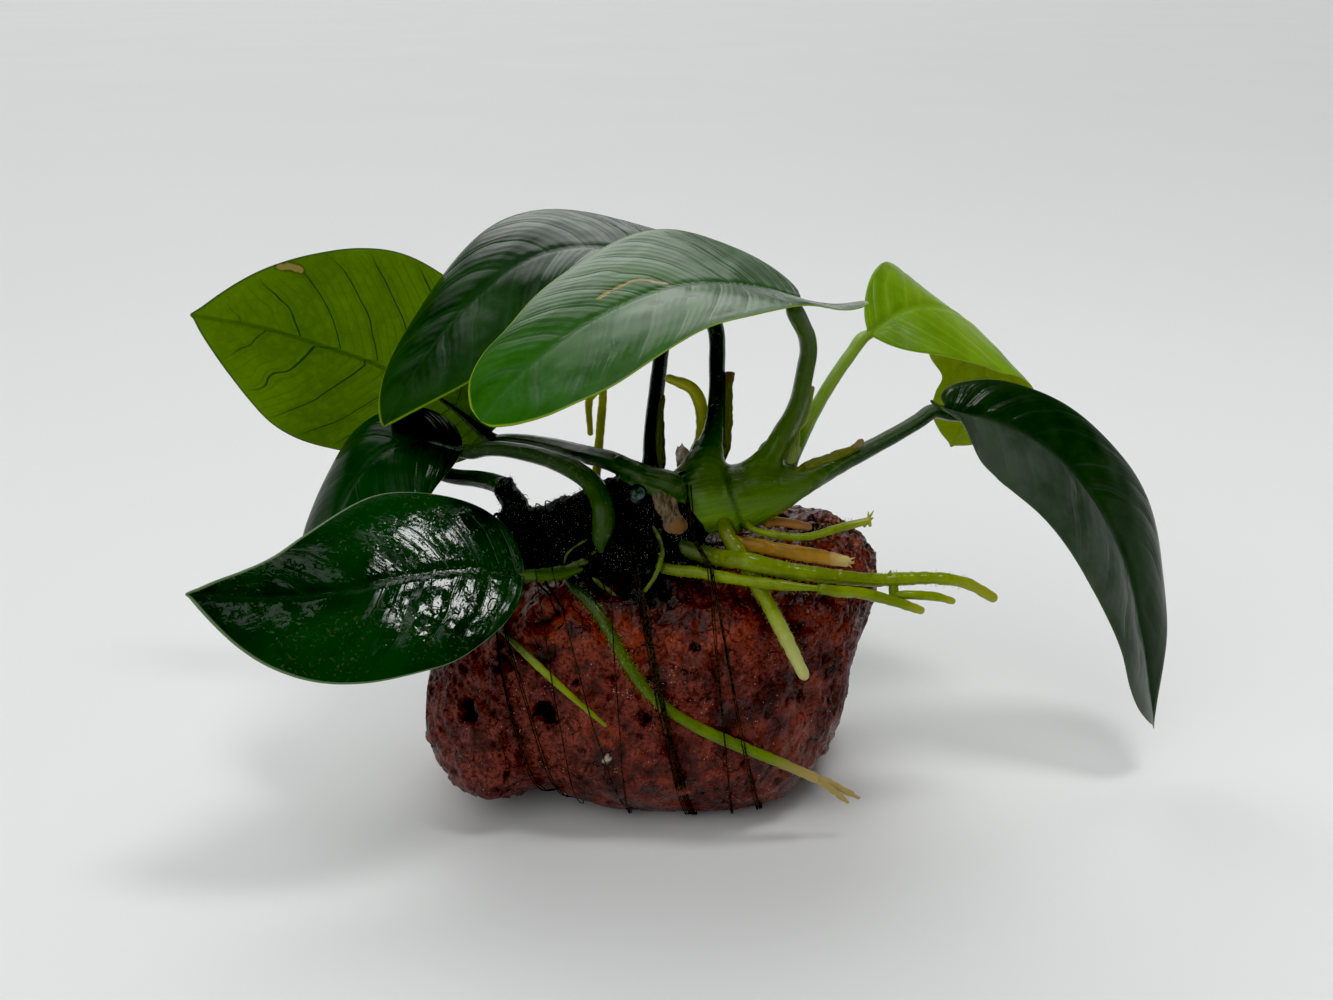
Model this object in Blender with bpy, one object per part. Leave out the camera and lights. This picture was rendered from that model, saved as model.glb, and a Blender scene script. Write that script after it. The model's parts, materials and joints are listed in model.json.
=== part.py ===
"""Anubias tied on a lava stone.

A wet, dark red lava stone carries an aquarium plant. The plant is a creeping rhizome, old and dark on the
left and green at its growing tip on the right. Stalks rise from it to broad blades, roots run over the stone
and out past its right side, and loops of dark thread bind the rhizome to the stone.

Frame: +X is right, +Y is away from the front, +Z is up. The origin is the middle of the flat underside.
All sizes in the tables are millimetres; the objects are made in metres.
"""
import math

import bmesh
import bpy
import numpy as np

MM = 0.001
GAP = 0.35                 # air between neighbouring solids
BLADE_THICK = 0.8
BLADE_ROWS = [0, 0.07, 0.15, 0.25, 0.36, 0.48, 0.60, 0.72, 0.84, 0.93, 1.0]
BLADE_COLS = [-1, -0.66, -0.33, 0, 0.33, 0.66, 1]
STONE_MID = np.array([0.0, 1.0, 24.0])
STONE_SHARP = 9.0          # how crisply the stone's faces meet
THREAD_AIR = 0.6           # air under a loop, which spans straight between the stone's coarse facets

# ---------------------------------------------------------------- the stone
# broad faces: (direction, distance from the stone's middle)
STONE_FACES = [
    ((-1, 0.1, -0.15), 46), ((1, 0.15, 0.1), 45), ((0, -1, 0.12), 30), ((0.05, 1, 0.05), 31),
    ((-0.10, 0, 1), 28), ((0, 0, -1), 27), ((-0.72, -0.1, 0.68), 35), ((0.62, 0.1, 0.78), 44),
    ((-0.55, -0.2, -0.85), 38), ((0.72, -0.1, -0.70), 38), ((0.62, -0.78, -0.1), 38),
    ((-0.62, -0.78, 0.15), 37), ((0.6, 0.8, 0), 43), ((-0.6, 0.8, 0), 42), ((0.1, -0.75, 0.66), 31),
    ((0.1, 0.7, 0.7), 34), ((0.0, -0.8, -0.6), 31), ((0.0, 0.8, -0.6), 34), ((0.45, -0.6, 0.65), 38)]
# lumps (+) and hollows (-): (centre, reach, height)
STONE_LUMPS = [
    ((-33, -24, 13), 13, 5.0), ((-40, -8, 18), 14, 2.5), ((-21, -28, 6), 6, -6.5), ((-21, -31, 18), 7, -3.0),
    ((-22, -30, 30), 7, -2.0), ((42, 8, 42), 13, 4.0), ((43, -8, 20), 8, -1.5), ((44, -2, 29), 12, -2.6), ((44, 2, 45), 9, 2.0), ((16, -30, 12), 15, 2.0),
    ((-9, -30, 14), 11, 2.0), ((22, -24, 44), 12, 2.0), ((-34, -14, 46), 14, -3.0), ((4, -29, 40), 10, -1.5),
    ((30, 27, 30), 14, 2.5), ((-14, 30, 20), 14, -2.5), ((32, -20, 30), 8, -1.5), ((-21, -16, 2), 9, -5.0),
    ((31, 9, 51), 13, 3.0)]
# the underside stands clear of the floor where the thread passes: (from X, to X, height)
LANES = [(-27.0, -11.4, 1.6), (-7.2, -1.8, 1.6), (5.2, 25.2, 1.6)]

# ---------------------------------------------------------------- the rhizome
RHIZOME = [(-26.0, -10.0, 56.9, 4.0), (-21.5, -10.0, 56.9, 5.0), (-16, -9.8, 57.8, 5.6), (-10.5, -9.3, 59.2, 5.9),
           (-5, -9.0, 59.9, 6.0), (2, -8.0, 60.7, 6.1), (8, -6.6, 61.8, 6.1), (14, -6.0, 62.8, 6.2), (20, -5.5, 63.5, 5.1),
           (24.6, -5.0, 64.3, 3.4)]

# ---------------------------------------------------------------- the blades
# spine: the midrib from foot to tip; up: the way the upper face looks at each spine point
# half_left, half_right: widest reach of each half, looking from foot to tip with the upper face up
# out_left, out_right: (lobe, wide, full, foot) of each half's outline
# trim_left, trim_right: how much wider or narrower that half runs, from foot to tip
# fold: how far each half rises from the midrib, curl: how far it turns on to the margin (degrees, foot to tip)
LEAVES = {
    "leaf_back_left": dict(
        spine=[(-35, 28, 65), (-45.2, 30, 72.7), (-56.5, 31, 79), (-69, 32, 83.5), (-83, 33, 87.6),
               (-98.6, 34, 90.2)],
        up=[(-0.2, 0.95, 0.1), (-0.1, 0.98, 0.1), (0, 1, 0.05), (0, 1, 0), (0.05, 1, 0), (0.1, 1, 0)],
        half_left=25, half_right=22.5, out_left=(0.02, 0.42, 1.6), out_right=(0.02, 0.50, 2.6),
        fold_left=4, fold_right=4, curl_left=-6, curl_right=-6, wave=(0.6, 2.0, 0.1)),
    "leaf_top_left": dict(
        spine=[(11, 9, 101), (-2, 12, 107), (-14, 13, 108.5), (-25, 13, 105.5), (-35, 11, 98), (-43.5, 5, 88.8),
               (-51.4, -5, 76.5)],
        up=[(-0.1, -0.2, 0.95), (-0.15, -0.2, 0.95), (-0.25, -0.3, 0.9), (-0.45, -0.5, 0.75), (-0.65, -0.5, 0.55),
            (-0.72, -0.55, 0.4), (-0.75, -0.6, 0.3)],
        half_left=22, half_right=20, out_left=(0.05, 0.45, 2.9), out_right=(0.05, 0.42, 2.6),
        trim_left=[1, 1, 1, 1, 1.08, 1.5], trim_right=[1, 0.96, 0.92, 0.95, 1.0, 1.15],
        fold_left=8, fold_right=8, curl_left=-40, curl_right=-30, wave=(0.6, 2.0, 0.0)),
    "leaf_top": dict(
        spine=[(29, -1, 101), (22, -3, 103.5), (14, -6, 105), (4, -9, 105), (-8, -13, 101), (-18, -16, 95),
               (-26, -19, 88), (-31, -21, 82)],
        up=[(0.2, 0.0, 0.97), (0.1, -0.05, 0.99), (0, -0.12, 0.98), (-0.15, -0.25, 0.95), (-0.35, -0.4, 0.85),
            (-0.45, -0.45, 0.75), (-0.55, -0.45, 0.7), (-0.6, -0.45, 0.65)],
        half_left=20, half_right=22.5, out_left=(0.20, 0.42, 4.0), out_right=(0.02, 0.42, 3.5),
        trim_left=[1, 1, 1, 0.98, 1.0, 1.3], trim_right=[1, 1, 0.96, 0.80, 0.74, 1.6],
        fold_left=[12, 10, 9, 8, 6], fold_right=[14, 13, 9, 8, 6], curl_left=[-8, -15, -18, -20, -25],
        curl_right=[0, -5, -15, -20, -20], wave=(0.4, 2.2, 0.3), back_bend=-3.0),
    "leaf_front_left": dict(
        spine=[(-23, -24, 54.5), (-32, -27, 56.5), (-43, -31, 57), (-55, -36, 56), (-67, -41, 57), (-79, -45, 59.5)],
        up=[(0.0, -0.65, 0.75), (-0.1, -0.65, 0.75), (-0.1, -0.65, 0.75), (0, -0.65, 0.75), (0.1, -0.65, 0.75),
            (0.1, -0.65, 0.75)],
        half_left=19, half_right=18, out_left=(0.0, 0.42, 2.4), out_right=(0.0, 0.38, 1.5),
        trim_right=[1, 1, 1, 0.95, 0.78, 0.9],
        fold_left=6, fold_right=10, curl_left=-20, curl_right=-20, wave=(0.6, 2.0, 0.2)),
    "leaf_left": dict(
        spine=[(-36.5, -2.5, 72), (-44.6, -3.5, 74), (-52.7, -5.5, 71), (-59.8, -8.5, 61.7), (-63.4, -12.5, 49.5),
               (-64, -16.5, 36.3)],
        up=[(-0.1, -0.4, 0.9), (-0.2, -0.45, 0.85), (-0.5, -0.55, 0.65), (-0.7, -0.6, 0.4), (-0.7, -0.65, 0.25),
            (-0.7, -0.65, 0.2)],
        half_left=17, half_right=15, out_left=(0.0, 0.42, 2.5), out_right=(0.0, 0.42, 2.5),
        trim_left=[1, 1.35, 1.15, 1, 1, 1],
        fold_left=5, fold_right=5, curl_left=-35, curl_right=-35, wave=(0.5, 2.0, 0.5)),
    "leaf_young": dict(
        spine=[(45, 18, 90), (54, 25, 93.5), (64.5, 34, 91.0), (72.5, 40, 84), (74.5, 42, 73), (67.5, 39, 58.8)],
        up=[(0.5, -0.7, 0.5), (0.35, -0.5, 0.75), (0.5, 0.1, 0.85), (0.65, 0.6, 0.45), (0.5, 0.85, 0.1),
            (0.45, 0.85, -0.2)],
        half_left=16, half_right=18, out_left=(0.0, 0.42, 3.4), out_right=(0.0, 0.48, 3.2, 1.2),
        trim_left=[0.75, 0.9, 1.02, 0.93, 0.74, 1.7], fold_left=[4, 10, 6, -15, -15], fold_right=[22, 0, -20, -20, 0], curl_left=-15, curl_right=-15,
        wave=(0.3, 1.5, 0.5)),
    "leaf_right": dict(
        spine=[(60, 8, 76.5), (71, 8.5, 74), (82, 8, 68), (91, 6.5, 58), (98, 4.5, 45), (102, 2, 31),
               (104.5, 0, 19), (106, -2, 10)],
        up=[(0.2, -0.6, 0.75), (0.3, -0.6, 0.7), (0.45, -0.65, 0.6), (0.6, -0.65, 0.45), (0.7, -0.65, 0.35),
            (0.75, -0.65, 0.2), (0.75, -0.65, 0.15), (0.75, -0.65, 0.15)],
        half_left=16, half_right=16.5, out_left=(0.04, 0.46, 1.9), out_right=(0.12, 0.40, 3.6, 0.8),
        trim_left=[0.85, 0.8, 0.94, 1.07, 0.93, 0.35], trim_right=[1, 1, 0.98, 0.9, 0.93, 1.6],
        fold_left=20, fold_right=[57, 28] + [20] * 14, curl_left=-40, curl_right=-40, wave=(0.6, 2.5, 0.0),
        back_bend=-5.0),
    "leaf_rear": dict(
        spine=[(3, 19, 94), (1, 28, 99), (-2, 38, 99), (-5, 47, 94), (-7, 54, 85), (-8, 58, 74)],
        up=[(0, -0.5, 0.87), (0, -0.25, 0.97), (0, 0.25, 0.97), (0, 0.6, 0.8), (0, 0.8, 0.6), (0, 0.9, 0.45)],
        half_left=16, half_right=16, out_left=(0.03, 0.42, 2.5), out_right=(0.03, 0.42, 2.5),
        fold_left=8, fold_right=8, curl_left=-30, curl_right=-30, wave=(0.5, 2.0, 0.4)),
    "leaf_low_left": dict(
        spine=[(-44, 4, 65), (-51, 6, 64), (-57, 8, 58), (-61, 9, 49), (-63, 9, 40), (-64, 8, 32)],
        up=[(-0.2, 0.3, 0.93), (-0.4, 0.3, 0.87), (-0.7, 0.3, 0.6), (-0.85, 0.25, 0.4), (-0.93, 0.2, 0.2),
            (-0.95, 0.2, 0.15)],
        half_left=12, half_right=12, out_left=(0.0, 0.42, 2.4), out_right=(0.0, 0.42, 2.4),
        fold_left=6, fold_right=6, curl_left=-25, curl_right=-25, wave=(0.4, 2.0, 0.7)),
}

# ---------------------------------------------------------------- stalks, from the rhizome to the foot of a blade
# (x, y, z, radius) and the blade; the last two numbers set the stalk's end back along and under the midrib
STALKS = {
    "stalk_back_left": ([(4.6, -11.8, 66.9, 2.2), (-1.5, -10.2, 69.1, 2.1), (-6, -7.2, 70.5, 2.0), (-13, -1.4, 70.5, 1.85),
                         (-21.2, 9, 69.0, 1.7), (-29.6, 20, 66.4, 1.6)], "leaf_back_left", 1.9, 0.3),
    "stalk_top_left": ([(11.7, -3.9, 69.6, 2.8), (12.6, -1.4, 73.4, 2.2), (13.4, 2.8, 79.4, 1.7), (13.5, 6.2, 86.3, 1.6),
                        (13.3, 8.4, 93, 1.6)], "leaf_top_left", 0.6, 2.2),
    "stalk_top": ([(23.5, -3.0, 69.6, 2.5), (25.9, -1.8, 74.1, 2.1), (28.8, 0.2, 79.1, 1.8),
                   (30.4, 1.4, 86.1, 1.7), (30.9, 1.3, 92.0, 1.7)], "leaf_top", -0.4, 2.3),
    "stalk_front_left": ([(-10.0, -16.6, 54.5, 1.7), (-14, -19.4, 53.2, 1.6), (-18.5, -22.0, 53.3, 1.6)],
                         "leaf_front_left", 2.0, 0.3),
    "stalk_left": ([(-9.0, -18.0, 58.6, 2.4), (-8.2, -16.6, 63.5, 2.2), (-10.5, -12.5, 68, 2.1), (-16, -8.0, 70.4, 1.9),
                    (-23, -5.0, 71.8, 1.7), (-30.3, -3.6, 72.4, 1.55)], "leaf_left", 1.9, 0.2),
    "stalk_young": ([(27.4, 0.2, 67.3, 1.7), (30.5, 4, 72.6, 1.5), (33.5, 8, 77.0, 1.35), (38, 12.5, 83.0, 1.3)],
                    "leaf_young", 1.6, 0.6),
    "stalk_right": ([(30.2, -4.0, 65.6, 2.6), (35.5, -1.5, 67.4, 2.2), (43, 2.2, 69.9, 1.75), (51, 5.6, 73.2, 1.6)],
                    "leaf_right", 2.4, 0.9),
    "stalk_rear": ([(0.7, 0.6, 66.0, 2.0), (0.5, 5.5, 70.5, 1.75), (1.5, 12, 80, 1.6), (2.7, 16.5, 88.5, 1.5)],
                   "leaf_rear", 1.0, 1.6),
    "stalk_low_left": ([(-25.8, -10.3, 63.2, 2.1), (-28.0, -6.6, 65.2, 1.95), (-33, -1.5, 65.2, 1.75),
                        (-39, 1.8, 64.7, 1.6)], "leaf_low_left", 1.7, 0.2),
}

# ---------------------------------------------------------------- dry sheaths beside the stalks: (x, y, z, radius)
SHEATHS = {
    "sheath_top_left": [(15.6, -2.2, 69.8, 0.9), (15.7, 0.0, 74.0, 0.85), (15.8, 3.2, 79.5, 0.8), (15.9, 5.8, 84.9, 0.6)],
    "sheath_right": [(29.6, -5.0, 69.6, 1.2), (33.6, -3.6, 70.9, 1.2), (37.8, -2.0, 72.2, 1.1), (42.0, -0.1, 73.6, 0.6)],
    "sheath_young": [(27.4, -1.0, 71.0, 0.9), (28.6, 1.4, 74.0, 1.1), (30.6, 3.2, 78.0, 1.0), (31.8, 4.4, 82.6, 0.45)],
    "sheath_rear": [(3.6, -0.4, 68.6, 0.9), (3.2, 3.0, 71.6, 0.9), (3.0, 6.0, 75.2, 0.8), (3.2, 8.8, 79.4, 0.4)],
}
PAPER_BUD = [(6.0, 0.6, 67.8, 1.5), (6.1, 1.1, 69.6, 1.8), (6.5, 1.6, 71.4, 0.9)]
CUT_STUB = [(-2.0, -13.0, 65.7, 2.0), (-2.0, -13.8, 66.6, 1.9)]

# ---------------------------------------------------------------- roots: (x, y, z, radius); on_stone ones lie on it
ROOTS = {
    "root_stout": ([(15, -14.0, 58.6, 1.5), (18.5, -17.5, 54.5, 1.5), (21, -21, 50.5, 1.5), (23.5, -24, 46.5, 1.45),
                    (26.5, -26, 41.5, 1.4), (29, -27.5, 36.0, 1.2)], True),
    "root_long": ([(-14.5, -18.5, 51, 1.3), (-11, -20, 48, 1.3), (-8, -22, 45, 1.25), (-6, -25, 39, 1.2),
                   (-3, -27, 34, 1.2), (1, -29, 30, 1.2), (6, -30, 27, 1.15), (13, -31, 24, 1.15), (20, -31, 21, 1.1),
                   (27, -30, 17, 1.0), (33, -28, 13.5, 0.9), (37.5, -28, 10.5, 0.7)], True),
    "root_far": ([(7, -15.2, 56.2, 1.6), (14, -18, 55.0, 1.7), (22, -20.5, 54.4, 1.6), (32, -20, 52.6, 1.5),
                  (43, -17.5, 50.4, 1.3), (52, -15.5, 49.9, 1.2), (60, -14.5, 49.0, 1.15), (67, -14, 45.2, 1.0)], False),
    "root_near": ([(2.5, -17.6, 53.4, 1.1), (9, -19.6, 52.9, 1.1), (16, -22.4, 52.6, 1.1), (24, -23.8, 52.2, 1.1),
                   (32, -23.4, 51.2, 1.0)], True),
    "root_fork_low": ([(35.2, -22.9, 50.4, 1.1), (40, -21.4, 49.4, 1.05), (46, -20.5, 47.5, 1.0), (52, -20, 45.2, 0.8)],
                      False),
    "root_fork_mid": ([(47, -18.7, 47.8, 0.95), (51, -17.9, 47.4, 0.9), (55, -17.3, 46.9, 0.85), (58.5, -17, 45.8, 0.7)],
                      False),
    "root_upper": ([(19.5, -12.2, 59.2, 1.2), (25, -14, 58.2, 1.15), (31, -14, 58.0, 1.1), (37.5, -13, 59.6, 1.1),
                    (42.2, -12, 60.4, 0.9)], False),
    "root_brown": ([(16.0, -11.0, 56.2, 1.1), (21.1, -12.0, 54.9, 1.2), (28.1, -12.5, 54.1, 1.25), (33.4, -12.5, 53.3, 1.2),
                    (38.2, -12.5, 52.2, 1.0)], True),
    "root_tan": ([(23.0, -4.6, 57.8, 1.0), (27, -3.6, 57.0, 0.95), (31.8, -3.0, 55.6, 0.7)], True),
    "root_thin": ([(-27.5, -23, 42, 0.7), (-24, -25, 39.5, 0.75), (-19, -28, 35.5, 0.7), (-14, -30, 31.5, 0.65),
                   (-8, -31, 26.5, 0.45)], True),
    "root_curl": ([(1.5, -15.9, 57.4, 0.7), (2.6, -18.2, 55.6, 0.7), (2.0, -19.8, 53.4, 0.65), (-0.5, -21.6, 50.0, 0.55)],
                  False),
    "root_hook": ([(8.6, 4.0, 66.4, 0.95), (10.0, 5.2, 69.5, 0.95), (10.8, 5.6, 74, 0.95), (10.4, 6.0, 78.0, 0.95),
                   (9.1, 6.3, 81.0, 0.95), (6.9, 6.4, 82.7, 0.9), (4.0, 6.6, 83.6, 0.75)], False),
    "root_air": ([(-10.6, -0.6, 62.6, 0.95), (-10.5, 4.0, 65.5, 0.95), (-10.2, 9.0, 70.0, 0.95), (-9.7, 12.0, 75.5, 0.9),
                  (-9.9, 14.0, 80.0, 0.9), (-11.5, 15.8, 80.3, 0.85), (-12.4, 16.6, 76.0, 0.8), (-12.4, 16.8, 69.0, 0.6)],
                 False),
}

# ---------------------------------------------------------------- thread loops: X where a loop meets the floor, its
# lean (X lost per mm of height) and the loop's radius; each loop is pulled tight in its own flat plane
THREADS = {
    "thread_1": (-20.0, 0.21, 0.30), "thread_2": (-16.2, 0.21, 0.30), "thread_3": (-14.3, 0.116, 0.30),
    "thread_4": (-4.5, 0.24, 0.32), "thread_5": (8.3, 0.205, 0.45), "thread_6": (16.3, 0.122, 0.32),
    "thread_7": (22.3, 0.192, 0.32)}
# what each loop passes over besides the stone
THREAD_OVER = ["rhizome", "stalk_front_left", "root_long", "root_near", "root_far", "root_thin",
               "root_curl", "root_stout"]

COLOURS = {
    "stone": ((0.095, 0.018, 0.014), 0.32), "old": ((0.020, 0.017, 0.008), 0.65), "green": ((0.10, 0.17, 0.015), 0.25),
    "dark_leaf": ((0.010, 0.035, 0.008), 0.22), "back_leaf": ((0.09, 0.15, 0.010), 0.35),
    "young_leaf": ((0.18, 0.32, 0.02), 0.35), "stalk": ((0.018, 0.045, 0.008), 0.28), "young": ((0.15, 0.24, 0.02), 0.3),
    "sheath": ((0.16, 0.14, 0.035), 0.55), "root": ((0.17, 0.24, 0.012), 0.3), "brown": ((0.30, 0.17, 0.04), 0.4),
    "thread": ((0.015, 0.014, 0.008), 0.7), "paper": ((0.45, 0.33, 0.26), 0.6)}


# ================================================================ curves
def unit(v):
    v = np.asarray(v, float)
    return v / np.maximum(np.linalg.norm(v, axis=-1, keepdims=True), 1e-12)


def hermite(knots, values, at):
    """Smooth curve through values (numbers or vectors) given at rising knots."""
    k = np.asarray(knots, float)
    v = np.asarray(values, float)
    at = np.clip(np.asarray(at, float), k[0], k[-1])
    flat = v.reshape(len(k), -1)
    slope = np.zeros_like(flat)
    d = np.diff(flat, axis=0) / np.diff(k)[:, None]
    slope[0], slope[-1] = d[0], d[-1]
    if len(k) > 2:
        h = np.diff(k)
        slope[1:-1] = (d[:-1] * h[1:, None] + d[1:] * h[:-1, None]) / (h[:-1] + h[1:])[:, None]
    i = np.clip(np.searchsorted(k, at, side="right") - 1, 0, len(k) - 2)
    h = k[i + 1] - k[i]
    u = ((at - k[i]) / h)[:, None]
    h = h[:, None]
    out = ((2 * u**3 - 3 * u**2 + 1) * flat[i] + (u**3 - 2 * u**2 + u) * h * slope[i]
           + (-2 * u**3 + 3 * u**2) * flat[i + 1] + (u**3 - u**2) * h * slope[i + 1])
    return out.reshape((len(at),) + v.shape[1:])


def curve_through(points, count):
    """Evenly spaced points on a smooth curve through the given ones, of any dimension, and its length."""
    p = np.asarray(points, float)
    chord = np.concatenate([[0], np.cumsum(np.maximum(np.linalg.norm(np.diff(p[:, :3], axis=0), axis=1), 1e-6) ** 0.5)])
    fine = hermite(chord, p, np.linspace(0, chord[-1], 600))
    run = np.concatenate([[0], np.cumsum(np.linalg.norm(np.diff(fine[:, :3], axis=0), axis=1))])
    at = np.linspace(0, run[-1], count)
    return np.stack([np.interp(at, run, fine[:, i]) for i in range(p.shape[1])], axis=1), run[-1]


# ================================================================ blades
def outline(lobe, wide, full, foot=1.0):
    """Half a blade's margin from the notch at its foot to the tip, as (share of length, share of half width).

    lobe is how far the foot reaches back behind the notch, wide is where the half is widest, full is how
    full it stays towards the tip, and foot is 1 for a round foot and more for a pointed one.
    """
    pts = [(0.0, 0.03)]
    for deg in (12, 26, 40, 55, 70, 90):
        a = math.radians(deg)
        y = math.sin(a) ** foot
        pts.append((wide * (1 - math.cos(a)) - lobe * (y / 0.45) * math.exp(1 - y / 0.45) * (1 - y ** 4), y))
    pts += [(wide + (1 - wide) * v, 1 - v ** full) for v in (0.22, 0.42, 0.60, 0.75, 0.87, 0.95)]
    return np.array(pts + [(0.992, 0.03), (1.0, 0.010)])


def smooth_along(rows, window):
    k = np.hanning(window)[1:-1]
    k = k / k.sum()
    side = len(k) // 2
    pad = np.concatenate([np.repeat(rows[:1], side, 0), rows, np.repeat(rows[-1:], side, 0)])
    return unit(np.stack([np.convolve(pad[:, i], k, "valid") for i in range(3)], 1))


class Blade:
    """A curved midrib with two halves that fold and curl; its side veins sweep forward to the margin."""

    def __init__(self, spec):
        self.spec = spec
        spine, self.length = curve_through(spec["spine"], 240)
        run = np.concatenate([[0], np.cumsum(np.linalg.norm(np.diff(spine, axis=0), axis=1))])
        knots = [0.0] + [run[np.argmin(np.linalg.norm(spine - np.array(q, float), axis=1))] / run[-1]
                         for q in spec["spine"][1:-1]] + [1.0]
        ahead = smooth_along(unit(np.gradient(spine, axis=0)), 83)
        up = smooth_along(unit(hermite(knots, unit(spec["up"]), run / run[-1])), 83)
        up = unit(up - (up * ahead).sum(1, keepdims=True) * ahead)
        # behind the foot the frame runs on backwards, turning by back_bend degrees each millimetre
        step = 0.30 * self.length / 60
        turn = math.radians(spec.get("back_bend", 0.0)) * step
        pos, t, u = spine[0].copy(), ahead[0].copy(), up[0].copy()
        rows = []
        for _ in range(60):
            c, s = math.cos(turn), math.sin(turn)
            t, u = unit(t * c + u * s), unit(u * c - t * s)
            pos = pos - t * step
            rows.append((pos.copy(), t.copy(), u.copy()))
        rows.reverse()
        self.x = np.concatenate([-(np.arange(60)[::-1] + 1) * step, run])
        self.pos = np.concatenate([np.array([r[0] for r in rows]), spine])
        self.ahead = np.concatenate([np.array([r[1] for r in rows]), ahead])
        self.up = np.concatenate([np.array([r[2] for r in rows]), up])
        self.edge = []
        for key, half in (("left", spec["half_left"]), ("right", spec["half_right"])):
            o = outline(*spec["out_" + key])
            trim = spec.get("trim_" + key)
            if trim:
                o[:, 1] *= hermite(np.linspace(0, 1, len(trim)), trim, np.clip(o[:, 0], 0, 1))
            self.edge.append(curve_through(np.stack([o[:, 0] * self.length, o[:, 1] * half, 0 * o[:, 0]], 1), 400)[0])

    def flat(self, t, s):
        """(x, y) on the flattened blade: t along the margin from foot to tip, s from -1, right, to 1, left."""
        t, s = np.asarray(t, float), np.asarray(s, float)
        share = np.linspace(0, 1, 400)
        left = s >= 0
        ex = np.where(left, np.interp(t, share, self.edge[0][:, 0]), np.interp(t, share, self.edge[1][:, 0]))
        ey = np.where(left, np.interp(t, share, self.edge[0][:, 1]), np.interp(t, share, self.edge[1][:, 1]))
        a = np.abs(s)
        mx = self.length * t ** 2.1
        qx, qy = mx + 0.34 * (ex - mx), 0.62 * ey
        b0, b1, b2 = (1 - a) ** 2, 2 * a * (1 - a), a * a
        return b0 * mx + b1 * qx + b2 * ex, (b1 * qy + b2 * ey) * np.where(left, 1, -1)

    def along(self, key, share):
        v = self.spec[key]
        if np.isscalar(v):
            return np.full(np.shape(share), float(v))
        return hermite(np.linspace(0, 1, len(v)), v, share)

    def bend(self, x, y):
        """The flattened blade's point (x, y) in space."""
        x, y = np.asarray(x, float), np.asarray(y, float)
        shape = x.shape
        x, y = x.ravel(), y.ravel()
        pos = np.stack([np.interp(x, self.x, self.pos[:, i]) for i in range(3)], 1)
        ahead = unit(np.stack([np.interp(x, self.x, self.ahead[:, i]) for i in range(3)], 1))
        up = np.stack([np.interp(x, self.x, self.up[:, i]) for i in range(3)], 1)
        up = unit(up - (up * ahead).sum(1, keepdims=True) * ahead)
        side = np.cross(up, ahead)
        share = np.clip(x / self.length, 0, 1)
        left = y >= 0
        a = np.abs(y)
        half = np.where(left, self.spec["half_left"], self.spec["half_right"])
        fold = np.radians(np.where(left, self.along("fold_left", share), self.along("fold_right", share)))
        curl = np.radians(np.where(left, self.along("curl_left", share), self.along("curl_right", share))) / half
        out_side, out_up = np.zeros_like(a), np.zeros_like(a)
        for i in range(12):
            ang = fold + curl * (i + 0.5) * a / 12
            out_side += np.cos(ang) * a / 12
            out_up += np.sin(ang) * a / 12
        amp, count, phase = self.spec["wave"]
        out_up += amp * (a / half) ** 2 * np.sin(2 * np.pi * (count * share + phase) + np.where(left, 0.0, 1.9))
        out = pos + side * (np.where(left, 1, -1) * out_side)[:, None] + up * out_up[:, None]
        return out.reshape(shape + (3,))

    def normal(self, x, y):
        e = 0.05
        return unit(np.cross(self.bend(x + e, y) - self.bend(x - e, y), self.bend(x, y + e) - self.bend(x, y - e)))


def blade_sheet(blade, rows, cols):
    """The blade's middle surface as a grid of points; a Solidify modifier gives it its thickness."""
    tt, ss = np.meshgrid(np.asarray(rows, float), np.asarray(cols, float), indexing="ij")
    mid = blade.bend(*blade.flat(tt, ss))
    r, c = tt.shape
    faces = [(i * c + j, (i + 1) * c + j, (i + 1) * c + j + 1, i * c + j + 1) for i in range(r - 1) for j in range(c - 1)]
    return mid.reshape(-1, 3), faces


# ================================================================ tubes
def frames(path):
    """Two directions square to the path at each point, carried along without twist."""
    p = np.asarray(path, float)
    t = unit(np.gradient(p, axis=0))
    first = np.array([0.0, 0.0, 1.0]) if abs(t[0][2]) < 0.8 else np.array([0.0, 1.0, 0.0])
    u = [unit(first - first @ t[0] * t[0])]
    for i in range(1, len(p)):
        v = u[-1] - u[-1] @ t[i] * t[i]
        u.append(unit(v))
    u = np.array(u)
    return t, u, np.cross(t, u)


# ================================================================ the stone
def stone_level(p):
    """Above 1 outside the stone, below 1 inside."""
    q = p - STONE_MID
    f = np.zeros(q.shape[:-1])
    for n, h in STONE_FACES:
        f = f + np.maximum(q @ unit(n) / h, 0) ** STONE_SHARP
    f = f ** (1 / STONE_SHARP)
    for c, r, a in STONE_LUMPS:
        f = f - a / 32.0 * np.exp(-((p - np.array(c, float)) ** 2).sum(-1) / r ** 2)
    return f


def solve(inside, outside, level, rounds=36):
    for _ in range(rounds):
        mid = (inside + outside) / 2
        out = level(mid) > 1
        outside = np.where(out[..., None], mid, outside)
        inside = np.where(out[..., None], inside, mid)
    return (inside + outside) / 2


def stone_core(x):
    """A line through the stone from end to end, which climbs to the shoulder at the right; rays start on it."""
    v = np.clip((np.asarray(x, float) - 6.0) / 36.0, 0, 1)
    return np.stack([x, np.full_like(v, 1.0), 24.0 + 18.0 * v * v * (3 - 2 * v)], -1)


def stone_ends():
    near, far = np.array([-20.0, 20.0]), np.array([-70.0, 70.0])
    for _ in range(40):
        mid = (near + far) / 2
        out = stone_level(stone_core(mid)) > 1
        far, near = np.where(out, mid, far), np.where(out, near, mid)
    e = stone_core((near + far) / 2)
    return e[0], e[1]


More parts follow.
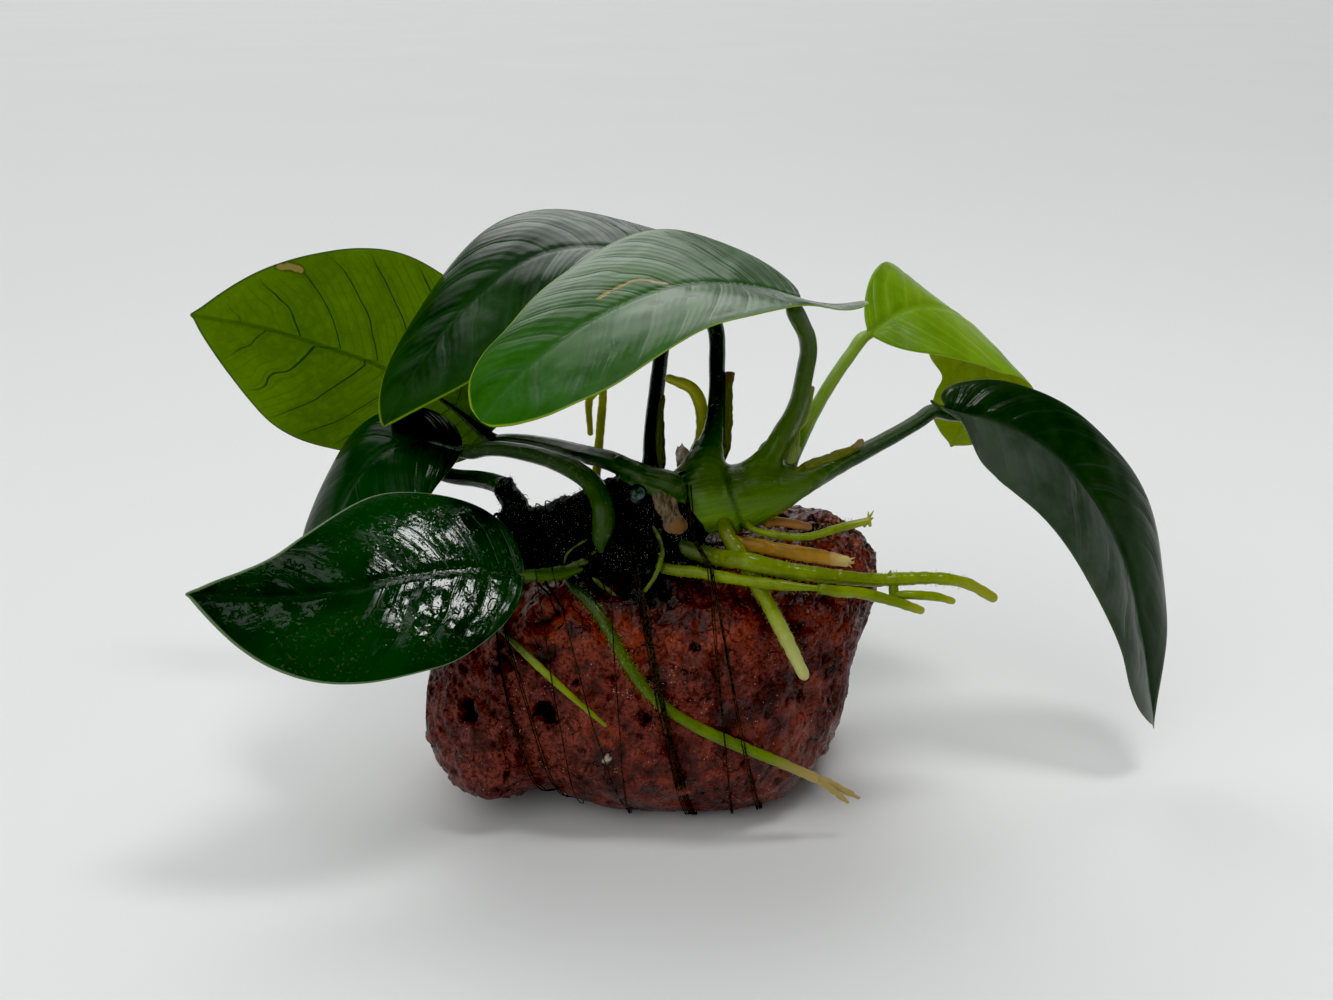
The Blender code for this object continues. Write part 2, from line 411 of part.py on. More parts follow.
def stone_rings(stations, around):
    """Points on the stone at each X station and turn angle, from the front upwards; the underside is flat."""
    xx, aa = np.meshgrid(np.asarray(stations, float), np.asarray(around, float), indexing="ij")
    inside = stone_core(xx)
    way = np.stack([np.zeros_like(xx), -np.cos(aa), np.sin(aa)], -1)
    p = solve(inside, inside + 60 * way, stone_level)
    floor = np.zeros_like(xx)
    for a, b, d in LANES:
        floor = np.where((xx > a - 0.001) & (xx < b + 0.001), d, floor)
    low = p[..., 2] < floor
    k = (inside[..., 2] - floor) / np.maximum(inside[..., 2] - p[..., 2], 1e-9)
    return np.where(low[..., None], inside + (p - inside) * k[..., None], p)


def stone_solid():
    west, east = stone_ends()
    stations = [-44.6, -43.0, -39.5, -34.5, -30, -27.4, -26.9, -21, -16, -11.5, -11.0, -7.5, -7.0, -2.0, -1.5, 4.9, 5.4,
                11, 18, 25.0, 25.5, 31, 36.5, 40.5, 43.0, 43.8]
    stations = [x for x in stations if west[0] + 0.25 < x < east[0] - 0.2]
    around = np.linspace(0, 2 * np.pi, 28, endpoint=False) + 0.02
    ring = stone_rings(stations, around)
    n, m = ring.shape[:2]
    verts = np.concatenate([ring.reshape(-1, 3), [west, east]])
    faces = []
    for i in range(n - 1):
        for j in range(m):
            k = (j + 1) % m
            faces.append((i * m + j, (i + 1) * m + j, (i + 1) * m + k, i * m + k))
    for j in range(m):
        k = (j + 1) % m
        faces.append((n * m, j, k))
        faces.append((n * m + 1, (n - 1) * m + k, (n - 1) * m + j))
    return verts, faces


def off_stone(path, radii, air):
    """Slide a path outwards until a rod of these radii lies on the stone with this much air under it."""
    p = np.asarray(path, float).copy()
    need = np.asarray(radii, float) + air
    for _ in range(3):
        f = stone_level(p)
        g = np.stack([(stone_level(p + d) - stone_level(p - d)) / 0.4 for d in np.eye(3) * 0.2], -1)
        size = np.linalg.norm(g, axis=-1)
        dist = (f - 1) / size
        short = np.maximum(need - dist, 0)
        p = p + unit(g) * short[:, None]
    q = p.copy()
    q[1:-1] = (p[:-2] + 2 * p[1:-1] + p[2:]) / 4
    return q


# ================================================================ thread
def hull(points):
    """Corners of the smallest convex outline round 2-D points, in order."""
    pts = sorted(map(tuple, points))
    def half(seq):
        out = []
        for p in seq:
            while len(out) > 1 and ((out[-1][0] - out[-2][0]) * (p[1] - out[-2][1])
                                    - (out[-1][1] - out[-2][1]) * (p[0] - out[-2][0])) <= 0:
                out.pop()
            out.append(p)
        return out
    a, b = half(pts), half(reversed(pts))
    return np.array(a[:-1] + b[:-1])


def loop_path(start, lean, radius, cloud, count):
    """A tight loop in the plane X = start - lean * Z round every surface point near that plane."""
    near = np.abs(cloud[:, 0] - (start - lean * cloud[:, 2])) < 0.9 + radius
    ring = cloud[near][:, 1:]
    reach = radius + THREAD_AIR
    ang = np.linspace(0, 2 * np.pi, 16, endpoint=False)
    fat = (ring[:, None] + reach * np.stack([np.cos(ang), np.sin(ang)], -1)[None]).reshape(-1, 2)
    h = hull(fat)
    h = np.concatenate([h, h[:1]])
    # more points where the loop turns, fewer on its straight stretches
    seg = np.linalg.norm(np.diff(h, axis=0), axis=1)
    run = np.concatenate([[0], np.cumsum(seg)])
    fine = np.linspace(0, run[-1], 721)[:-1]
    pos = np.stack([np.interp(fine, run, h[:, i]) for i in range(2)], -1)
    way = np.unwrap(np.arctan2(*(np.roll(pos, -6, 0) - np.roll(pos, 6, 0)).T[::-1]))
    turn = np.abs(np.diff(np.concatenate([way, [way[0] + 2 * np.pi * np.sign(way[-1] - way[0])]])))
    cost = np.concatenate([[0], np.cumsum(turn / turn.sum() * 0.62 + 0.38 / len(turn))])
    pick = np.interp(np.linspace(0, 1, count + 1)[:-1], cost, np.arange(721))
    yz = np.stack([np.interp(pick, np.arange(721), np.concatenate([pos[:, i], pos[:1, i]])) for i in range(2)], -1)
    return np.stack([start - lean * yz[:, 1], yz[:, 0], yz[:, 1]], -1)


# ================================================================ objects
def finish(obj, name, colour, plant):
    """Link the object under the plant's empty with a material of its own."""
    rgb, rough = COLOURS[colour]
    m = bpy.data.materials.new(name)
    m.use_nodes = True
    shader = m.node_tree.nodes["Principled BSDF"]
    shader.inputs["Base Color"].default_value = (*rgb, 1.0)
    shader.inputs["Roughness"].default_value = rough
    shader.inputs["Metallic"].default_value = 0.0
    m.diffuse_color = (*rgb, 1.0)
    obj.data.materials.append(m)
    bpy.context.scene.collection.objects.link(obj)
    obj.parent = plant
    return obj


def add_mesh(name, verts, faces, foot, colour, plant, thick=None):
    """A mesh whose origin is its foot; a sheet gets its thickness from Solidify."""
    foot = np.asarray(foot, float)
    mesh = bpy.data.meshes.new(name)
    mesh.from_pydata([tuple((v - foot) * MM) for v in np.asarray(verts, float)], [], faces)
    bm = bmesh.new()
    bm.from_mesh(mesh)
    bmesh.ops.recalc_face_normals(bm, faces=bm.faces)
    bm.to_mesh(mesh)
    bm.free()
    mesh.shade_smooth()
    mesh.set_sharp_from_angle(angle=math.radians(50))
    obj = bpy.data.objects.new(name, mesh)
    obj.location = tuple(foot * MM)
    if thick:
        skin = obj.modifiers.new("thickness", "SOLIDIFY")
        skin.thickness = thick * MM
        skin.offset = 0.0
        skin.use_even_offset = False
        skin.use_rim = True
    return finish(obj, name, colour, plant)


def add_rod(name, path, radii, sides, colour, plant, closed=False, domed=True):
    """A bevelled curve: a rod with closed, slightly domed ends, or a closed loop."""
    path, radii = np.asarray(path, float), np.asarray(radii, float)
    if domed and not closed:
        first, last = unit(path[0] - path[1]), unit(path[-1] - path[-2])
        path = np.concatenate([[path[0] + first * radii[0] * 0.35], path, [path[-1] + last * radii[-1] * 0.35]])
        radii = np.concatenate([[radii[0] * 0.6], radii, [radii[-1] * 0.6]])
    foot = path[0].copy()
    curve = bpy.data.curves.new(name, "CURVE")
    curve.dimensions = "3D"
    curve.twist_mode = "MINIMUM"
    curve.bevel_depth = MM
    curve.bevel_resolution = (sides - 4) // 2
    curve.use_fill_caps = not closed
    line = curve.splines.new("POLY")
    line.points.add(len(path) - 1)
    for knot, q, r in zip(line.points, path - foot, radii):
        knot.co = (*(q * MM), 1.0)
        knot.radius = float(r)
    line.use_cyclic_u = closed
    line.use_smooth = True
    obj = bpy.data.objects.new(name, curve)
    obj.location = tuple(foot * MM)
    return finish(obj, name, colour, plant)


def slide_clear(path, radii, rods, air, on_stone):
    """Slide a path sideways until its rod is clear of the given rods, and off the stone when it lies on it."""
    p = path.copy()
    for _ in range(20):
        for q, r in rods:
            apart = p[:, None] - q[None]
            dist = np.linalg.norm(apart, axis=2) - r[None]
            near = dist.argmin(1)
            rows = np.arange(len(p))
            short = np.maximum(radii + air - dist[rows, near], 0)
            p = p + unit(apart[rows, near]) * short[:, None]
        if on_stone:
            p = off_stone(p, radii, air + 0.1)
    return p


def dense(points, count):
    q, _ = curve_through(points, count)
    return q[:, :3], q[:, 3]


def laid(points, count, clear=(), on_stone=False):
    """A rod's path and radii, kept clear of other rods (paths with radii)."""
    path, radii = dense(points, 3 * count - 2)
    if len(clear) or on_stone:
        path = slide_clear(path, radii, clear, GAP + 0.4, on_stone)
    return path[::3], radii[::3]


def surface_cloud(path, radii):
    """Dense points on a rod's skin."""
    n = 40
    run = np.linspace(0, len(path) - 1, n * 4)
    p = np.stack([np.interp(run, np.arange(len(path)), path[:, i]) for i in range(3)], 1)
    r = np.interp(run, np.arange(len(path)), radii)
    _, u, v = frames(p)
    ang = np.linspace(0, 2 * np.pi, 24, endpoint=False)
    return (p[:, None] + r[:, None, None] * (np.cos(ang)[None, :, None] * u[:, None]
                                             + np.sin(ang)[None, :, None] * v[:, None])).reshape(-1, 3)


def main():
    for obj in list(bpy.data.objects):
        bpy.data.objects.remove(obj, do_unlink=True)
    plant = bpy.data.objects.new("anubias_on_stone", None)
    bpy.context.scene.collection.objects.link(plant)

    clouds = {}
    add_mesh("lava_stone", *stone_solid(), (0, 0, 0), "stone", plant)
    west, east = stone_ends()
    skin = stone_rings(np.linspace(west[0] + 0.3, east[0] - 0.3, 260), np.linspace(0, 2 * np.pi, 240, endpoint=False))
    clouds["lava_stone"] = skin.reshape(-1, 3)

    axis = dense(RHIZOME, 200)
    path, radii = laid(RHIZOME, 13)
    add_rod("rhizome", path, radii, 12, "green", plant)
    clouds["rhizome"] = surface_cloud(path, radii)

    blades = {}
    for name, spec in LEAVES.items():
        blades[name] = Blade(spec)
        verts, faces = blade_sheet(blades[name], BLADE_ROWS, BLADE_COLS)
        colour = {"leaf_back_left": "back_leaf", "leaf_young": "young_leaf"}.get(name, "dark_leaf")
        add_mesh(name, verts, faces, spec["spine"][0], colour, plant, BLADE_THICK)

    rods = {"rhizome": axis}
    for name, (points, leaf, back, under) in STALKS.items():
        b = blades[leaf]
        foot = b.bend(np.array([0.0]), np.array([0.0]))[0]
        end = foot - b.ahead[60] * back - b.up[60] * under
        path, radii = laid(points + [(*end, points[-1][3])], 2 * len(points) + 1, list(rods.values()))
        add_rod(name, path, radii, 8, "young" if leaf == "leaf_young" else "stalk", plant)
        rods[name] = dense(np.column_stack([path, radii]), 120)
        clouds[name] = surface_cloud(path, radii)

    for name, points in SHEATHS.items():
        path, radii = laid(points, 5, list(rods.values()))
        add_rod(name, path, radii, 6, "sheath", plant)
        rods[name] = dense(np.column_stack([path, radii]), 60)
    path, radii = laid(PAPER_BUD, 4, list(rods.values()))
    add_rod("paper_bud", path, radii, 6, "paper", plant)
    rods["paper_bud"] = dense(np.column_stack([path, radii]), 30)
    stub = np.array(CUT_STUB, float)
    add_rod("cut_stub", stub[:, :3], stub[:, 3], 8, "old", plant, domed=False)

    for name, (points, on_stone) in ROOTS.items():
        count = max(5, int(round(curve_through(points, 20)[1] / 6.0)))
        path, radii = laid(points, count, list(rods.values()), on_stone)
        add_rod(name, path, radii, 6, "brown" if name in ("root_brown", "root_tan") else "root", plant)
        rods[name] = dense(np.column_stack([path, radii]), 160)
        clouds[name] = surface_cloud(path, radii)

    cloud = np.concatenate([clouds["lava_stone"]] + [clouds[n] for n in THREAD_OVER])
    for name, (start, lean, radius) in THREADS.items():
        path = loop_path(start, lean, radius, cloud, 24)
        add_rod(name, path, np.full(len(path), radius), 6, "thread", plant, closed=True)


main()
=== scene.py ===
"""Anubias tied on a lava stone: the looks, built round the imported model.

The shape rules and tables below are the model's own, so that every fine piece lies where its node lies.
Sizes in the tables are millimetres; the pieces are made in metres.
"""
import json
import math

import bmesh
import bpy
import numpy as np
from mathutils import Matrix, Vector

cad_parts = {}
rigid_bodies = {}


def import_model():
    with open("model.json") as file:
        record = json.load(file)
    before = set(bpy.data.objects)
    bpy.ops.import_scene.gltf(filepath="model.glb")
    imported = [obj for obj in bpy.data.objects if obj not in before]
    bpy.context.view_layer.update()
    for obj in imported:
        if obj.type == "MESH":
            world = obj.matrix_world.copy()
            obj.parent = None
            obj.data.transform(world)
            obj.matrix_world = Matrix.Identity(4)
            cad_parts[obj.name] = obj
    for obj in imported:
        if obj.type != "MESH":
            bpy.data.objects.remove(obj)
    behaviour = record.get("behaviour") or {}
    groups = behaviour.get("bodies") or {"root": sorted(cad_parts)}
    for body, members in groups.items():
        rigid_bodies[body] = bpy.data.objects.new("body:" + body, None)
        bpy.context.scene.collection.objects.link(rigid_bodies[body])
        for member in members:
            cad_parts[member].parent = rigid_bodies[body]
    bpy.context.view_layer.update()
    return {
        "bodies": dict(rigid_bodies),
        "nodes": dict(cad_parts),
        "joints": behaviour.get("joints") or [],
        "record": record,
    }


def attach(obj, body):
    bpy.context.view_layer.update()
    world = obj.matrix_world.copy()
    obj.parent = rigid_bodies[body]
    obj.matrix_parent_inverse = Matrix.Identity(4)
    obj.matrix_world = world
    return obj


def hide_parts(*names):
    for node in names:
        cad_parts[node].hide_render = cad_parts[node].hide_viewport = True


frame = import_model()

MM = 0.001

GAP = 0.35                 # air between neighbouring solids
BLADE_THICK = 0.8
BLADE_ROWS = [0, 0.07, 0.15, 0.25, 0.36, 0.48, 0.60, 0.72, 0.84, 0.93, 1.0]
BLADE_COLS = [-1, -0.66, -0.33, 0, 0.33, 0.66, 1]
STONE_MID = np.array([0.0, 1.0, 24.0])
STONE_SHARP = 9.0          # how crisply the stone's faces meet
THREAD_AIR = 0.6           # air under a loop, which spans straight between the stone's coarse facets

# ---------------------------------------------------------------- the stone
# broad faces: (direction, distance from the stone's middle)
STONE_FACES = [
    ((-1, 0.1, -0.15), 46), ((1, 0.15, 0.1), 45), ((0, -1, 0.12), 30), ((0.05, 1, 0.05), 31),
    ((-0.10, 0, 1), 28), ((0, 0, -1), 27), ((-0.72, -0.1, 0.68), 35), ((0.62, 0.1, 0.78), 44),
    ((-0.55, -0.2, -0.85), 38), ((0.72, -0.1, -0.70), 38), ((0.62, -0.78, -0.1), 38),
    ((-0.62, -0.78, 0.15), 37), ((0.6, 0.8, 0), 43), ((-0.6, 0.8, 0), 42), ((0.1, -0.75, 0.66), 31),
    ((0.1, 0.7, 0.7), 34), ((0.0, -0.8, -0.6), 31), ((0.0, 0.8, -0.6), 34), ((0.45, -0.6, 0.65), 38)]
# lumps (+) and hollows (-): (centre, reach, height)
STONE_LUMPS = [
    ((-33, -24, 13), 13, 5.0), ((-40, -8, 18), 14, 2.5), ((-21, -28, 6), 6, -6.5), ((-21, -31, 18), 7, -3.0),
    ((-22, -30, 30), 7, -2.0), ((42, 8, 42), 13, 4.0), ((43, -8, 20), 8, -1.5), ((44, -2, 29), 12, -2.6), ((44, 2, 45), 9, 2.0), ((16, -30, 12), 15, 2.0),
    ((-9, -30, 14), 11, 2.0), ((22, -24, 44), 12, 2.0), ((-34, -14, 46), 14, -3.0), ((4, -29, 40), 10, -1.5),
    ((30, 27, 30), 14, 2.5), ((-14, 30, 20), 14, -2.5), ((32, -20, 30), 8, -1.5), ((-21, -16, 2), 9, -5.0),
    ((31, 9, 51), 13, 3.0)]
# the underside stands clear of the floor where the thread passes: (from X, to X, height)
LANES = [(-27.0, -11.4, 1.6), (-7.2, -1.8, 1.6), (5.2, 25.2, 1.6)]

# ---------------------------------------------------------------- the rhizome
RHIZOME = [(-26.0, -10.0, 56.9, 4.0), (-21.5, -10.0, 56.9, 5.0), (-16, -9.8, 57.8, 5.6), (-10.5, -9.3, 59.2, 5.9),
           (-5, -9.0, 59.9, 6.0), (2, -8.0, 60.7, 6.1), (8, -6.6, 61.8, 6.1), (14, -6.0, 62.8, 6.2), (20, -5.5, 63.5, 5.1),
           (24.6, -5.0, 64.3, 3.4)]

# ---------------------------------------------------------------- the blades
# spine: the midrib from foot to tip; up: the way the upper face looks at each spine point
# half_left, half_right: widest reach of each half, looking from foot to tip with the upper face up
# out_left, out_right: (lobe, wide, full, foot) of each half's outline
# trim_left, trim_right: how much wider or narrower that half runs, from foot to tip
# fold: how far each half rises from the midrib, curl: how far it turns on to the margin (degrees, foot to tip)
LEAVES = {
    "leaf_back_left": dict(
        spine=[(-35, 28, 65), (-45.2, 30, 72.7), (-56.5, 31, 79), (-69, 32, 83.5), (-83, 33, 87.6),
               (-98.6, 34, 90.2)],
        up=[(-0.2, 0.95, 0.1), (-0.1, 0.98, 0.1), (0, 1, 0.05), (0, 1, 0), (0.05, 1, 0), (0.1, 1, 0)],
        half_left=25, half_right=22.5, out_left=(0.02, 0.42, 1.6), out_right=(0.02, 0.50, 2.6),
        fold_left=4, fold_right=4, curl_left=-6, curl_right=-6, wave=(0.6, 2.0, 0.1)),
    "leaf_top_left": dict(
        spine=[(11, 9, 101), (-2, 12, 107), (-14, 13, 108.5), (-25, 13, 105.5), (-35, 11, 98), (-43.5, 5, 88.8),
               (-51.4, -5, 76.5)],
        up=[(-0.1, -0.2, 0.95), (-0.15, -0.2, 0.95), (-0.25, -0.3, 0.9), (-0.45, -0.5, 0.75), (-0.65, -0.5, 0.55),
            (-0.72, -0.55, 0.4), (-0.75, -0.6, 0.3)],
        half_left=22, half_right=20, out_left=(0.05, 0.45, 2.9), out_right=(0.05, 0.42, 2.6),
        trim_left=[1, 1, 1, 1, 1.08, 1.5], trim_right=[1, 0.96, 0.92, 0.95, 1.0, 1.15],
        fold_left=8, fold_right=8, curl_left=-40, curl_right=-30, wave=(0.6, 2.0, 0.0)),
    "leaf_top": dict(
        spine=[(29, -1, 101), (22, -3, 103.5), (14, -6, 105), (4, -9, 105), (-8, -13, 101), (-18, -16, 95),
               (-26, -19, 88), (-31, -21, 82)],
        up=[(0.2, 0.0, 0.97), (0.1, -0.05, 0.99), (0, -0.12, 0.98), (-0.15, -0.25, 0.95), (-0.35, -0.4, 0.85),
            (-0.45, -0.45, 0.75), (-0.55, -0.45, 0.7), (-0.6, -0.45, 0.65)],
        half_left=20, half_right=22.5, out_left=(0.20, 0.42, 4.0), out_right=(0.02, 0.42, 3.5),
        trim_left=[1, 1, 1, 0.98, 1.0, 1.3], trim_right=[1, 1, 0.96, 0.80, 0.74, 1.6],
        fold_left=[12, 10, 9, 8, 6], fold_right=[14, 13, 9, 8, 6], curl_left=[-8, -15, -18, -20, -25],
        curl_right=[0, -5, -15, -20, -20], wave=(0.4, 2.2, 0.3), back_bend=-3.0),
    "leaf_front_left": dict(
        spine=[(-23, -24, 54.5), (-32, -27, 56.5), (-43, -31, 57), (-55, -36, 56), (-67, -41, 57), (-79, -45, 59.5)],
        up=[(0.0, -0.65, 0.75), (-0.1, -0.65, 0.75), (-0.1, -0.65, 0.75), (0, -0.65, 0.75), (0.1, -0.65, 0.75),
            (0.1, -0.65, 0.75)],
        half_left=19, half_right=18, out_left=(0.0, 0.42, 2.4), out_right=(0.0, 0.38, 1.5),
        trim_right=[1, 1, 1, 0.95, 0.78, 0.9],
        fold_left=6, fold_right=10, curl_left=-20, curl_right=-20, wave=(0.6, 2.0, 0.2)),
    "leaf_left": dict(
        spine=[(-36.5, -2.5, 72), (-44.6, -3.5, 74), (-52.7, -5.5, 71), (-59.8, -8.5, 61.7), (-63.4, -12.5, 49.5),
               (-64, -16.5, 36.3)],
        up=[(-0.1, -0.4, 0.9), (-0.2, -0.45, 0.85), (-0.5, -0.55, 0.65), (-0.7, -0.6, 0.4), (-0.7, -0.65, 0.25),
            (-0.7, -0.65, 0.2)],
        half_left=17, half_right=15, out_left=(0.0, 0.42, 2.5), out_right=(0.0, 0.42, 2.5),
        trim_left=[1, 1.35, 1.15, 1, 1, 1],
        fold_left=5, fold_right=5, curl_left=-35, curl_right=-35, wave=(0.5, 2.0, 0.5)),
    "leaf_young": dict(
        spine=[(45, 18, 90), (54, 25, 93.5), (64.5, 34, 91.0), (72.5, 40, 84), (74.5, 42, 73), (67.5, 39, 58.8)],
        up=[(0.5, -0.7, 0.5), (0.35, -0.5, 0.75), (0.5, 0.1, 0.85), (0.65, 0.6, 0.45), (0.5, 0.85, 0.1),
            (0.45, 0.85, -0.2)],
        half_left=16, half_right=18, out_left=(0.0, 0.42, 3.4), out_right=(0.0, 0.48, 3.2, 1.2),
        trim_left=[0.75, 0.9, 1.02, 0.93, 0.74, 1.7], fold_left=[4, 10, 6, -15, -15], fold_right=[22, 0, -20, -20, 0], curl_left=-15, curl_right=-15,
        wave=(0.3, 1.5, 0.5)),
    "leaf_right": dict(
        spine=[(60, 8, 76.5), (71, 8.5, 74), (82, 8, 68), (91, 6.5, 58), (98, 4.5, 45), (102, 2, 31),
               (104.5, 0, 19), (106, -2, 10)],
        up=[(0.2, -0.6, 0.75), (0.3, -0.6, 0.7), (0.45, -0.65, 0.6), (0.6, -0.65, 0.45), (0.7, -0.65, 0.35),
            (0.75, -0.65, 0.2), (0.75, -0.65, 0.15), (0.75, -0.65, 0.15)],
        half_left=16, half_right=16.5, out_left=(0.04, 0.46, 1.9), out_right=(0.12, 0.40, 3.6, 0.8),
        trim_left=[0.85, 0.8, 0.94, 1.07, 0.93, 0.35], trim_right=[1, 1, 0.98, 0.9, 0.93, 1.6],
        fold_left=20, fold_right=[57, 28] + [20] * 14, curl_left=-40, curl_right=-40, wave=(0.6, 2.5, 0.0),
        back_bend=-5.0),
    "leaf_rear": dict(
        spine=[(3, 19, 94), (1, 28, 99), (-2, 38, 99), (-5, 47, 94), (-7, 54, 85), (-8, 58, 74)],
        up=[(0, -0.5, 0.87), (0, -0.25, 0.97), (0, 0.25, 0.97), (0, 0.6, 0.8), (0, 0.8, 0.6), (0, 0.9, 0.45)],
        half_left=16, half_right=16, out_left=(0.03, 0.42, 2.5), out_right=(0.03, 0.42, 2.5),
        fold_left=8, fold_right=8, curl_left=-30, curl_right=-30, wave=(0.5, 2.0, 0.4)),
    "leaf_low_left": dict(
        spine=[(-44, 4, 65), (-51, 6, 64), (-57, 8, 58), (-61, 9, 49), (-63, 9, 40), (-64, 8, 32)],
        up=[(-0.2, 0.3, 0.93), (-0.4, 0.3, 0.87), (-0.7, 0.3, 0.6), (-0.85, 0.25, 0.4), (-0.93, 0.2, 0.2),
            (-0.95, 0.2, 0.15)],
        half_left=12, half_right=12, out_left=(0.0, 0.42, 2.4), out_right=(0.0, 0.42, 2.4),
        fold_left=6, fold_right=6, curl_left=-25, curl_right=-25, wave=(0.4, 2.0, 0.7)),
}

# ---------------------------------------------------------------- stalks, from the rhizome to the foot of a blade
# (x, y, z, radius) and the blade; the last two numbers set the stalk's end back along and under the midrib
STALKS = {
    "stalk_back_left": ([(4.6, -11.8, 66.9, 2.2), (-1.5, -10.2, 69.1, 2.1), (-6, -7.2, 70.5, 2.0), (-13, -1.4, 70.5, 1.85),
                         (-21.2, 9, 69.0, 1.7), (-29.6, 20, 66.4, 1.6)], "leaf_back_left", 1.9, 0.3),
    "stalk_top_left": ([(11.7, -3.9, 69.6, 2.8), (12.6, -1.4, 73.4, 2.2), (13.4, 2.8, 79.4, 1.7), (13.5, 6.2, 86.3, 1.6),
                        (13.3, 8.4, 93, 1.6)], "leaf_top_left", 0.6, 2.2),
    "stalk_top": ([(23.5, -3.0, 69.6, 2.5), (25.9, -1.8, 74.1, 2.1), (28.8, 0.2, 79.1, 1.8),
                   (30.4, 1.4, 86.1, 1.7), (30.9, 1.3, 92.0, 1.7)], "leaf_top", -0.4, 2.3),
    "stalk_front_left": ([(-10.0, -16.6, 54.5, 1.7), (-14, -19.4, 53.2, 1.6), (-18.5, -22.0, 53.3, 1.6)],
                         "leaf_front_left", 2.0, 0.3),
    "stalk_left": ([(-9.0, -18.0, 58.6, 2.4), (-8.2, -16.6, 63.5, 2.2), (-10.5, -12.5, 68, 2.1), (-16, -8.0, 70.4, 1.9),
                    (-23, -5.0, 71.8, 1.7), (-30.3, -3.6, 72.4, 1.55)], "leaf_left", 1.9, 0.2),
    "stalk_young": ([(27.4, 0.2, 67.3, 1.7), (30.5, 4, 72.6, 1.5), (33.5, 8, 77.0, 1.35), (38, 12.5, 83.0, 1.3)],
                    "leaf_young", 1.6, 0.6),
    "stalk_right": ([(30.2, -4.0, 65.6, 2.6), (35.5, -1.5, 67.4, 2.2), (43, 2.2, 69.9, 1.75), (51, 5.6, 73.2, 1.6)],
                    "leaf_right", 2.4, 0.9),
    "stalk_rear": ([(0.7, 0.6, 66.0, 2.0), (0.5, 5.5, 70.5, 1.75), (1.5, 12, 80, 1.6), (2.7, 16.5, 88.5, 1.5)],
                   "leaf_rear", 1.0, 1.6),
    "stalk_low_left": ([(-25.8, -10.3, 63.2, 2.1), (-28.0, -6.6, 65.2, 1.95), (-33, -1.5, 65.2, 1.75),
                        (-39, 1.8, 64.7, 1.6)], "leaf_low_left", 1.7, 0.2),
}

# ---------------------------------------------------------------- dry sheaths beside the stalks: (x, y, z, radius)
SHEATHS = {
    "sheath_top_left": [(15.6, -2.2, 69.8, 0.9), (15.7, 0.0, 74.0, 0.85), (15.8, 3.2, 79.5, 0.8), (15.9, 5.8, 84.9, 0.6)],
    "sheath_right": [(29.6, -5.0, 69.6, 1.2), (33.6, -3.6, 70.9, 1.2), (37.8, -2.0, 72.2, 1.1), (42.0, -0.1, 73.6, 0.6)],
    "sheath_young": [(27.4, -1.0, 71.0, 0.9), (28.6, 1.4, 74.0, 1.1), (30.6, 3.2, 78.0, 1.0), (31.8, 4.4, 82.6, 0.45)],
    "sheath_rear": [(3.6, -0.4, 68.6, 0.9), (3.2, 3.0, 71.6, 0.9), (3.0, 6.0, 75.2, 0.8), (3.2, 8.8, 79.4, 0.4)],
}
PAPER_BUD = [(6.0, 0.6, 67.8, 1.5), (6.1, 1.1, 69.6, 1.8), (6.5, 1.6, 71.4, 0.9)]
CUT_STUB = [(-2.0, -13.0, 65.7, 2.0), (-2.0, -13.8, 66.6, 1.9)]

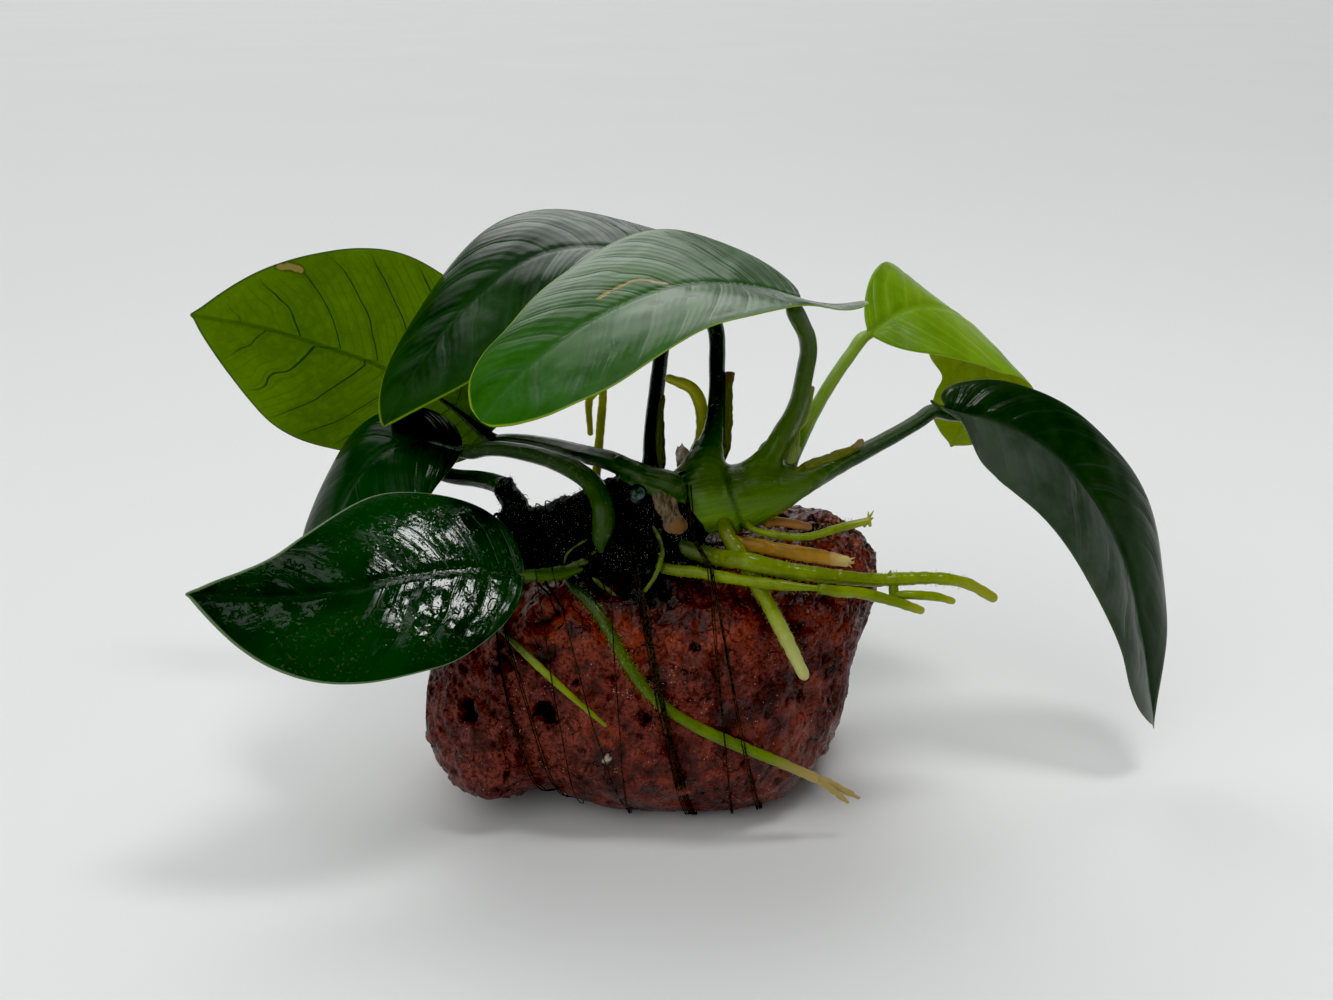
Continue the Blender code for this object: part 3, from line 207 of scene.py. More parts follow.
# ---------------------------------------------------------------- roots: (x, y, z, radius); on_stone ones lie on it
ROOTS = {
    "root_stout": ([(15, -14.0, 58.6, 1.5), (18.5, -17.5, 54.5, 1.5), (21, -21, 50.5, 1.5), (23.5, -24, 46.5, 1.45),
                    (26.5, -26, 41.5, 1.4), (29, -27.5, 36.0, 1.2)], True),
    "root_long": ([(-14.5, -18.5, 51, 1.3), (-11, -20, 48, 1.3), (-8, -22, 45, 1.25), (-6, -25, 39, 1.2),
                   (-3, -27, 34, 1.2), (1, -29, 30, 1.2), (6, -30, 27, 1.15), (13, -31, 24, 1.15), (20, -31, 21, 1.1),
                   (27, -30, 17, 1.0), (33, -28, 13.5, 0.9), (37.5, -28, 10.5, 0.7)], True),
    "root_far": ([(7, -15.2, 56.2, 1.6), (14, -18, 55.0, 1.7), (22, -20.5, 54.4, 1.6), (32, -20, 52.6, 1.5),
                  (43, -17.5, 50.4, 1.3), (52, -15.5, 49.9, 1.2), (60, -14.5, 49.0, 1.15), (67, -14, 45.2, 1.0)], False),
    "root_near": ([(2.5, -17.6, 53.4, 1.1), (9, -19.6, 52.9, 1.1), (16, -22.4, 52.6, 1.1), (24, -23.8, 52.2, 1.1),
                   (32, -23.4, 51.2, 1.0)], True),
    "root_fork_low": ([(35.2, -22.9, 50.4, 1.1), (40, -21.4, 49.4, 1.05), (46, -20.5, 47.5, 1.0), (52, -20, 45.2, 0.8)],
                      False),
    "root_fork_mid": ([(47, -18.7, 47.8, 0.95), (51, -17.9, 47.4, 0.9), (55, -17.3, 46.9, 0.85), (58.5, -17, 45.8, 0.7)],
                      False),
    "root_upper": ([(19.5, -12.2, 59.2, 1.2), (25, -14, 58.2, 1.15), (31, -14, 58.0, 1.1), (37.5, -13, 59.6, 1.1),
                    (42.2, -12, 60.4, 0.9)], False),
    "root_brown": ([(16.0, -11.0, 56.2, 1.1), (21.1, -12.0, 54.9, 1.2), (28.1, -12.5, 54.1, 1.25), (33.4, -12.5, 53.3, 1.2),
                    (38.2, -12.5, 52.2, 1.0)], True),
    "root_tan": ([(23.0, -4.6, 57.8, 1.0), (27, -3.6, 57.0, 0.95), (31.8, -3.0, 55.6, 0.7)], True),
    "root_thin": ([(-27.5, -23, 42, 0.7), (-24, -25, 39.5, 0.75), (-19, -28, 35.5, 0.7), (-14, -30, 31.5, 0.65),
                   (-8, -31, 26.5, 0.45)], True),
    "root_curl": ([(1.5, -15.9, 57.4, 0.7), (2.6, -18.2, 55.6, 0.7), (2.0, -19.8, 53.4, 0.65), (-0.5, -21.6, 50.0, 0.55)],
                  False),
    "root_hook": ([(8.6, 4.0, 66.4, 0.95), (10.0, 5.2, 69.5, 0.95), (10.8, 5.6, 74, 0.95), (10.4, 6.0, 78.0, 0.95),
                   (9.1, 6.3, 81.0, 0.95), (6.9, 6.4, 82.7, 0.9), (4.0, 6.6, 83.6, 0.75)], False),
    "root_air": ([(-10.6, -0.6, 62.6, 0.95), (-10.5, 4.0, 65.5, 0.95), (-10.2, 9.0, 70.0, 0.95), (-9.7, 12.0, 75.5, 0.9),
                  (-9.9, 14.0, 80.0, 0.9), (-11.5, 15.8, 80.3, 0.85), (-12.4, 16.6, 76.0, 0.8), (-12.4, 16.8, 69.0, 0.6)],
                 False),
}

# ---------------------------------------------------------------- thread loops: X where a loop meets the floor, its
# lean (X lost per mm of height) and the loop's radius; each loop is pulled tight in its own flat plane
THREADS = {
    "thread_1": (-20.0, 0.21, 0.30), "thread_2": (-16.2, 0.21, 0.30), "thread_3": (-14.3, 0.116, 0.30),
    "thread_4": (-4.5, 0.24, 0.32), "thread_5": (8.3, 0.205, 0.45), "thread_6": (16.3, 0.122, 0.32),
    "thread_7": (22.3, 0.192, 0.32)}
# what each loop passes over besides the stone
THREAD_OVER = ["rhizome", "stalk_front_left", "root_long", "root_near", "root_far", "root_thin",
               "root_curl", "root_stout"]



# ================================================================ curves
def unit(v):
    v = np.asarray(v, float)
    return v / np.maximum(np.linalg.norm(v, axis=-1, keepdims=True), 1e-12)


def hermite(knots, values, at):
    """Smooth curve through values (numbers or vectors) given at rising knots."""
    k = np.asarray(knots, float)
    v = np.asarray(values, float)
    at = np.clip(np.asarray(at, float), k[0], k[-1])
    flat = v.reshape(len(k), -1)
    slope = np.zeros_like(flat)
    d = np.diff(flat, axis=0) / np.diff(k)[:, None]
    slope[0], slope[-1] = d[0], d[-1]
    if len(k) > 2:
        h = np.diff(k)
        slope[1:-1] = (d[:-1] * h[1:, None] + d[1:] * h[:-1, None]) / (h[:-1] + h[1:])[:, None]
    i = np.clip(np.searchsorted(k, at, side="right") - 1, 0, len(k) - 2)
    h = k[i + 1] - k[i]
    u = ((at - k[i]) / h)[:, None]
    h = h[:, None]
    out = ((2 * u**3 - 3 * u**2 + 1) * flat[i] + (u**3 - 2 * u**2 + u) * h * slope[i]
           + (-2 * u**3 + 3 * u**2) * flat[i + 1] + (u**3 - u**2) * h * slope[i + 1])
    return out.reshape((len(at),) + v.shape[1:])


def curve_through(points, count):
    """Evenly spaced points on a smooth curve through the given ones, of any dimension, and its length."""
    p = np.asarray(points, float)
    chord = np.concatenate([[0], np.cumsum(np.maximum(np.linalg.norm(np.diff(p[:, :3], axis=0), axis=1), 1e-6) ** 0.5)])
    fine = hermite(chord, p, np.linspace(0, chord[-1], 600))
    run = np.concatenate([[0], np.cumsum(np.linalg.norm(np.diff(fine[:, :3], axis=0), axis=1))])
    at = np.linspace(0, run[-1], count)
    return np.stack([np.interp(at, run, fine[:, i]) for i in range(p.shape[1])], axis=1), run[-1]


# ================================================================ blades
def outline(lobe, wide, full, foot=1.0):
    """Half a blade's margin from the notch at its foot to the tip, as (share of length, share of half width).

    lobe is how far the foot reaches back behind the notch, wide is where the half is widest, full is how
    full it stays towards the tip, and foot is 1 for a round foot and more for a pointed one.
    """
    pts = [(0.0, 0.03)]
    for deg in (12, 26, 40, 55, 70, 90):
        a = math.radians(deg)
        y = math.sin(a) ** foot
        pts.append((wide * (1 - math.cos(a)) - lobe * (y / 0.45) * math.exp(1 - y / 0.45) * (1 - y ** 4), y))
    pts += [(wide + (1 - wide) * v, 1 - v ** full) for v in (0.22, 0.42, 0.60, 0.75, 0.87, 0.95)]
    return np.array(pts + [(0.992, 0.03), (1.0, 0.010)])


def smooth_along(rows, window):
    k = np.hanning(window)[1:-1]
    k = k / k.sum()
    side = len(k) // 2
    pad = np.concatenate([np.repeat(rows[:1], side, 0), rows, np.repeat(rows[-1:], side, 0)])
    return unit(np.stack([np.convolve(pad[:, i], k, "valid") for i in range(3)], 1))


class Blade:
    """A curved midrib with two halves that fold and curl; its side veins sweep forward to the margin."""

    def __init__(self, spec):
        self.spec = spec
        spine, self.length = curve_through(spec["spine"], 240)
        run = np.concatenate([[0], np.cumsum(np.linalg.norm(np.diff(spine, axis=0), axis=1))])
        knots = [0.0] + [run[np.argmin(np.linalg.norm(spine - np.array(q, float), axis=1))] / run[-1]
                         for q in spec["spine"][1:-1]] + [1.0]
        ahead = smooth_along(unit(np.gradient(spine, axis=0)), 83)
        up = smooth_along(unit(hermite(knots, unit(spec["up"]), run / run[-1])), 83)
        up = unit(up - (up * ahead).sum(1, keepdims=True) * ahead)
        # behind the foot the frame runs on backwards, turning by back_bend degrees each millimetre
        step = 0.30 * self.length / 60
        turn = math.radians(spec.get("back_bend", 0.0)) * step
        pos, t, u = spine[0].copy(), ahead[0].copy(), up[0].copy()
        rows = []
        for _ in range(60):
            c, s = math.cos(turn), math.sin(turn)
            t, u = unit(t * c + u * s), unit(u * c - t * s)
            pos = pos - t * step
            rows.append((pos.copy(), t.copy(), u.copy()))
        rows.reverse()
        self.x = np.concatenate([-(np.arange(60)[::-1] + 1) * step, run])
        self.pos = np.concatenate([np.array([r[0] for r in rows]), spine])
        self.ahead = np.concatenate([np.array([r[1] for r in rows]), ahead])
        self.up = np.concatenate([np.array([r[2] for r in rows]), up])
        self.edge = []
        for key, half in (("left", spec["half_left"]), ("right", spec["half_right"])):
            o = outline(*spec["out_" + key])
            trim = spec.get("trim_" + key)
            if trim:
                o[:, 1] *= hermite(np.linspace(0, 1, len(trim)), trim, np.clip(o[:, 0], 0, 1))
            self.edge.append(curve_through(np.stack([o[:, 0] * self.length, o[:, 1] * half, 0 * o[:, 0]], 1), 400)[0])

    def flat(self, t, s):
        """(x, y) on the flattened blade: t along the margin from foot to tip, s from -1, right, to 1, left."""
        t, s = np.asarray(t, float), np.asarray(s, float)
        share = np.linspace(0, 1, 400)
        left = s >= 0
        ex = np.where(left, np.interp(t, share, self.edge[0][:, 0]), np.interp(t, share, self.edge[1][:, 0]))
        ey = np.where(left, np.interp(t, share, self.edge[0][:, 1]), np.interp(t, share, self.edge[1][:, 1]))
        a = np.abs(s)
        mx = self.length * t ** 2.1
        qx, qy = mx + 0.34 * (ex - mx), 0.62 * ey
        b0, b1, b2 = (1 - a) ** 2, 2 * a * (1 - a), a * a
        return b0 * mx + b1 * qx + b2 * ex, (b1 * qy + b2 * ey) * np.where(left, 1, -1)

    def along(self, key, share):
        v = self.spec[key]
        if np.isscalar(v):
            return np.full(np.shape(share), float(v))
        return hermite(np.linspace(0, 1, len(v)), v, share)

    def bend(self, x, y):
        """The flattened blade's point (x, y) in space."""
        x, y = np.asarray(x, float), np.asarray(y, float)
        shape = x.shape
        x, y = x.ravel(), y.ravel()
        pos = np.stack([np.interp(x, self.x, self.pos[:, i]) for i in range(3)], 1)
        ahead = unit(np.stack([np.interp(x, self.x, self.ahead[:, i]) for i in range(3)], 1))
        up = np.stack([np.interp(x, self.x, self.up[:, i]) for i in range(3)], 1)
        up = unit(up - (up * ahead).sum(1, keepdims=True) * ahead)
        side = np.cross(up, ahead)
        share = np.clip(x / self.length, 0, 1)
        left = y >= 0
        a = np.abs(y)
        half = np.where(left, self.spec["half_left"], self.spec["half_right"])
        fold = np.radians(np.where(left, self.along("fold_left", share), self.along("fold_right", share)))
        curl = np.radians(np.where(left, self.along("curl_left", share), self.along("curl_right", share))) / half
        out_side, out_up = np.zeros_like(a), np.zeros_like(a)
        for i in range(12):
            ang = fold + curl * (i + 0.5) * a / 12
            out_side += np.cos(ang) * a / 12
            out_up += np.sin(ang) * a / 12
        amp, count, phase = self.spec["wave"]
        out_up += amp * (a / half) ** 2 * np.sin(2 * np.pi * (count * share + phase) + np.where(left, 0.0, 1.9))
        out = pos + side * (np.where(left, 1, -1) * out_side)[:, None] + up * out_up[:, None]
        return out.reshape(shape + (3,))

    def normal(self, x, y):
        e = 0.05
        return unit(np.cross(self.bend(x + e, y) - self.bend(x - e, y), self.bend(x, y + e) - self.bend(x, y - e)))


def frames(path):
    """Two directions square to the path at each point, carried along without twist."""
    p = np.asarray(path, float)
    t = unit(np.gradient(p, axis=0))
    first = np.array([0.0, 0.0, 1.0]) if abs(t[0][2]) < 0.8 else np.array([0.0, 1.0, 0.0])
    u = [unit(first - first @ t[0] * t[0])]
    for i in range(1, len(p)):
        v = u[-1] - u[-1] @ t[i] * t[i]
        u.append(unit(v))
    u = np.array(u)
    return t, u, np.cross(t, u)


# ================================================================ the stone
def stone_level(p):
    """Above 1 outside the stone, below 1 inside."""
    q = p - STONE_MID
    f = np.zeros(q.shape[:-1])
    for n, h in STONE_FACES:
        f = f + np.maximum(q @ unit(n) / h, 0) ** STONE_SHARP
    f = f ** (1 / STONE_SHARP)
    for c, r, a in STONE_LUMPS:
        f = f - a / 32.0 * np.exp(-((p - np.array(c, float)) ** 2).sum(-1) / r ** 2)
    return f


def solve(inside, outside, level, rounds=36):
    for _ in range(rounds):
        mid = (inside + outside) / 2
        out = level(mid) > 1
        outside = np.where(out[..., None], mid, outside)
        inside = np.where(out[..., None], inside, mid)
    return (inside + outside) / 2


def stone_core(x):
    """A line through the stone from end to end, which climbs to the shoulder at the right; rays start on it."""
    v = np.clip((np.asarray(x, float) - 6.0) / 36.0, 0, 1)
    return np.stack([x, np.full_like(v, 1.0), 24.0 + 18.0 * v * v * (3 - 2 * v)], -1)


def stone_ends():
    near, far = np.array([-20.0, 20.0]), np.array([-70.0, 70.0])
    for _ in range(40):
        mid = (near + far) / 2
        out = stone_level(stone_core(mid)) > 1
        far, near = np.where(out, mid, far), np.where(out, near, mid)
    e = stone_core((near + far) / 2)
    return e[0], e[1]


def stone_rings(stations, around):
    """Points on the stone at each X station and turn angle, from the front upwards; the underside is flat."""
    xx, aa = np.meshgrid(np.asarray(stations, float), np.asarray(around, float), indexing="ij")
    inside = stone_core(xx)
    way = np.stack([np.zeros_like(xx), -np.cos(aa), np.sin(aa)], -1)
    p = solve(inside, inside + 60 * way, stone_level)
    floor = np.zeros_like(xx)
    for a, b, d in LANES:
        floor = np.where((xx > a - 0.001) & (xx < b + 0.001), d, floor)
    low = p[..., 2] < floor
    k = (inside[..., 2] - floor) / np.maximum(inside[..., 2] - p[..., 2], 1e-9)
    return np.where(low[..., None], inside + (p - inside) * k[..., None], p)


def off_stone(path, radii, air):
    """Slide a path outwards until a rod of these radii lies on the stone with this much air under it."""
    p = np.asarray(path, float).copy()
    need = np.asarray(radii, float) + air
    for _ in range(3):
        f = stone_level(p)
        g = np.stack([(stone_level(p + d) - stone_level(p - d)) / 0.4 for d in np.eye(3) * 0.2], -1)
        size = np.linalg.norm(g, axis=-1)
        dist = (f - 1) / size
        short = np.maximum(need - dist, 0)
        p = p + unit(g) * short[:, None]
    q = p.copy()
    q[1:-1] = (p[:-2] + 2 * p[1:-1] + p[2:]) / 4
    return q


# ================================================================ thread
def hull(points):
    """Corners of the smallest convex outline round 2-D points, in order."""
    pts = sorted(map(tuple, points))
    def half(seq):
        out = []
        for p in seq:
            while len(out) > 1 and ((out[-1][0] - out[-2][0]) * (p[1] - out[-2][1])
                                    - (out[-1][1] - out[-2][1]) * (p[0] - out[-2][0])) <= 0:
                out.pop()
            out.append(p)
        return out
    a, b = half(pts), half(reversed(pts))
    return np.array(a[:-1] + b[:-1])


def loop_path(start, lean, radius, cloud, count):
    """A tight loop in the plane X = start - lean * Z round every surface point near that plane."""
    near = np.abs(cloud[:, 0] - (start - lean * cloud[:, 2])) < 0.9 + radius
    ring = cloud[near][:, 1:]
    reach = radius + THREAD_AIR
    ang = np.linspace(0, 2 * np.pi, 16, endpoint=False)
    fat = (ring[:, None] + reach * np.stack([np.cos(ang), np.sin(ang)], -1)[None]).reshape(-1, 2)
    h = hull(fat)
    h = np.concatenate([h, h[:1]])
    # more points where the loop turns, fewer on its straight stretches
    seg = np.linalg.norm(np.diff(h, axis=0), axis=1)
    run = np.concatenate([[0], np.cumsum(seg)])
    fine = np.linspace(0, run[-1], 721)[:-1]
    pos = np.stack([np.interp(fine, run, h[:, i]) for i in range(2)], -1)
    way = np.unwrap(np.arctan2(*(np.roll(pos, -6, 0) - np.roll(pos, 6, 0)).T[::-1]))
    turn = np.abs(np.diff(np.concatenate([way, [way[0] + 2 * np.pi * np.sign(way[-1] - way[0])]])))
    cost = np.concatenate([[0], np.cumsum(turn / turn.sum() * 0.62 + 0.38 / len(turn))])
    pick = np.interp(np.linspace(0, 1, count + 1)[:-1], cost, np.arange(721))
    yz = np.stack([np.interp(pick, np.arange(721), np.concatenate([pos[:, i], pos[:1, i]])) for i in range(2)], -1)
    return np.stack([start - lean * yz[:, 1], yz[:, 0], yz[:, 1]], -1)


def slide_clear(path, radii, rods, air, on_stone):
    """Slide a path sideways until its rod is clear of the given rods, and off the stone when it lies on it."""
    p = path.copy()
    for _ in range(20):
        for q, r in rods:
            apart = p[:, None] - q[None]
            dist = np.linalg.norm(apart, axis=2) - r[None]
            near = dist.argmin(1)
            rows = np.arange(len(p))
            short = np.maximum(radii + air - dist[rows, near], 0)
            p = p + unit(apart[rows, near]) * short[:, None]
        if on_stone:
            p = off_stone(p, radii, air + 0.1)
    return p


def dense(points, count):
    q, _ = curve_through(points, count)
    return q[:, :3], q[:, 3]


def laid(points, count, clear=(), on_stone=False):
    """A rod's path and radii, kept clear of other rods (paths with radii)."""
    path, radii = dense(points, 3 * count - 2)
    if len(clear) or on_stone:
        path = slide_clear(path, radii, clear, GAP + 0.4, on_stone)
    return path[::3], radii[::3]


def surface_cloud(path, radii):
    """Dense points on a rod's skin."""
    n = 40
    run = np.linspace(0, len(path) - 1, n * 4)
    p = np.stack([np.interp(run, np.arange(len(path)), path[:, i]) for i in range(3)], 1)
    r = np.interp(run, np.arange(len(path)), radii)
    _, u, v = frames(p)
    ang = np.linspace(0, 2 * np.pi, 24, endpoint=False)
    return (p[:, None] + r[:, None, None] * (np.cos(ang)[None, :, None] * u[:, None]
                                             + np.sin(ang)[None, :, None] * v[:, None])).reshape(-1, 3)


# ================================================================ smooth noise
def value_noise(p, seed=0):
    """Smooth noise between -1 and 1 at 3-D points, one cell to a unit."""
    p = np.asarray(p, float)
    i = np.floor(p).astype(np.int64)
    f = p - i
    f = f * f * f * (f * (f * 6 - 15) + 10)

    def corner(dx, dy, dz):
        h = (i[..., 0] + dx) * 374761393 + (i[..., 1] + dy) * 668265263 + (i[..., 2] + dz) * 2147483647 + seed * 974711
        h = (h ^ (h >> 13)) * 1274126177
        h = h ^ (h >> 16)
        return (h & 0xFFFF) / 32767.5 - 1.0
    out = 0
    for dx in (0, 1):
        for dy in (0, 1):
            for dz in (0, 1):
                w = (f[..., 0] if dx else 1 - f[..., 0]) * (f[..., 1] if dy else 1 - f[..., 1]) * (f[..., 2] if dz else 1 - f[..., 2])
                out = out + w * corner(dx, dy, dz)
    return out


def fractal(p, octaves, seed=0, gain=0.5):
    out, amp = 0, 1.0
    for k in range(octaves):
        out = out + amp * value_noise(np.asarray(p) * 2 ** k + 17.3 * k, seed + k)
        amp *= gain
    return out


def cells(p, seed=0, jitter=0.9):
    """Distance from each 3-D point to the nearest of one scattered point per unit cell, and that point's number."""
    p = np.asarray(p, float)
    i = np.floor(p).astype(np.int64)
    best = np.full(p.shape[:-1], 9.0)
    tag = np.zeros(p.shape[:-1])
    for dx in (-1, 0, 1):
        for dy in (-1, 0, 1):
            for dz in (-1, 0, 1):
                c = i + np.array([dx, dy, dz])
                h = c[..., 0] * 73856093 ^ c[..., 1] * 19349663 ^ c[..., 2] * 83492791 ^ (seed * 2654435)
                r = []
                for k in range(4):
                    h = (h ^ (h >> 15)) * 2246822519 & 0x7FFFFFFF
                    h = h ^ (h >> 13)
                    r.append((h & 0xFFFF) / 65535.0)
                q = c + 0.5 + jitter * (np.stack(r[:3], -1) - 0.5)
                d = np.linalg.norm(p - q, axis=-1)
                near = d < best
                best = np.where(near, d, best)
                tag = np.where(near, r[3], tag)
    return best, tag


# ================================================================ pieces
def to_object(name, verts, faces, nodes=(), smooth=True, attrs=None):
    mesh = bpy.data.meshes.new(name)
    verts = np.asarray(verts, float) * MM
    if isinstance(faces, np.ndarray):
        faces = faces.tolist()
    mesh.from_pydata(verts.tolist(), [], faces)
    mesh.validate(clean_customdata=False)
    for key, values in (attrs or {}).items():
        values = np.asarray(values, np.float32)
        if values.ndim == 2:
            a = mesh.attributes.new(key, "FLOAT_VECTOR", "POINT")
            a.data.foreach_set("vector", values.ravel())
        else:
            a = mesh.attributes.new(key, "FLOAT", "POINT")
            a.data.foreach_set("value", values)
    if smooth:
        mesh.shade_smooth()
    obj = bpy.data.objects.new(name, mesh)
    bpy.context.scene.collection.objects.link(obj)
    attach(obj, "root")
    if nodes:
        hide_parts(*nodes)
    return obj


def clean_faces(faces):
    """Quads as lists, with a triangle where the fourth corner is -1."""
    return [list(map(int, f[:3])) if f[3] < 0 else list(map(int, f)) for f in faces]


def join_solids(solids):
    """Several (verts, faces, attribute dict) solids as one."""
    verts, faces, attrs, base = [], [], {}, 0
    for v, f, a in solids:
        verts.append(np.asarray(v, float))
        rows = clean_faces(f) if isinstance(f, np.ndarray) and f.shape[1] == 4 else [list(map(int, r)) for r in f]
        faces.extend([[k + base for k in r] for r in rows])
        for key, val in a.items():
            attrs.setdefault(key, []).append(np.asarray(val, float))
        base += len(v)
    return np.concatenate(verts), faces, {k: np.concatenate(v) for k, v in attrs.items()}


def tube(path, radii, sides, closed=False, squash=None, bumps=None, tip=1.0, tail=1.0, frame=None):
    """A tube as quads, ends closed by shrinking rings.

    Returns verts, faces and a dict of what each point knows: its share of the length, its run in mm, and the
    cosine and sine of its place round the tube. bumps(share, angle, centre, way) is a radial share to add.
    """
    p, r = np.asarray(path, float), np.asarray(radii, float)
    run = np.concatenate([[0], np.cumsum(np.linalg.norm(np.diff(p, axis=0), axis=1))])
    if not closed:
        t = unit(np.gradient(p, axis=0))
        ends = [(math.cos(a), math.sin(a)) for a in np.radians([12, 35, 60, 82])]
        head = np.array([p[0] - t[0] * r[0] * s * tail for c, s in reversed(ends)])
        foot = np.array([p[-1] + t[-1] * r[-1] * s * tip for c, s in ends])
        hr = np.array([r[0] * c for c, s in reversed(ends)])
        fr = np.array([r[-1] * c for c, s in ends])
        share = np.concatenate([np.zeros(4), run / run[-1], np.ones(4)])
        run = np.concatenate([np.zeros(4), run, np.full(4, run[-1])])
        if frame is None:
            _, u, v = frames(p)
        else:
            u, v = frame
        u = np.concatenate([np.repeat(u[:1], 4, 0), u, np.repeat(u[-1:], 4, 0)])
        v = np.concatenate([np.repeat(v[:1], 4, 0), v, np.repeat(v[-1:], 4, 0)])
        p = np.concatenate([head, p, foot])
        r = np.concatenate([hr, r, fr])
    else:
        t = unit(np.roll(p, -1, 0) - np.roll(p, 1, 0))
        first = np.array([1.0, 0, 0])
        u = unit(first[None] - (t @ first)[:, None] * t)
        v = np.cross(t, u)
        share = np.linspace(0, 1, len(p))
    n = len(p)
    ang = np.linspace(0, 2 * np.pi, sides, endpoint=False)
    ca, sa = np.cos(ang)[None, :, None], np.sin(ang)[None, :, None]
    way = ca * u[:, None] + sa * v[:, None]
    rr = np.repeat(r[:, None], sides, 1)
    if bumps is not None:
        rr = rr * (1 + bumps(share[:, None], ang[None, :], p[:, None] + 0 * way, way))
    if squash is not None:
        way = ca * squash[0] * u[:, None] + sa * squash[1] * v[:, None]
    ring = p[:, None] + rr[..., None] * way
    verts = ring.reshape(-1, 3)
    i = np.arange(n if closed else n - 1)
    j = np.arange(sides)
    a = (i[:, None] * sides + j[None]).ravel()
    b = (i[:, None] * sides + (j[None] + 1) % sides).ravel()
    c = (((i[:, None] + 1) % n) * sides + (j[None] + 1) % sides).ravel()
    d = (((i[:, None] + 1) % n) * sides + j[None]).ravel()
    faces = np.stack([a, b, c, d], 1)
    al, rn = np.repeat(share, sides), np.repeat(run, sides)
    co, si = np.tile(np.cos(ang), n), np.tile(np.sin(ang), n)
    if not closed:
        verts = np.concatenate([verts, p[:1], p[-1:]])
        al, rn = np.concatenate([al, [0, 1]]), np.concatenate([rn, [0, run[-1]]])
        co, si = np.concatenate([co, [0, 0]]), np.concatenate([si, [0, 0]])
        k0, k1 = n * sides, n * sides + 1
        fan0 = np.stack([np.full(sides, k0), (j + 1) % sides, j, np.full(sides, -1)], 1)
        fan1 = np.stack([np.full(sides, k1), (n - 1) * sides + j, (n - 1) * sides + (j + 1) % sides, np.full(sides, -1)], 1)
        faces = np.concatenate([faces, fan0, fan1])
    return verts, faces, {"along": al, "run": rn, "ca": co, "sa": si}


def fine_tube(path, radii, step, sides, **kw):
    rows = max(8, int(curve_through(path, 60)[1] / step))
    q, _ = curve_through(np.column_stack([path, radii]), rows)
    return tube(q[:, :3], q[:, 3], sides, **kw)


def fibres(roots, ways, lengths, radii, curl, rng, rows=6, sides=3, keep=None, pull=None):
    """Many thin closed tubes in one mesh, each starting at a root and wandering off along its way."""
    n = len(roots)
    p, d = np.asarray(roots, float).copy(), unit(ways)
    step = (np.asarray(lengths, float) / (rows - 1))[:, None]
    path = [p.copy()]
    spin = unit(rng.normal(size=(n, 3)))
    for _ in range(rows - 1):
        d = unit(d + curl * (0.6 * np.cross(spin, d) + 0.7 * rng.normal(size=(n, 3))))
        if pull is not None:
            d = unit(d + pull)
        p = p + d * step
        if keep is not None:
            p = keep(p)
        path.append(p.copy())
    path = np.stack(path, 1)                                   # n, rows, 3
    t = unit(np.gradient(path, axis=1))
    ref = unit(np.cross(t[:, :1], rng.normal(size=(n, 1, 3))))
    u = unit(np.cross(t, np.cross(ref, t)))
    v = np.cross(t, u)
    taper = np.interp(np.linspace(0, 1, rows), [0, 0.6, 1.0], [1.0, 0.85, 0.25])
    ang = np.linspace(0, 2 * np.pi, sides, endpoint=False)
    ring = path[:, :, None] + (np.asarray(radii, float)[:, None] * taper[None])[:, :, None, None] * (
        np.cos(ang)[None, None, :, None] * u[:, :, None] + np.sin(ang)[None, None, :, None] * v[:, :, None])
    verts = ring.reshape(-1, 3)
    base = (np.arange(n) * rows * sides)[:, None, None]
    i, j = np.arange(rows - 1)[None, :, None], np.arange(sides)[None, None, :]
    k = (j + 1) % sides
    q = np.stack([(base + i * sides + j), (base + i * sides + k), (base + (i + 1) * sides + k), (base + (i + 1) * sides + j)], -1).reshape(-1, 4)
    faces = q.tolist()
    for a in range(n):
        b = a * rows * sides
        faces.append([b + m for m in reversed(range(sides))])
        faces.append([b + (rows - 1) * sides + m for m in range(sides)])
    share = np.tile(np.repeat(np.linspace(0, 1, rows), sides), n)
    tag = np.repeat(rng.random(n), rows * sides)
    return verts, faces, {"along": share, "tag": tag}


def grains(points, sizes, rng):
    """Small rough grains, each a squashed octahedron."""
    n = len(points)
    shape = np.array([[1, 0, 0], [-1, 0, 0], [0, 1, 0], [0, -1, 0], [0, 0, 1], [0, 0, -1]], float)
    tri = np.array([[0, 2, 4], [2, 1, 4], [1, 3, 4], [3, 0, 4], [2, 0, 5], [1, 2, 5], [3, 1, 5], [0, 3, 5]])
    turn = np.linalg.qr(rng.normal(size=(n, 3, 3)))[0]
    flip = np.linalg.det(turn) < 0
    turn[flip, 0] *= -1
    body = shape[None] * rng.uniform(0.6, 1.2, size=(n, 6, 1)) * np.asarray(sizes, float)[:, None, None]
    verts = (points[:, None] + body @ turn).reshape(-1, 3)
    faces = (tri[None] + (np.arange(n) * 6)[:, None, None]).reshape(-1, 3).tolist()
    return verts, faces, {"tag": np.repeat(rng.random(n), 6)}


def turn_outward(obj):
    bm = bmesh.new()
    bm.from_mesh(obj.data)
    bmesh.ops.recalc_face_normals(bm, faces=bm.faces)
    bm.to_mesh(obj.data)
    bm.free()


def hash_name(name):
    return sum(ord(c) * (i + 1) for i, c in enumerate(name)) % 17


def smoothstep(x, lo, hi):
    v = np.clip((np.asarray(x, float) - lo) / (hi - lo), 0, 1)
    return v * v * (3 - 2 * v)


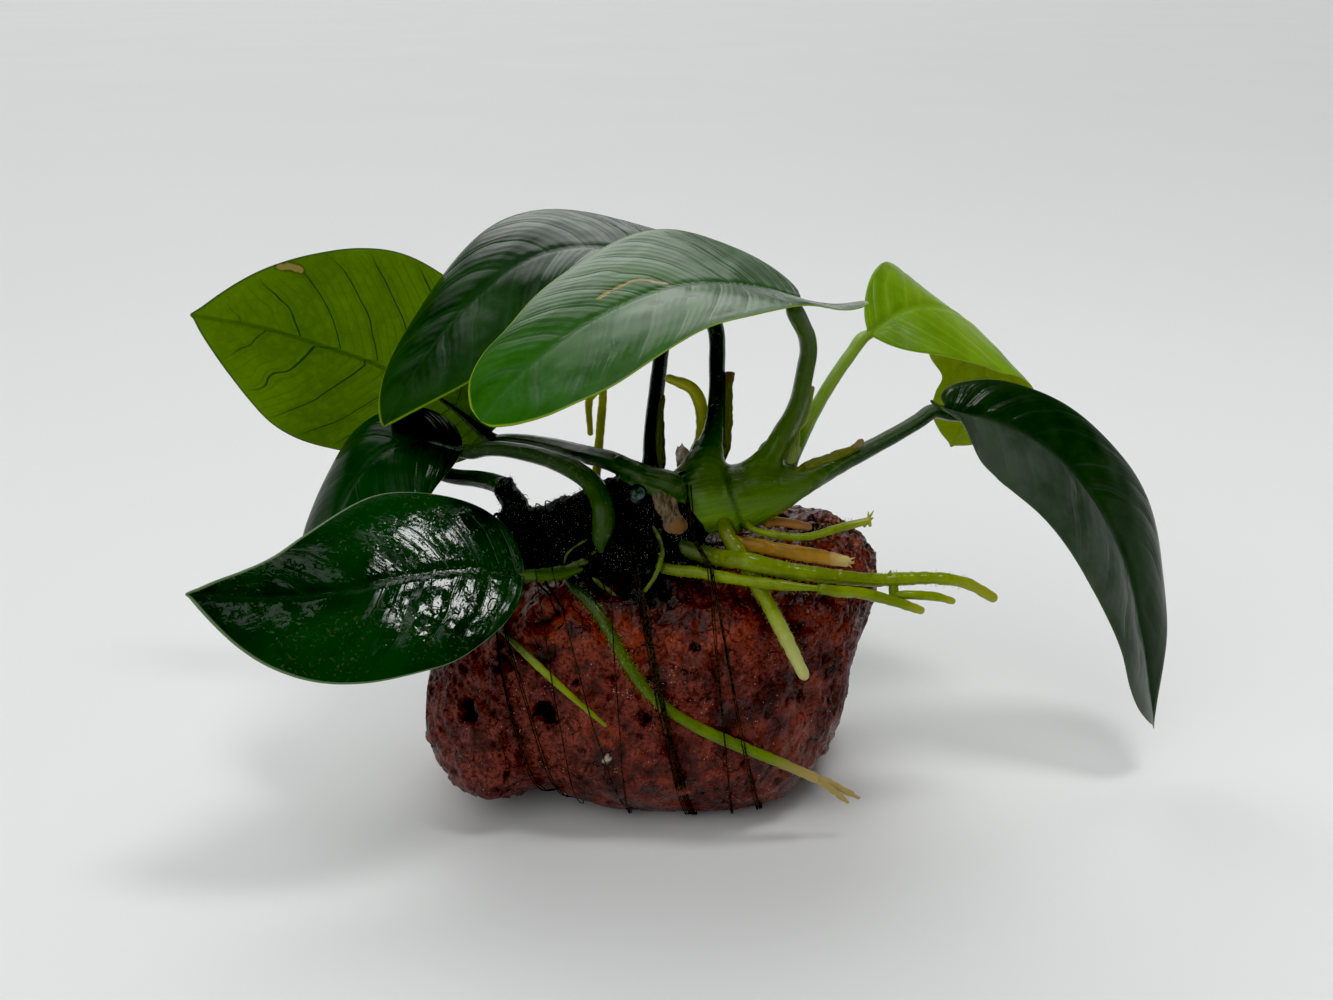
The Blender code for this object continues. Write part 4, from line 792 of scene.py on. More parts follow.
# ================================================================ materials
class Nodes:
    """Small helper that builds a node material round one Principled shader."""

    def __init__(self, name):
        self.mat = bpy.data.materials.new(name)
        self.mat.use_nodes = True
        self.tree = self.mat.node_tree
        self.shader = self.tree.nodes["Principled BSDF"]
        self.place = 0

    def new(self, kind, **props):
        n = self.tree.nodes.new(kind)
        n.location = (-220 * (self.place % 12), -180 * (self.place // 12))
        self.place += 1
        for k, v in props.items():
            setattr(n, k, v)
        return n

    def link(self, a, b):
        self.tree.links.new(a, b)
        return b

    def put(self, socket, value):
        if isinstance(value, bpy.types.NodeSocket):
            self.tree.links.new(value, socket)
        elif isinstance(value, (tuple, list)) and len(value) == 3 and socket.type == "RGBA":
            socket.default_value = (*value, 1.0)
        else:
            socket.default_value = value

    def coords(self, scale=1.0, stretch=None):
        c = self.new("ShaderNodeTexCoord")
        m = self.new("ShaderNodeMapping")
        self.link(c.outputs["Object"], m.inputs["Vector"])
        s = stretch or (1, 1, 1)
        m.inputs["Scale"].default_value = (scale * s[0], scale * s[1], scale * s[2])
        return m.outputs["Vector"]

    def attr(self, name):
        a = self.new("ShaderNodeAttribute", attribute_name=name)
        return a.outputs["Fac"]

    def noise(self, vector, scale, detail=4.0, rough=0.5, distort=0.0, colour=False):
        n = self.new("ShaderNodeTexNoise")
        self.put(n.inputs["Vector"], vector)
        n.inputs["Scale"].default_value = scale
        n.inputs["Detail"].default_value = detail
        n.inputs["Roughness"].default_value = rough
        n.inputs["Distortion"].default_value = distort
        return n.outputs["Color" if colour else "Fac"]

    def voronoi(self, vector, scale, feature="F1", random=1.0, out="Distance"):
        n = self.new("ShaderNodeTexVoronoi", feature=feature)
        self.put(n.inputs["Vector"], vector)
        n.inputs["Scale"].default_value = scale
        n.inputs["Randomness"].default_value = random
        return n.outputs[out]

    def math(self, op, a, b=0.0, c=0.0, clamp=False):
        n = self.new("ShaderNodeMath", operation=op, use_clamp=clamp)
        self.put(n.inputs[0], a)
        self.put(n.inputs[1], b)
        if op in ("MULTIPLY_ADD", "SMOOTH_MIN", "SMOOTH_MAX", "WRAP"):
            self.put(n.inputs[2], c)
        return n.outputs[0]

    def span(self, value, lo, hi, out_lo=0.0, out_hi=1.0, smooth=True):
        n = self.new("ShaderNodeMapRange", interpolation_type="SMOOTHSTEP" if smooth else "LINEAR")
        self.put(n.inputs["Value"], value)
        n.inputs["From Min"].default_value = lo
        n.inputs["From Max"].default_value = hi
        n.inputs["To Min"].default_value = out_lo
        n.inputs["To Max"].default_value = out_hi
        return n.outputs["Result"]

    def mix(self, fac, a, b, blend="MIX"):
        n = self.new("ShaderNodeMix", data_type="RGBA", blend_type=blend)
        self.put(n.inputs[0], fac)
        self.put(n.inputs[6], a)
        self.put(n.inputs[7], b)
        return n.outputs[2]

    def ramp(self, fac, stops):
        n = self.new("ShaderNodeValToRGB")
        self.put(n.inputs["Fac"], fac)
        while len(n.color_ramp.elements) < len(stops):
            n.color_ramp.elements.new(0.5)
        for e, (at, col) in zip(n.color_ramp.elements, stops):
            e.position = at
            e.color = (*col, 1.0)
        return n.outputs["Color"]

    def bump(self, height, strength, distance, normal=None):
        n = self.new("ShaderNodeBump")
        self.put(n.inputs["Height"], height)
        n.inputs["Strength"].default_value = strength
        n.inputs["Distance"].default_value = distance
        if normal is not None:
            self.put(n.inputs["Normal"], normal)
        return n.outputs["Normal"]

    def colour_noise(self, vector, scale):
        """Noise as a vector centred on zero."""
        n = self.new("ShaderNodeTexNoise")
        self.put(n.inputs["Vector"], vector)
        n.inputs["Scale"].default_value = scale
        c = self.new("ShaderNodeVectorMath")
        c.operation = "SUBTRACT"
        self.put(c.inputs[0], n.outputs["Color"])
        c.inputs[1].default_value = (0.5, 0.5, 0.5)
        return c.outputs[0]

    def finish(self, colour, rough, normal=None, coat=0.0, coat_rough=0.1, ior=1.45, specular=0.5, sheen=0.0,
               subsurface=0.0, radius=(0.001, 0.001, 0.0004), scale=1.0, coat_ior=1.33):
        s = self.shader
        self.put(s.inputs["Base Color"], colour)
        self.put(s.inputs["Roughness"], rough)
        if normal is not None:
            self.put(s.inputs["Normal"], normal)
            self.put(s.inputs["Coat Normal"], normal)
        self.put(s.inputs["Coat Weight"], coat)
        s.inputs["Coat Roughness"].default_value = coat_rough
        s.inputs["Coat IOR"].default_value = coat_ior
        s.inputs["IOR"].default_value = ior
        s.inputs["Specular IOR Level"].default_value = specular
        s.inputs["Sheen Weight"].default_value = sheen
        s.inputs["Subsurface Weight"].default_value = subsurface
        s.inputs["Subsurface Radius"].default_value = radius
        s.inputs["Subsurface Scale"].default_value = scale
        return self.mat


def leaf_material(name, dark, light, low_dark, low_light, vein_up, vein_low, rim, tip=None, rough=0.36, coat=0.8,
                  coat_rough=0.28, speckle=0.0, relief=1.0, width=0.07, wet=0.0, net=0.10, low_net=0.22, low_width=0.035,
                  bands=4.0, stripe=0.0, rim_width=0.32, dapple=0.30, specular=0.12, dry=None, ripple=0.0, coat_ior=1.33, thin_film=None, painted_sheen=None):
    """Skin of a blade. dark and light mottle the upper face, low_dark and low_light the lower one."""
    m = Nodes(name)
    co = m.coords(1.0)
    t, edge, rib, up, vein = m.attr("t"), m.attr("edge"), m.attr("rib"), m.attr("up"), m.attr("vein")
    side = m.attr("s")
    fade, mark, body = m.attr("fade"), m.attr("mark"), m.attr("body")
    big = m.noise(co, 34.0, 3.0, 0.5)
    mid = m.noise(co, 150.0, 4.0, 0.6)
    fine = m.noise(co, 520.0, 3.0, 0.6)
    f1 = m.math("FRACT", vein)
    d1 = m.math("ABSOLUTE", m.math("SUBTRACT", f1, 0.5))
    soft = m.math("MULTIPLY", m.span(d1, width * 3.2, 0.0), fade)
    sharp = m.math("MULTIPLY", m.span(d1, width, 0.0), fade)
    low_at = m.math("ABSOLUTE", m.math("SUBTRACT", m.math("FRACT", m.math("ADD", vein, m.math("MULTIPLY_ADD", big, 0.20, -0.10))), 0.5))
    low_line = m.math("MULTIPLY", m.span(low_at, low_width, low_width * 0.3), fade)
    wob = m.math("MULTIPLY_ADD", mid, 0.25, m.math("MULTIPLY", vein, bands))
    d2 = m.math("ABSOLUTE", m.math("SUBTRACT", m.math("FRACT", wob), 0.5))
    thin = m.math("MULTIPLY", m.math("MULTIPLY", m.span(d2, 0.16, 0.0), fade), m.span(big, 0.36, 0.58))
    cross = m.voronoi(co, 330.0, "DISTANCE_TO_EDGE")
    mesh = m.span(cross, 0.09, 0.0)
    rib_up = m.math("MULTIPLY", m.span(rib, 0.85, 0.2), body)
    rib_low = m.math("MULTIPLY", m.span(rib, 0.62, 0.30), body)

    top = m.mix(m.span(big, 0.36, 0.64), dark, light)
    if tip is not None:
        top = m.mix(m.math("MULTIPLY", m.span(t, 0.70, 0.90), 0.8), top, tip)
    top = m.mix(m.math("MULTIPLY", m.span(mid, 0.40, 0.68), dapple), top, tuple(min(1, 1.8 * c) for c in light))
    top = m.mix(m.math("MULTIPLY", m.span(mid, 0.46, 0.30), dapple), top, tuple(0.45 * c for c in dark))
    if stripe:
        top = m.mix(m.math("MULTIPLY", thin, stripe), top, vein_up)
    top = m.mix(m.math("MULTIPLY", mesh, net), top, vein_up)
    top = m.mix(m.math("MULTIPLY", soft, 0.22), top, vein_up)
    top = m.mix(m.math("MULTIPLY", sharp, 0.40), top, vein_up)
    top = m.mix(m.math("MULTIPLY", rib_up, 0.55), top, vein_up)
    if speckle:
        dots = m.noise(co, 1300.0, 2.0, 0.6)
        where = m.span(m.noise(co, 70.0, 3.0), 0.40, 0.60)
        top = m.mix(m.math("MULTIPLY", m.math("MULTIPLY", m.span(dots, 0.56, 0.70), where), speckle), top, (0.075, 0.075, 0.030))
    if painted_sheen is not None:
        # painted reflection: one half is veiled by a pale, cloudy grey-green that stands in for the sheen it reflects
        way, amount = painted_sheen
        half = m.span(m.math("MULTIPLY", side, way), -0.05, 0.12)
        cloud = m.math("MULTIPLY_ADD", m.span(m.noise(co, 80.0, 4.0, 0.6), 0.34, 0.62), 0.6, 0.4)
        top = m.mix(m.math("MULTIPLY", m.math("MULTIPLY", half, cloud), amount), top, (0.064, 0.086, 0.060))
    low = m.mix(m.span(big, 0.35, 0.66), low_dark, low_light)
    low = m.mix(m.math("MULTIPLY", m.span(fine, 0.42, 0.70), 0.22), low, tuple(min(1, 1.5 * c) for c in low_light))
    low = m.mix(m.math("MULTIPLY", mesh, low_net), low, vein_low)
    low = m.mix(m.math("MULTIPLY", thin, 0.30), low, vein_low)
    low = m.mix(m.math("MULTIPLY", soft, 0.10), low, vein_low)
    low = m.mix(m.math("MULTIPLY", low_line, 0.92), low, vein_low)
    low = m.mix(m.math("MULTIPLY", rib_low, 0.85), low, vein_low)
    both = m.mix(up, low, top)
    lip = m.span(m.math("MULTIPLY_ADD", mid, 0.10, edge), rim_width + 0.10, rim_width * 0.5)
    both = m.mix(m.math("MULTIPLY", lip, 0.85), both, rim)
    # healed scars: a pale brown crust with a darker edge
    crust = m.math("MULTIPLY_ADD", m.math("SUBTRACT", fine, 0.5), 0.9, mark)
    both = m.mix(m.math("MULTIPLY", m.span(crust, 0.26, 0.48), 0.7), both, (0.050, 0.055, 0.012))
    both = m.mix(m.span(crust, 0.60, 0.85), both, (0.27, 0.22, 0.050))
    # relief: the skin's fine pleats between the side veins, then its grain
    height = m.math("SUBTRACT", m.math("MULTIPLY", m.math("MULTIPLY", d2, fade), 0.35), m.math("MULTIPLY", sharp, 0.30))
    n1 = m.bump(height, 0.40 * relief, 0.0004)
    n2 = m.bump(m.noise(co, 240.0, 4.0, 0.6), 0.20 * relief, 0.0003, n1)
    n3 = m.bump(m.noise(co, 1300.0, 3.0, 0.6), 0.05 + wet * 0.5, 0.00008, n2)
    if ripple:
        # a thin glossy film, drawn out along the side veins
        vec = m.new("ShaderNodeCombineXYZ")
        m.put(vec.inputs[0], m.math("MULTIPLY", vein, 9.0))
        m.put(vec.inputs[1], m.math("MULTIPLY", rib, 0.55))
        m.put(vec.inputs[2], m.math("MULTIPLY", side, 0.5))
        n3 = m.bump(m.noise(vec.outputs[0], 1.0, 3.0, 0.6), ripple, 0.00007, n3)
        n3 = m.bump(m.span(m.noise(co, 900.0, 3.0, 0.65), 0.58, 0.72), ripple, 0.00015, n3)
        n3 = m.bump(m.span(m.noise(co, 330.0, 2.0, 0.6), 0.56, 0.68), ripple, 0.00009, n3)
    rr = m.math("MULTIPLY_ADD", mid, 0.20, rough - 0.10)
    rr = m.math("MULTIPLY_ADD", m.span(crust, 0.3, 0.5), 0.25, rr)
    if dry is not None:
        # towards its tip the film has drained away
        lo, hi = dry
        bare = m.span(m.math("ADD", t, m.math("MULTIPLY_ADD", big, 0.5, -0.25)), lo, hi)
        bare = m.math("MAXIMUM", bare, m.span(m.math("ADD", m.math("ABSOLUTE", side), m.math("MULTIPLY_ADD", big, 0.6, -0.3)), 0.62, 0.82))
        coat = m.math("MULTIPLY_ADD", bare, -coat * 0.95, coat)
    if thin_film is not None:
        # the satin film thins out towards the tip
        lo, hi, left = thin_film
        gone = m.span(m.math("ADD", t, m.math("MULTIPLY_ADD", big, 0.3, -0.15)), lo, hi)
        coat = m.math("MULTIPLY_ADD", gone, -coat * (1 - left), coat)
    return m.finish(both, rr, n3, coat=coat, coat_rough=coat_rough, ior=1.45, specular=specular, coat_ior=coat_ior)


def stone_material():
    """Glossy scoria: dark red-brown, orange on its warm faces, pinkish on worn ones."""
    m = Nodes("lava_wet")
    co = m.coords(1.0)
    pore_shade, dull, chip, mat, warm, deep = m.attr("pore_shade"), m.attr("dull"), m.attr("chip"), m.attr("grime"), m.attr("warm"), m.attr("deep")
    big = m.noise(co, 55.0, 5.0, 0.6)
    mid = m.noise(co, 240.0, 5.0, 0.62)
    fine = m.noise(co, 1000.0, 4.0, 0.65)
    grain = m.voronoi(co, 1100.0)
    spots = m.voronoi(co, 520.0)
    sum1 = m.math("ADD", m.math("MULTIPLY", big, 0.45), m.math("MULTIPLY", mid, 0.55))
    red = m.ramp(sum1, [(0.37, (0.006, 0.0014, 0.0012)), (0.44, (0.058, 0.0060, 0.0036)), (0.50, (0.122, 0.0135, 0.0066)),
                        (0.60, (0.240, 0.035, 0.014))])
    orange = m.ramp(sum1, [(0.37, (0.018, 0.0026, 0.0016)), (0.44, (0.120, 0.0125, 0.0052)), (0.53, (0.300, 0.042, 0.011))])
    pink = m.ramp(m.math("ADD", m.math("MULTIPLY", mid, 0.5), m.math("MULTIPLY", fine, 0.5)),
                  [(0.38, (0.022, 0.0046, 0.0036)), (0.46, (0.092, 0.0150, 0.0105)), (0.58, (0.190, 0.044, 0.031))])
    base = m.mix(warm, red, orange)
    base = m.mix(dull, base, pink)
    base = m.mix(m.math("MULTIPLY", m.span(fine, 0.48, 0.38), 0.66), base, (0.010, 0.0028, 0.002))
    base = m.mix(m.math("MULTIPLY", m.span(spots, 0.22, 0.10), 0.60), base, (0.010, 0.003, 0.003))
    base = m.mix(m.math("MULTIPLY", m.span(grain, 0.16, 0.05), 0.40), base, (0.36, 0.13, 0.08))
    crumb = m.noise(co, 2600.0, 3.0, 0.6)
    base = m.mix(m.math("MULTIPLY", m.span(crumb, 0.50, 0.36), 0.60), base, (0.010, 0.0026, 0.002))
    blotch = m.span(m.noise(co, 120.0, 4.0, 0.6), 0.50, 0.40)
    base = m.mix(m.math("MULTIPLY", blotch, 0.45), base, (0.016, 0.0038, 0.0026))
    # thin cracks, painted dark as shade in them; the first bump below also dents them
    bent = m.new("ShaderNodeVectorMath")
    bent.operation = "MULTIPLY_ADD"
    m.put(bent.inputs[0], m.colour_noise(co, 300.0))
    bent.inputs[1].default_value = (0.0055, 0.0055, 0.0055)
    m.put(bent.inputs[2], co)
    crack_shade = m.math("MULTIPLY", m.span(m.voronoi(bent.outputs[0], 170.0, "DISTANCE_TO_EDGE"), 0.040, 0.010), m.span(m.noise(co, 170.0, 3.0, 0.6), 0.50, 0.60))
    base = m.mix(m.math("MULTIPLY", crack_shade, 0.70), base, (0.006, 0.0020, 0.0016))
    # painted shade: darker in the hollows and creeks of the fine skin, near black in the pores
    base = m.mix(m.math("MULTIPLY", deep, 0.60), base, (0.012, 0.0028, 0.0020))
    base = m.mix(m.math("MULTIPLY", pore_shade, 0.92), base, (0.003, 0.0014, 0.0012))
    # painted glints: small pale specks where the wet stone would catch the light
    painted_glint = m.math("MULTIPLY", m.span(grain, 0.12, 0.06), m.span(m.noise(co, 180.0, 2.0), 0.49, 0.60))
    base = m.mix(m.math("MULTIPLY", painted_glint, 0.85), base, (0.75, 0.58, 0.50))
    base = m.mix(m.math("MULTIPLY", mat, m.span(mid, 0.30, 0.52)), base, (0.006, 0.006, 0.004))
    base = m.mix(chip, base, (0.66, 0.56, 0.42))
    n1 = m.bump(m.math("MULTIPLY_ADD", crack_shade, -0.5, mid), 0.70, 0.0009)
    n2 = m.bump(fine, 0.70, 0.00034, n1)
    n3 = m.bump(grain, 0.55, 0.00024, n2)
    rough = m.math("MULTIPLY_ADD", dull, 0.16, m.math("MULTIPLY_ADD", mid, 0.40, 0.16))
    coat = m.math("MULTIPLY_ADD", dull, -0.55, 0.80)
    return m.finish(base, rough, n3, coat=coat, coat_rough=0.07, ior=1.45, specular=0.10)


def skin_material(name, rough=0.24, coat=0.8, coat_rough=0.10):
    """Glossy skin of stalks and rhizome: tone runs from near black over green to lime, old is black crust, scar is cork."""
    m = Nodes(name)
    co = m.coords(1.0)
    tone, old, scar, run, ca, sa, membrane = (m.attr("tone"), m.attr("old"), m.attr("scar"), m.attr("run"), m.attr("ca"),
                                              m.attr("sa"), m.attr("membrane"))
    vec = m.new("ShaderNodeCombineXYZ")
    m.put(vec.inputs[0], m.math("MULTIPLY", ca, 5.0))
    m.put(vec.inputs[1], m.math("MULTIPLY", sa, 5.0))
    m.put(vec.inputs[2], m.math("MULTIPLY", run, 0.10))
    streak = m.noise(vec.outputs[0], 1.6, 4.0, 0.65)
    big = m.noise(co, 110.0, 3.0)
    fine = m.noise(co, 900.0, 4.0, 0.65)
    at = m.math("ADD", tone, m.math("MULTIPLY_ADD", streak, 0.34, -0.17))
    at = m.math("ADD", at, m.math("MULTIPLY_ADD", big, 0.20, -0.10))
    col = m.ramp(at, [(0.0, (0.0045, 0.0095, 0.0030)), (0.22, (0.014, 0.040, 0.0045)), (0.48, (0.056, 0.110, 0.005)),
                      (0.74, (0.105, 0.215, 0.008)), (1.0, (0.26, 0.40, 0.030))])
    col = m.mix(m.math("MULTIPLY", m.span(fine, 0.56, 0.74), 0.22), col, (0.20, 0.27, 0.06))
    col = m.mix(membrane, col, (0.28, 0.36, 0.12))
    grain = m.noise(m.coords(1.0, (1.0, 1.0, 0.35)), 1500.0, 4.0, 0.6)
    cork = m.mix(m.span(grain, 0.36, 0.62), (0.035, 0.022, 0.010), (0.170, 0.115, 0.058))
    cork = m.mix(m.span(m.attr("lump"), 0.35, 0.60), cork, m.mix(m.span(big, 0.35, 0.65), (0.075, 0.034, 0.008), (0.200, 0.098, 0.027)))
    crust = m.mix(m.span(fine, 0.46, 0.66), (0.0016, 0.0018, 0.0012), (0.010, 0.011, 0.006))
    # painted glints: pale specks on the black crust where its wet surface would catch the light
    crust = m.mix(m.math("MULTIPLY", m.span(m.voronoi(co, 1700.0), 0.22, 0.12), m.span(big, 0.44, 0.60)), crust, (0.22, 0.23, 0.19))
    scar_at = m.math("MULTIPLY_ADD", m.math("SUBTRACT", fine, 0.5), 0.6, scar)
    col = m.mix(m.span(scar_at, 0.38, 0.58), col, cork)
    old_at = m.math("MULTIPLY_ADD", m.math("SUBTRACT", big, 0.5), 0.9, old)
    black = m.span(old_at, 0.42, 0.56)
    col = m.mix(black, col, crust)
    n1 = m.bump(streak, 0.50, 0.00045)
    n2 = m.bump(fine, 0.42, 0.0002, n1)
    rough_bump = m.math("MULTIPLY", m.noise(co, 700.0, 5.0, 0.7), black)
    n3 = m.bump(rough_bump, 1.0, 0.0006, n2)
    rr = m.math("MULTIPLY_ADD", fine, 0.16, rough - 0.08)
    rr = m.math("MULTIPLY_ADD", m.span(scar_at, 0.38, 0.58), 0.25, rr)
    rr = m.math("MULTIPLY_ADD", black, 0.12, rr)
    film = m.math("MULTIPLY_ADD", black, -0.55 * coat, coat)
    return m.finish(col, rr, n3, coat=film, coat_rough=0.06, specular=0.04, coat_ior=1.33)


def root_material(name, base, middle, tip, fuzz=(0.30, 0.36, 0.10), rough=0.26, coat=0.6, tip_from=0.80, base_to=0.25):
    m = Nodes(name)
    co = m.coords(1.0)
    al = m.attr("along")
    big = m.noise(co, 130.0, 4.0, 0.6)
    fine = m.noise(co, 900.0, 4.0, 0.65)
    al = m.math("ADD", al, m.math("MULTIPLY_ADD", big, 0.10, -0.05))
    col = m.mix(m.span(big, 0.40, 0.62), middle, tuple(min(1, 1.35 * c) for c in middle))
    col = m.mix(m.math("MULTIPLY", m.span(fine, 0.45, 0.30), 0.35), col, tuple(0.45 * c for c in middle))
    col = m.mix(m.span(al, base_to, 0.0), col, base)
    col = m.mix(m.span(al, tip_from, 0.985), col, tip)
    col = m.mix(m.math("MULTIPLY", m.span(fine, 0.58, 0.74), 0.30), col, fuzz)
    n1 = m.bump(m.noise(co, 420.0, 4.0, 0.6), 0.40, 0.0003)
    n2 = m.bump(fine, 0.30, 0.00012, n1)
    rr = m.math("MULTIPLY_ADD", fine, 0.25, rough - 0.10)
    return m.finish(col, rr, n2, coat=coat, coat_rough=0.12, specular=0.10)


def plain_material(name, a, b, scale, rough, bump=0.4, distance=0.0003, coat=0.0, stretch=None, tint=None, coat_rough=0.15, specular=0.15):
    m = Nodes(name)
    co = m.coords(1.0, stretch)
    n = m.noise(co, scale, 4.0, 0.6)
    col = m.mix(m.span(n, 0.36, 0.66), a, b)
    if tint is not None:
        attribute, colour, lo, hi = tint
        at = m.math("MULTIPLY_ADD", m.math("SUBTRACT", n, 0.5), 0.35, m.attr(attribute))
        col = m.mix(m.span(at, lo, hi), col, colour)
    nn = m.bump(m.noise(co, scale * 3, 3.0, 0.6), bump, distance)
    rr = m.math("MULTIPLY_ADD", n, 0.2, rough - 0.1)
    return m.finish(col, rr, nn, coat=coat, coat_rough=coat_rough, specular=specular)


def sheath_material(name, pale, deep, margin_colour, tip_colour):
    """A thin bract: two greens streaked along it, a withered margin and tip."""
    m = Nodes(name)
    co = m.coords(1.0)
    al, ca, sa, run = m.attr("along"), m.attr("ca"), m.attr("sa"), m.attr("run")
    vec = m.new("ShaderNodeCombineXYZ")
    m.put(vec.inputs[0], m.math("MULTIPLY", ca, 4.0))
    m.put(vec.inputs[1], m.math("MULTIPLY", sa, 4.0))
    m.put(vec.inputs[2], m.math("MULTIPLY", run, 0.25))
    streak = m.noise(vec.outputs[0], 2.2, 4.0, 0.65)
    fine = m.noise(co, 800.0, 4.0, 0.65)
    col = m.mix(m.span(streak, 0.36, 0.64), deep, pale)
    margin = m.math("ADD", sa, m.math("MULTIPLY_ADD", fine, 0.5, -0.25))
    col = m.mix(m.math("MULTIPLY", m.span(margin, 0.80, 1.10), 0.80), col, margin_colour)
    end = m.math("ADD", al, m.math("MULTIPLY_ADD", fine, 0.16, -0.08))
    col = m.mix(m.span(end, 0.84, 0.94), col, tip_colour)
    col = m.mix(m.math("MULTIPLY", m.span(end, 0.93, 1.0), m.span(fine, 0.48, 0.62)), col, (0.34, 0.27, 0.14))
    n1 = m.bump(streak, 0.5, 0.0003)
    n2 = m.bump(fine, 0.4, 0.0002, n1)
    rr = m.math("MULTIPLY_ADD", fine, 0.2, 0.28)
    return m.finish(col, rr, n2, coat=0.35, coat_rough=0.15, specular=0.1)


# ================================================================ blades
# healed marks, in mm along the midrib and across it on the flattened blade: (points of a line, half width)
MARKS = {
    "leaf_top": [([(39.4, -4.3), (36.5, -4.9), (34.1, -4.9), (32.0, -5.1), (30.6, -4.3), (28.5, -2.6), (26.8, -1.3)], 0.75, 1.0),
                 ([(30.6, 5.7), (31.8, 4.9)], 1.5, 0.55), ([(21.2, 16.2), (23.0, 16.6)], 1.7, 0.60), ([(25.5, 7.2), (24.0, 8.0)], 0.9, 0.45)],
    "leaf_back_left": [([(52.2, 14.0), (50.2, 14.6), (48.4, 14.4)], 1.25, 1.0)],
}


def line_gap(x, y, points):
    """Distance on the flattened blade from each point to a line of points."""
    best = np.full(np.shape(x), 1e9)
    for (ax, ay), (bx, by) in zip(points[:-1], points[1:]):
        ux, uy = bx - ax, by - ay
        h = np.clip(((x - ax) * ux + (y - ay) * uy) / (ux * ux + uy * uy), 0, 1)
        best = np.minimum(best, np.hypot(x - ax - h * ux, y - ay - h * uy))
    return best


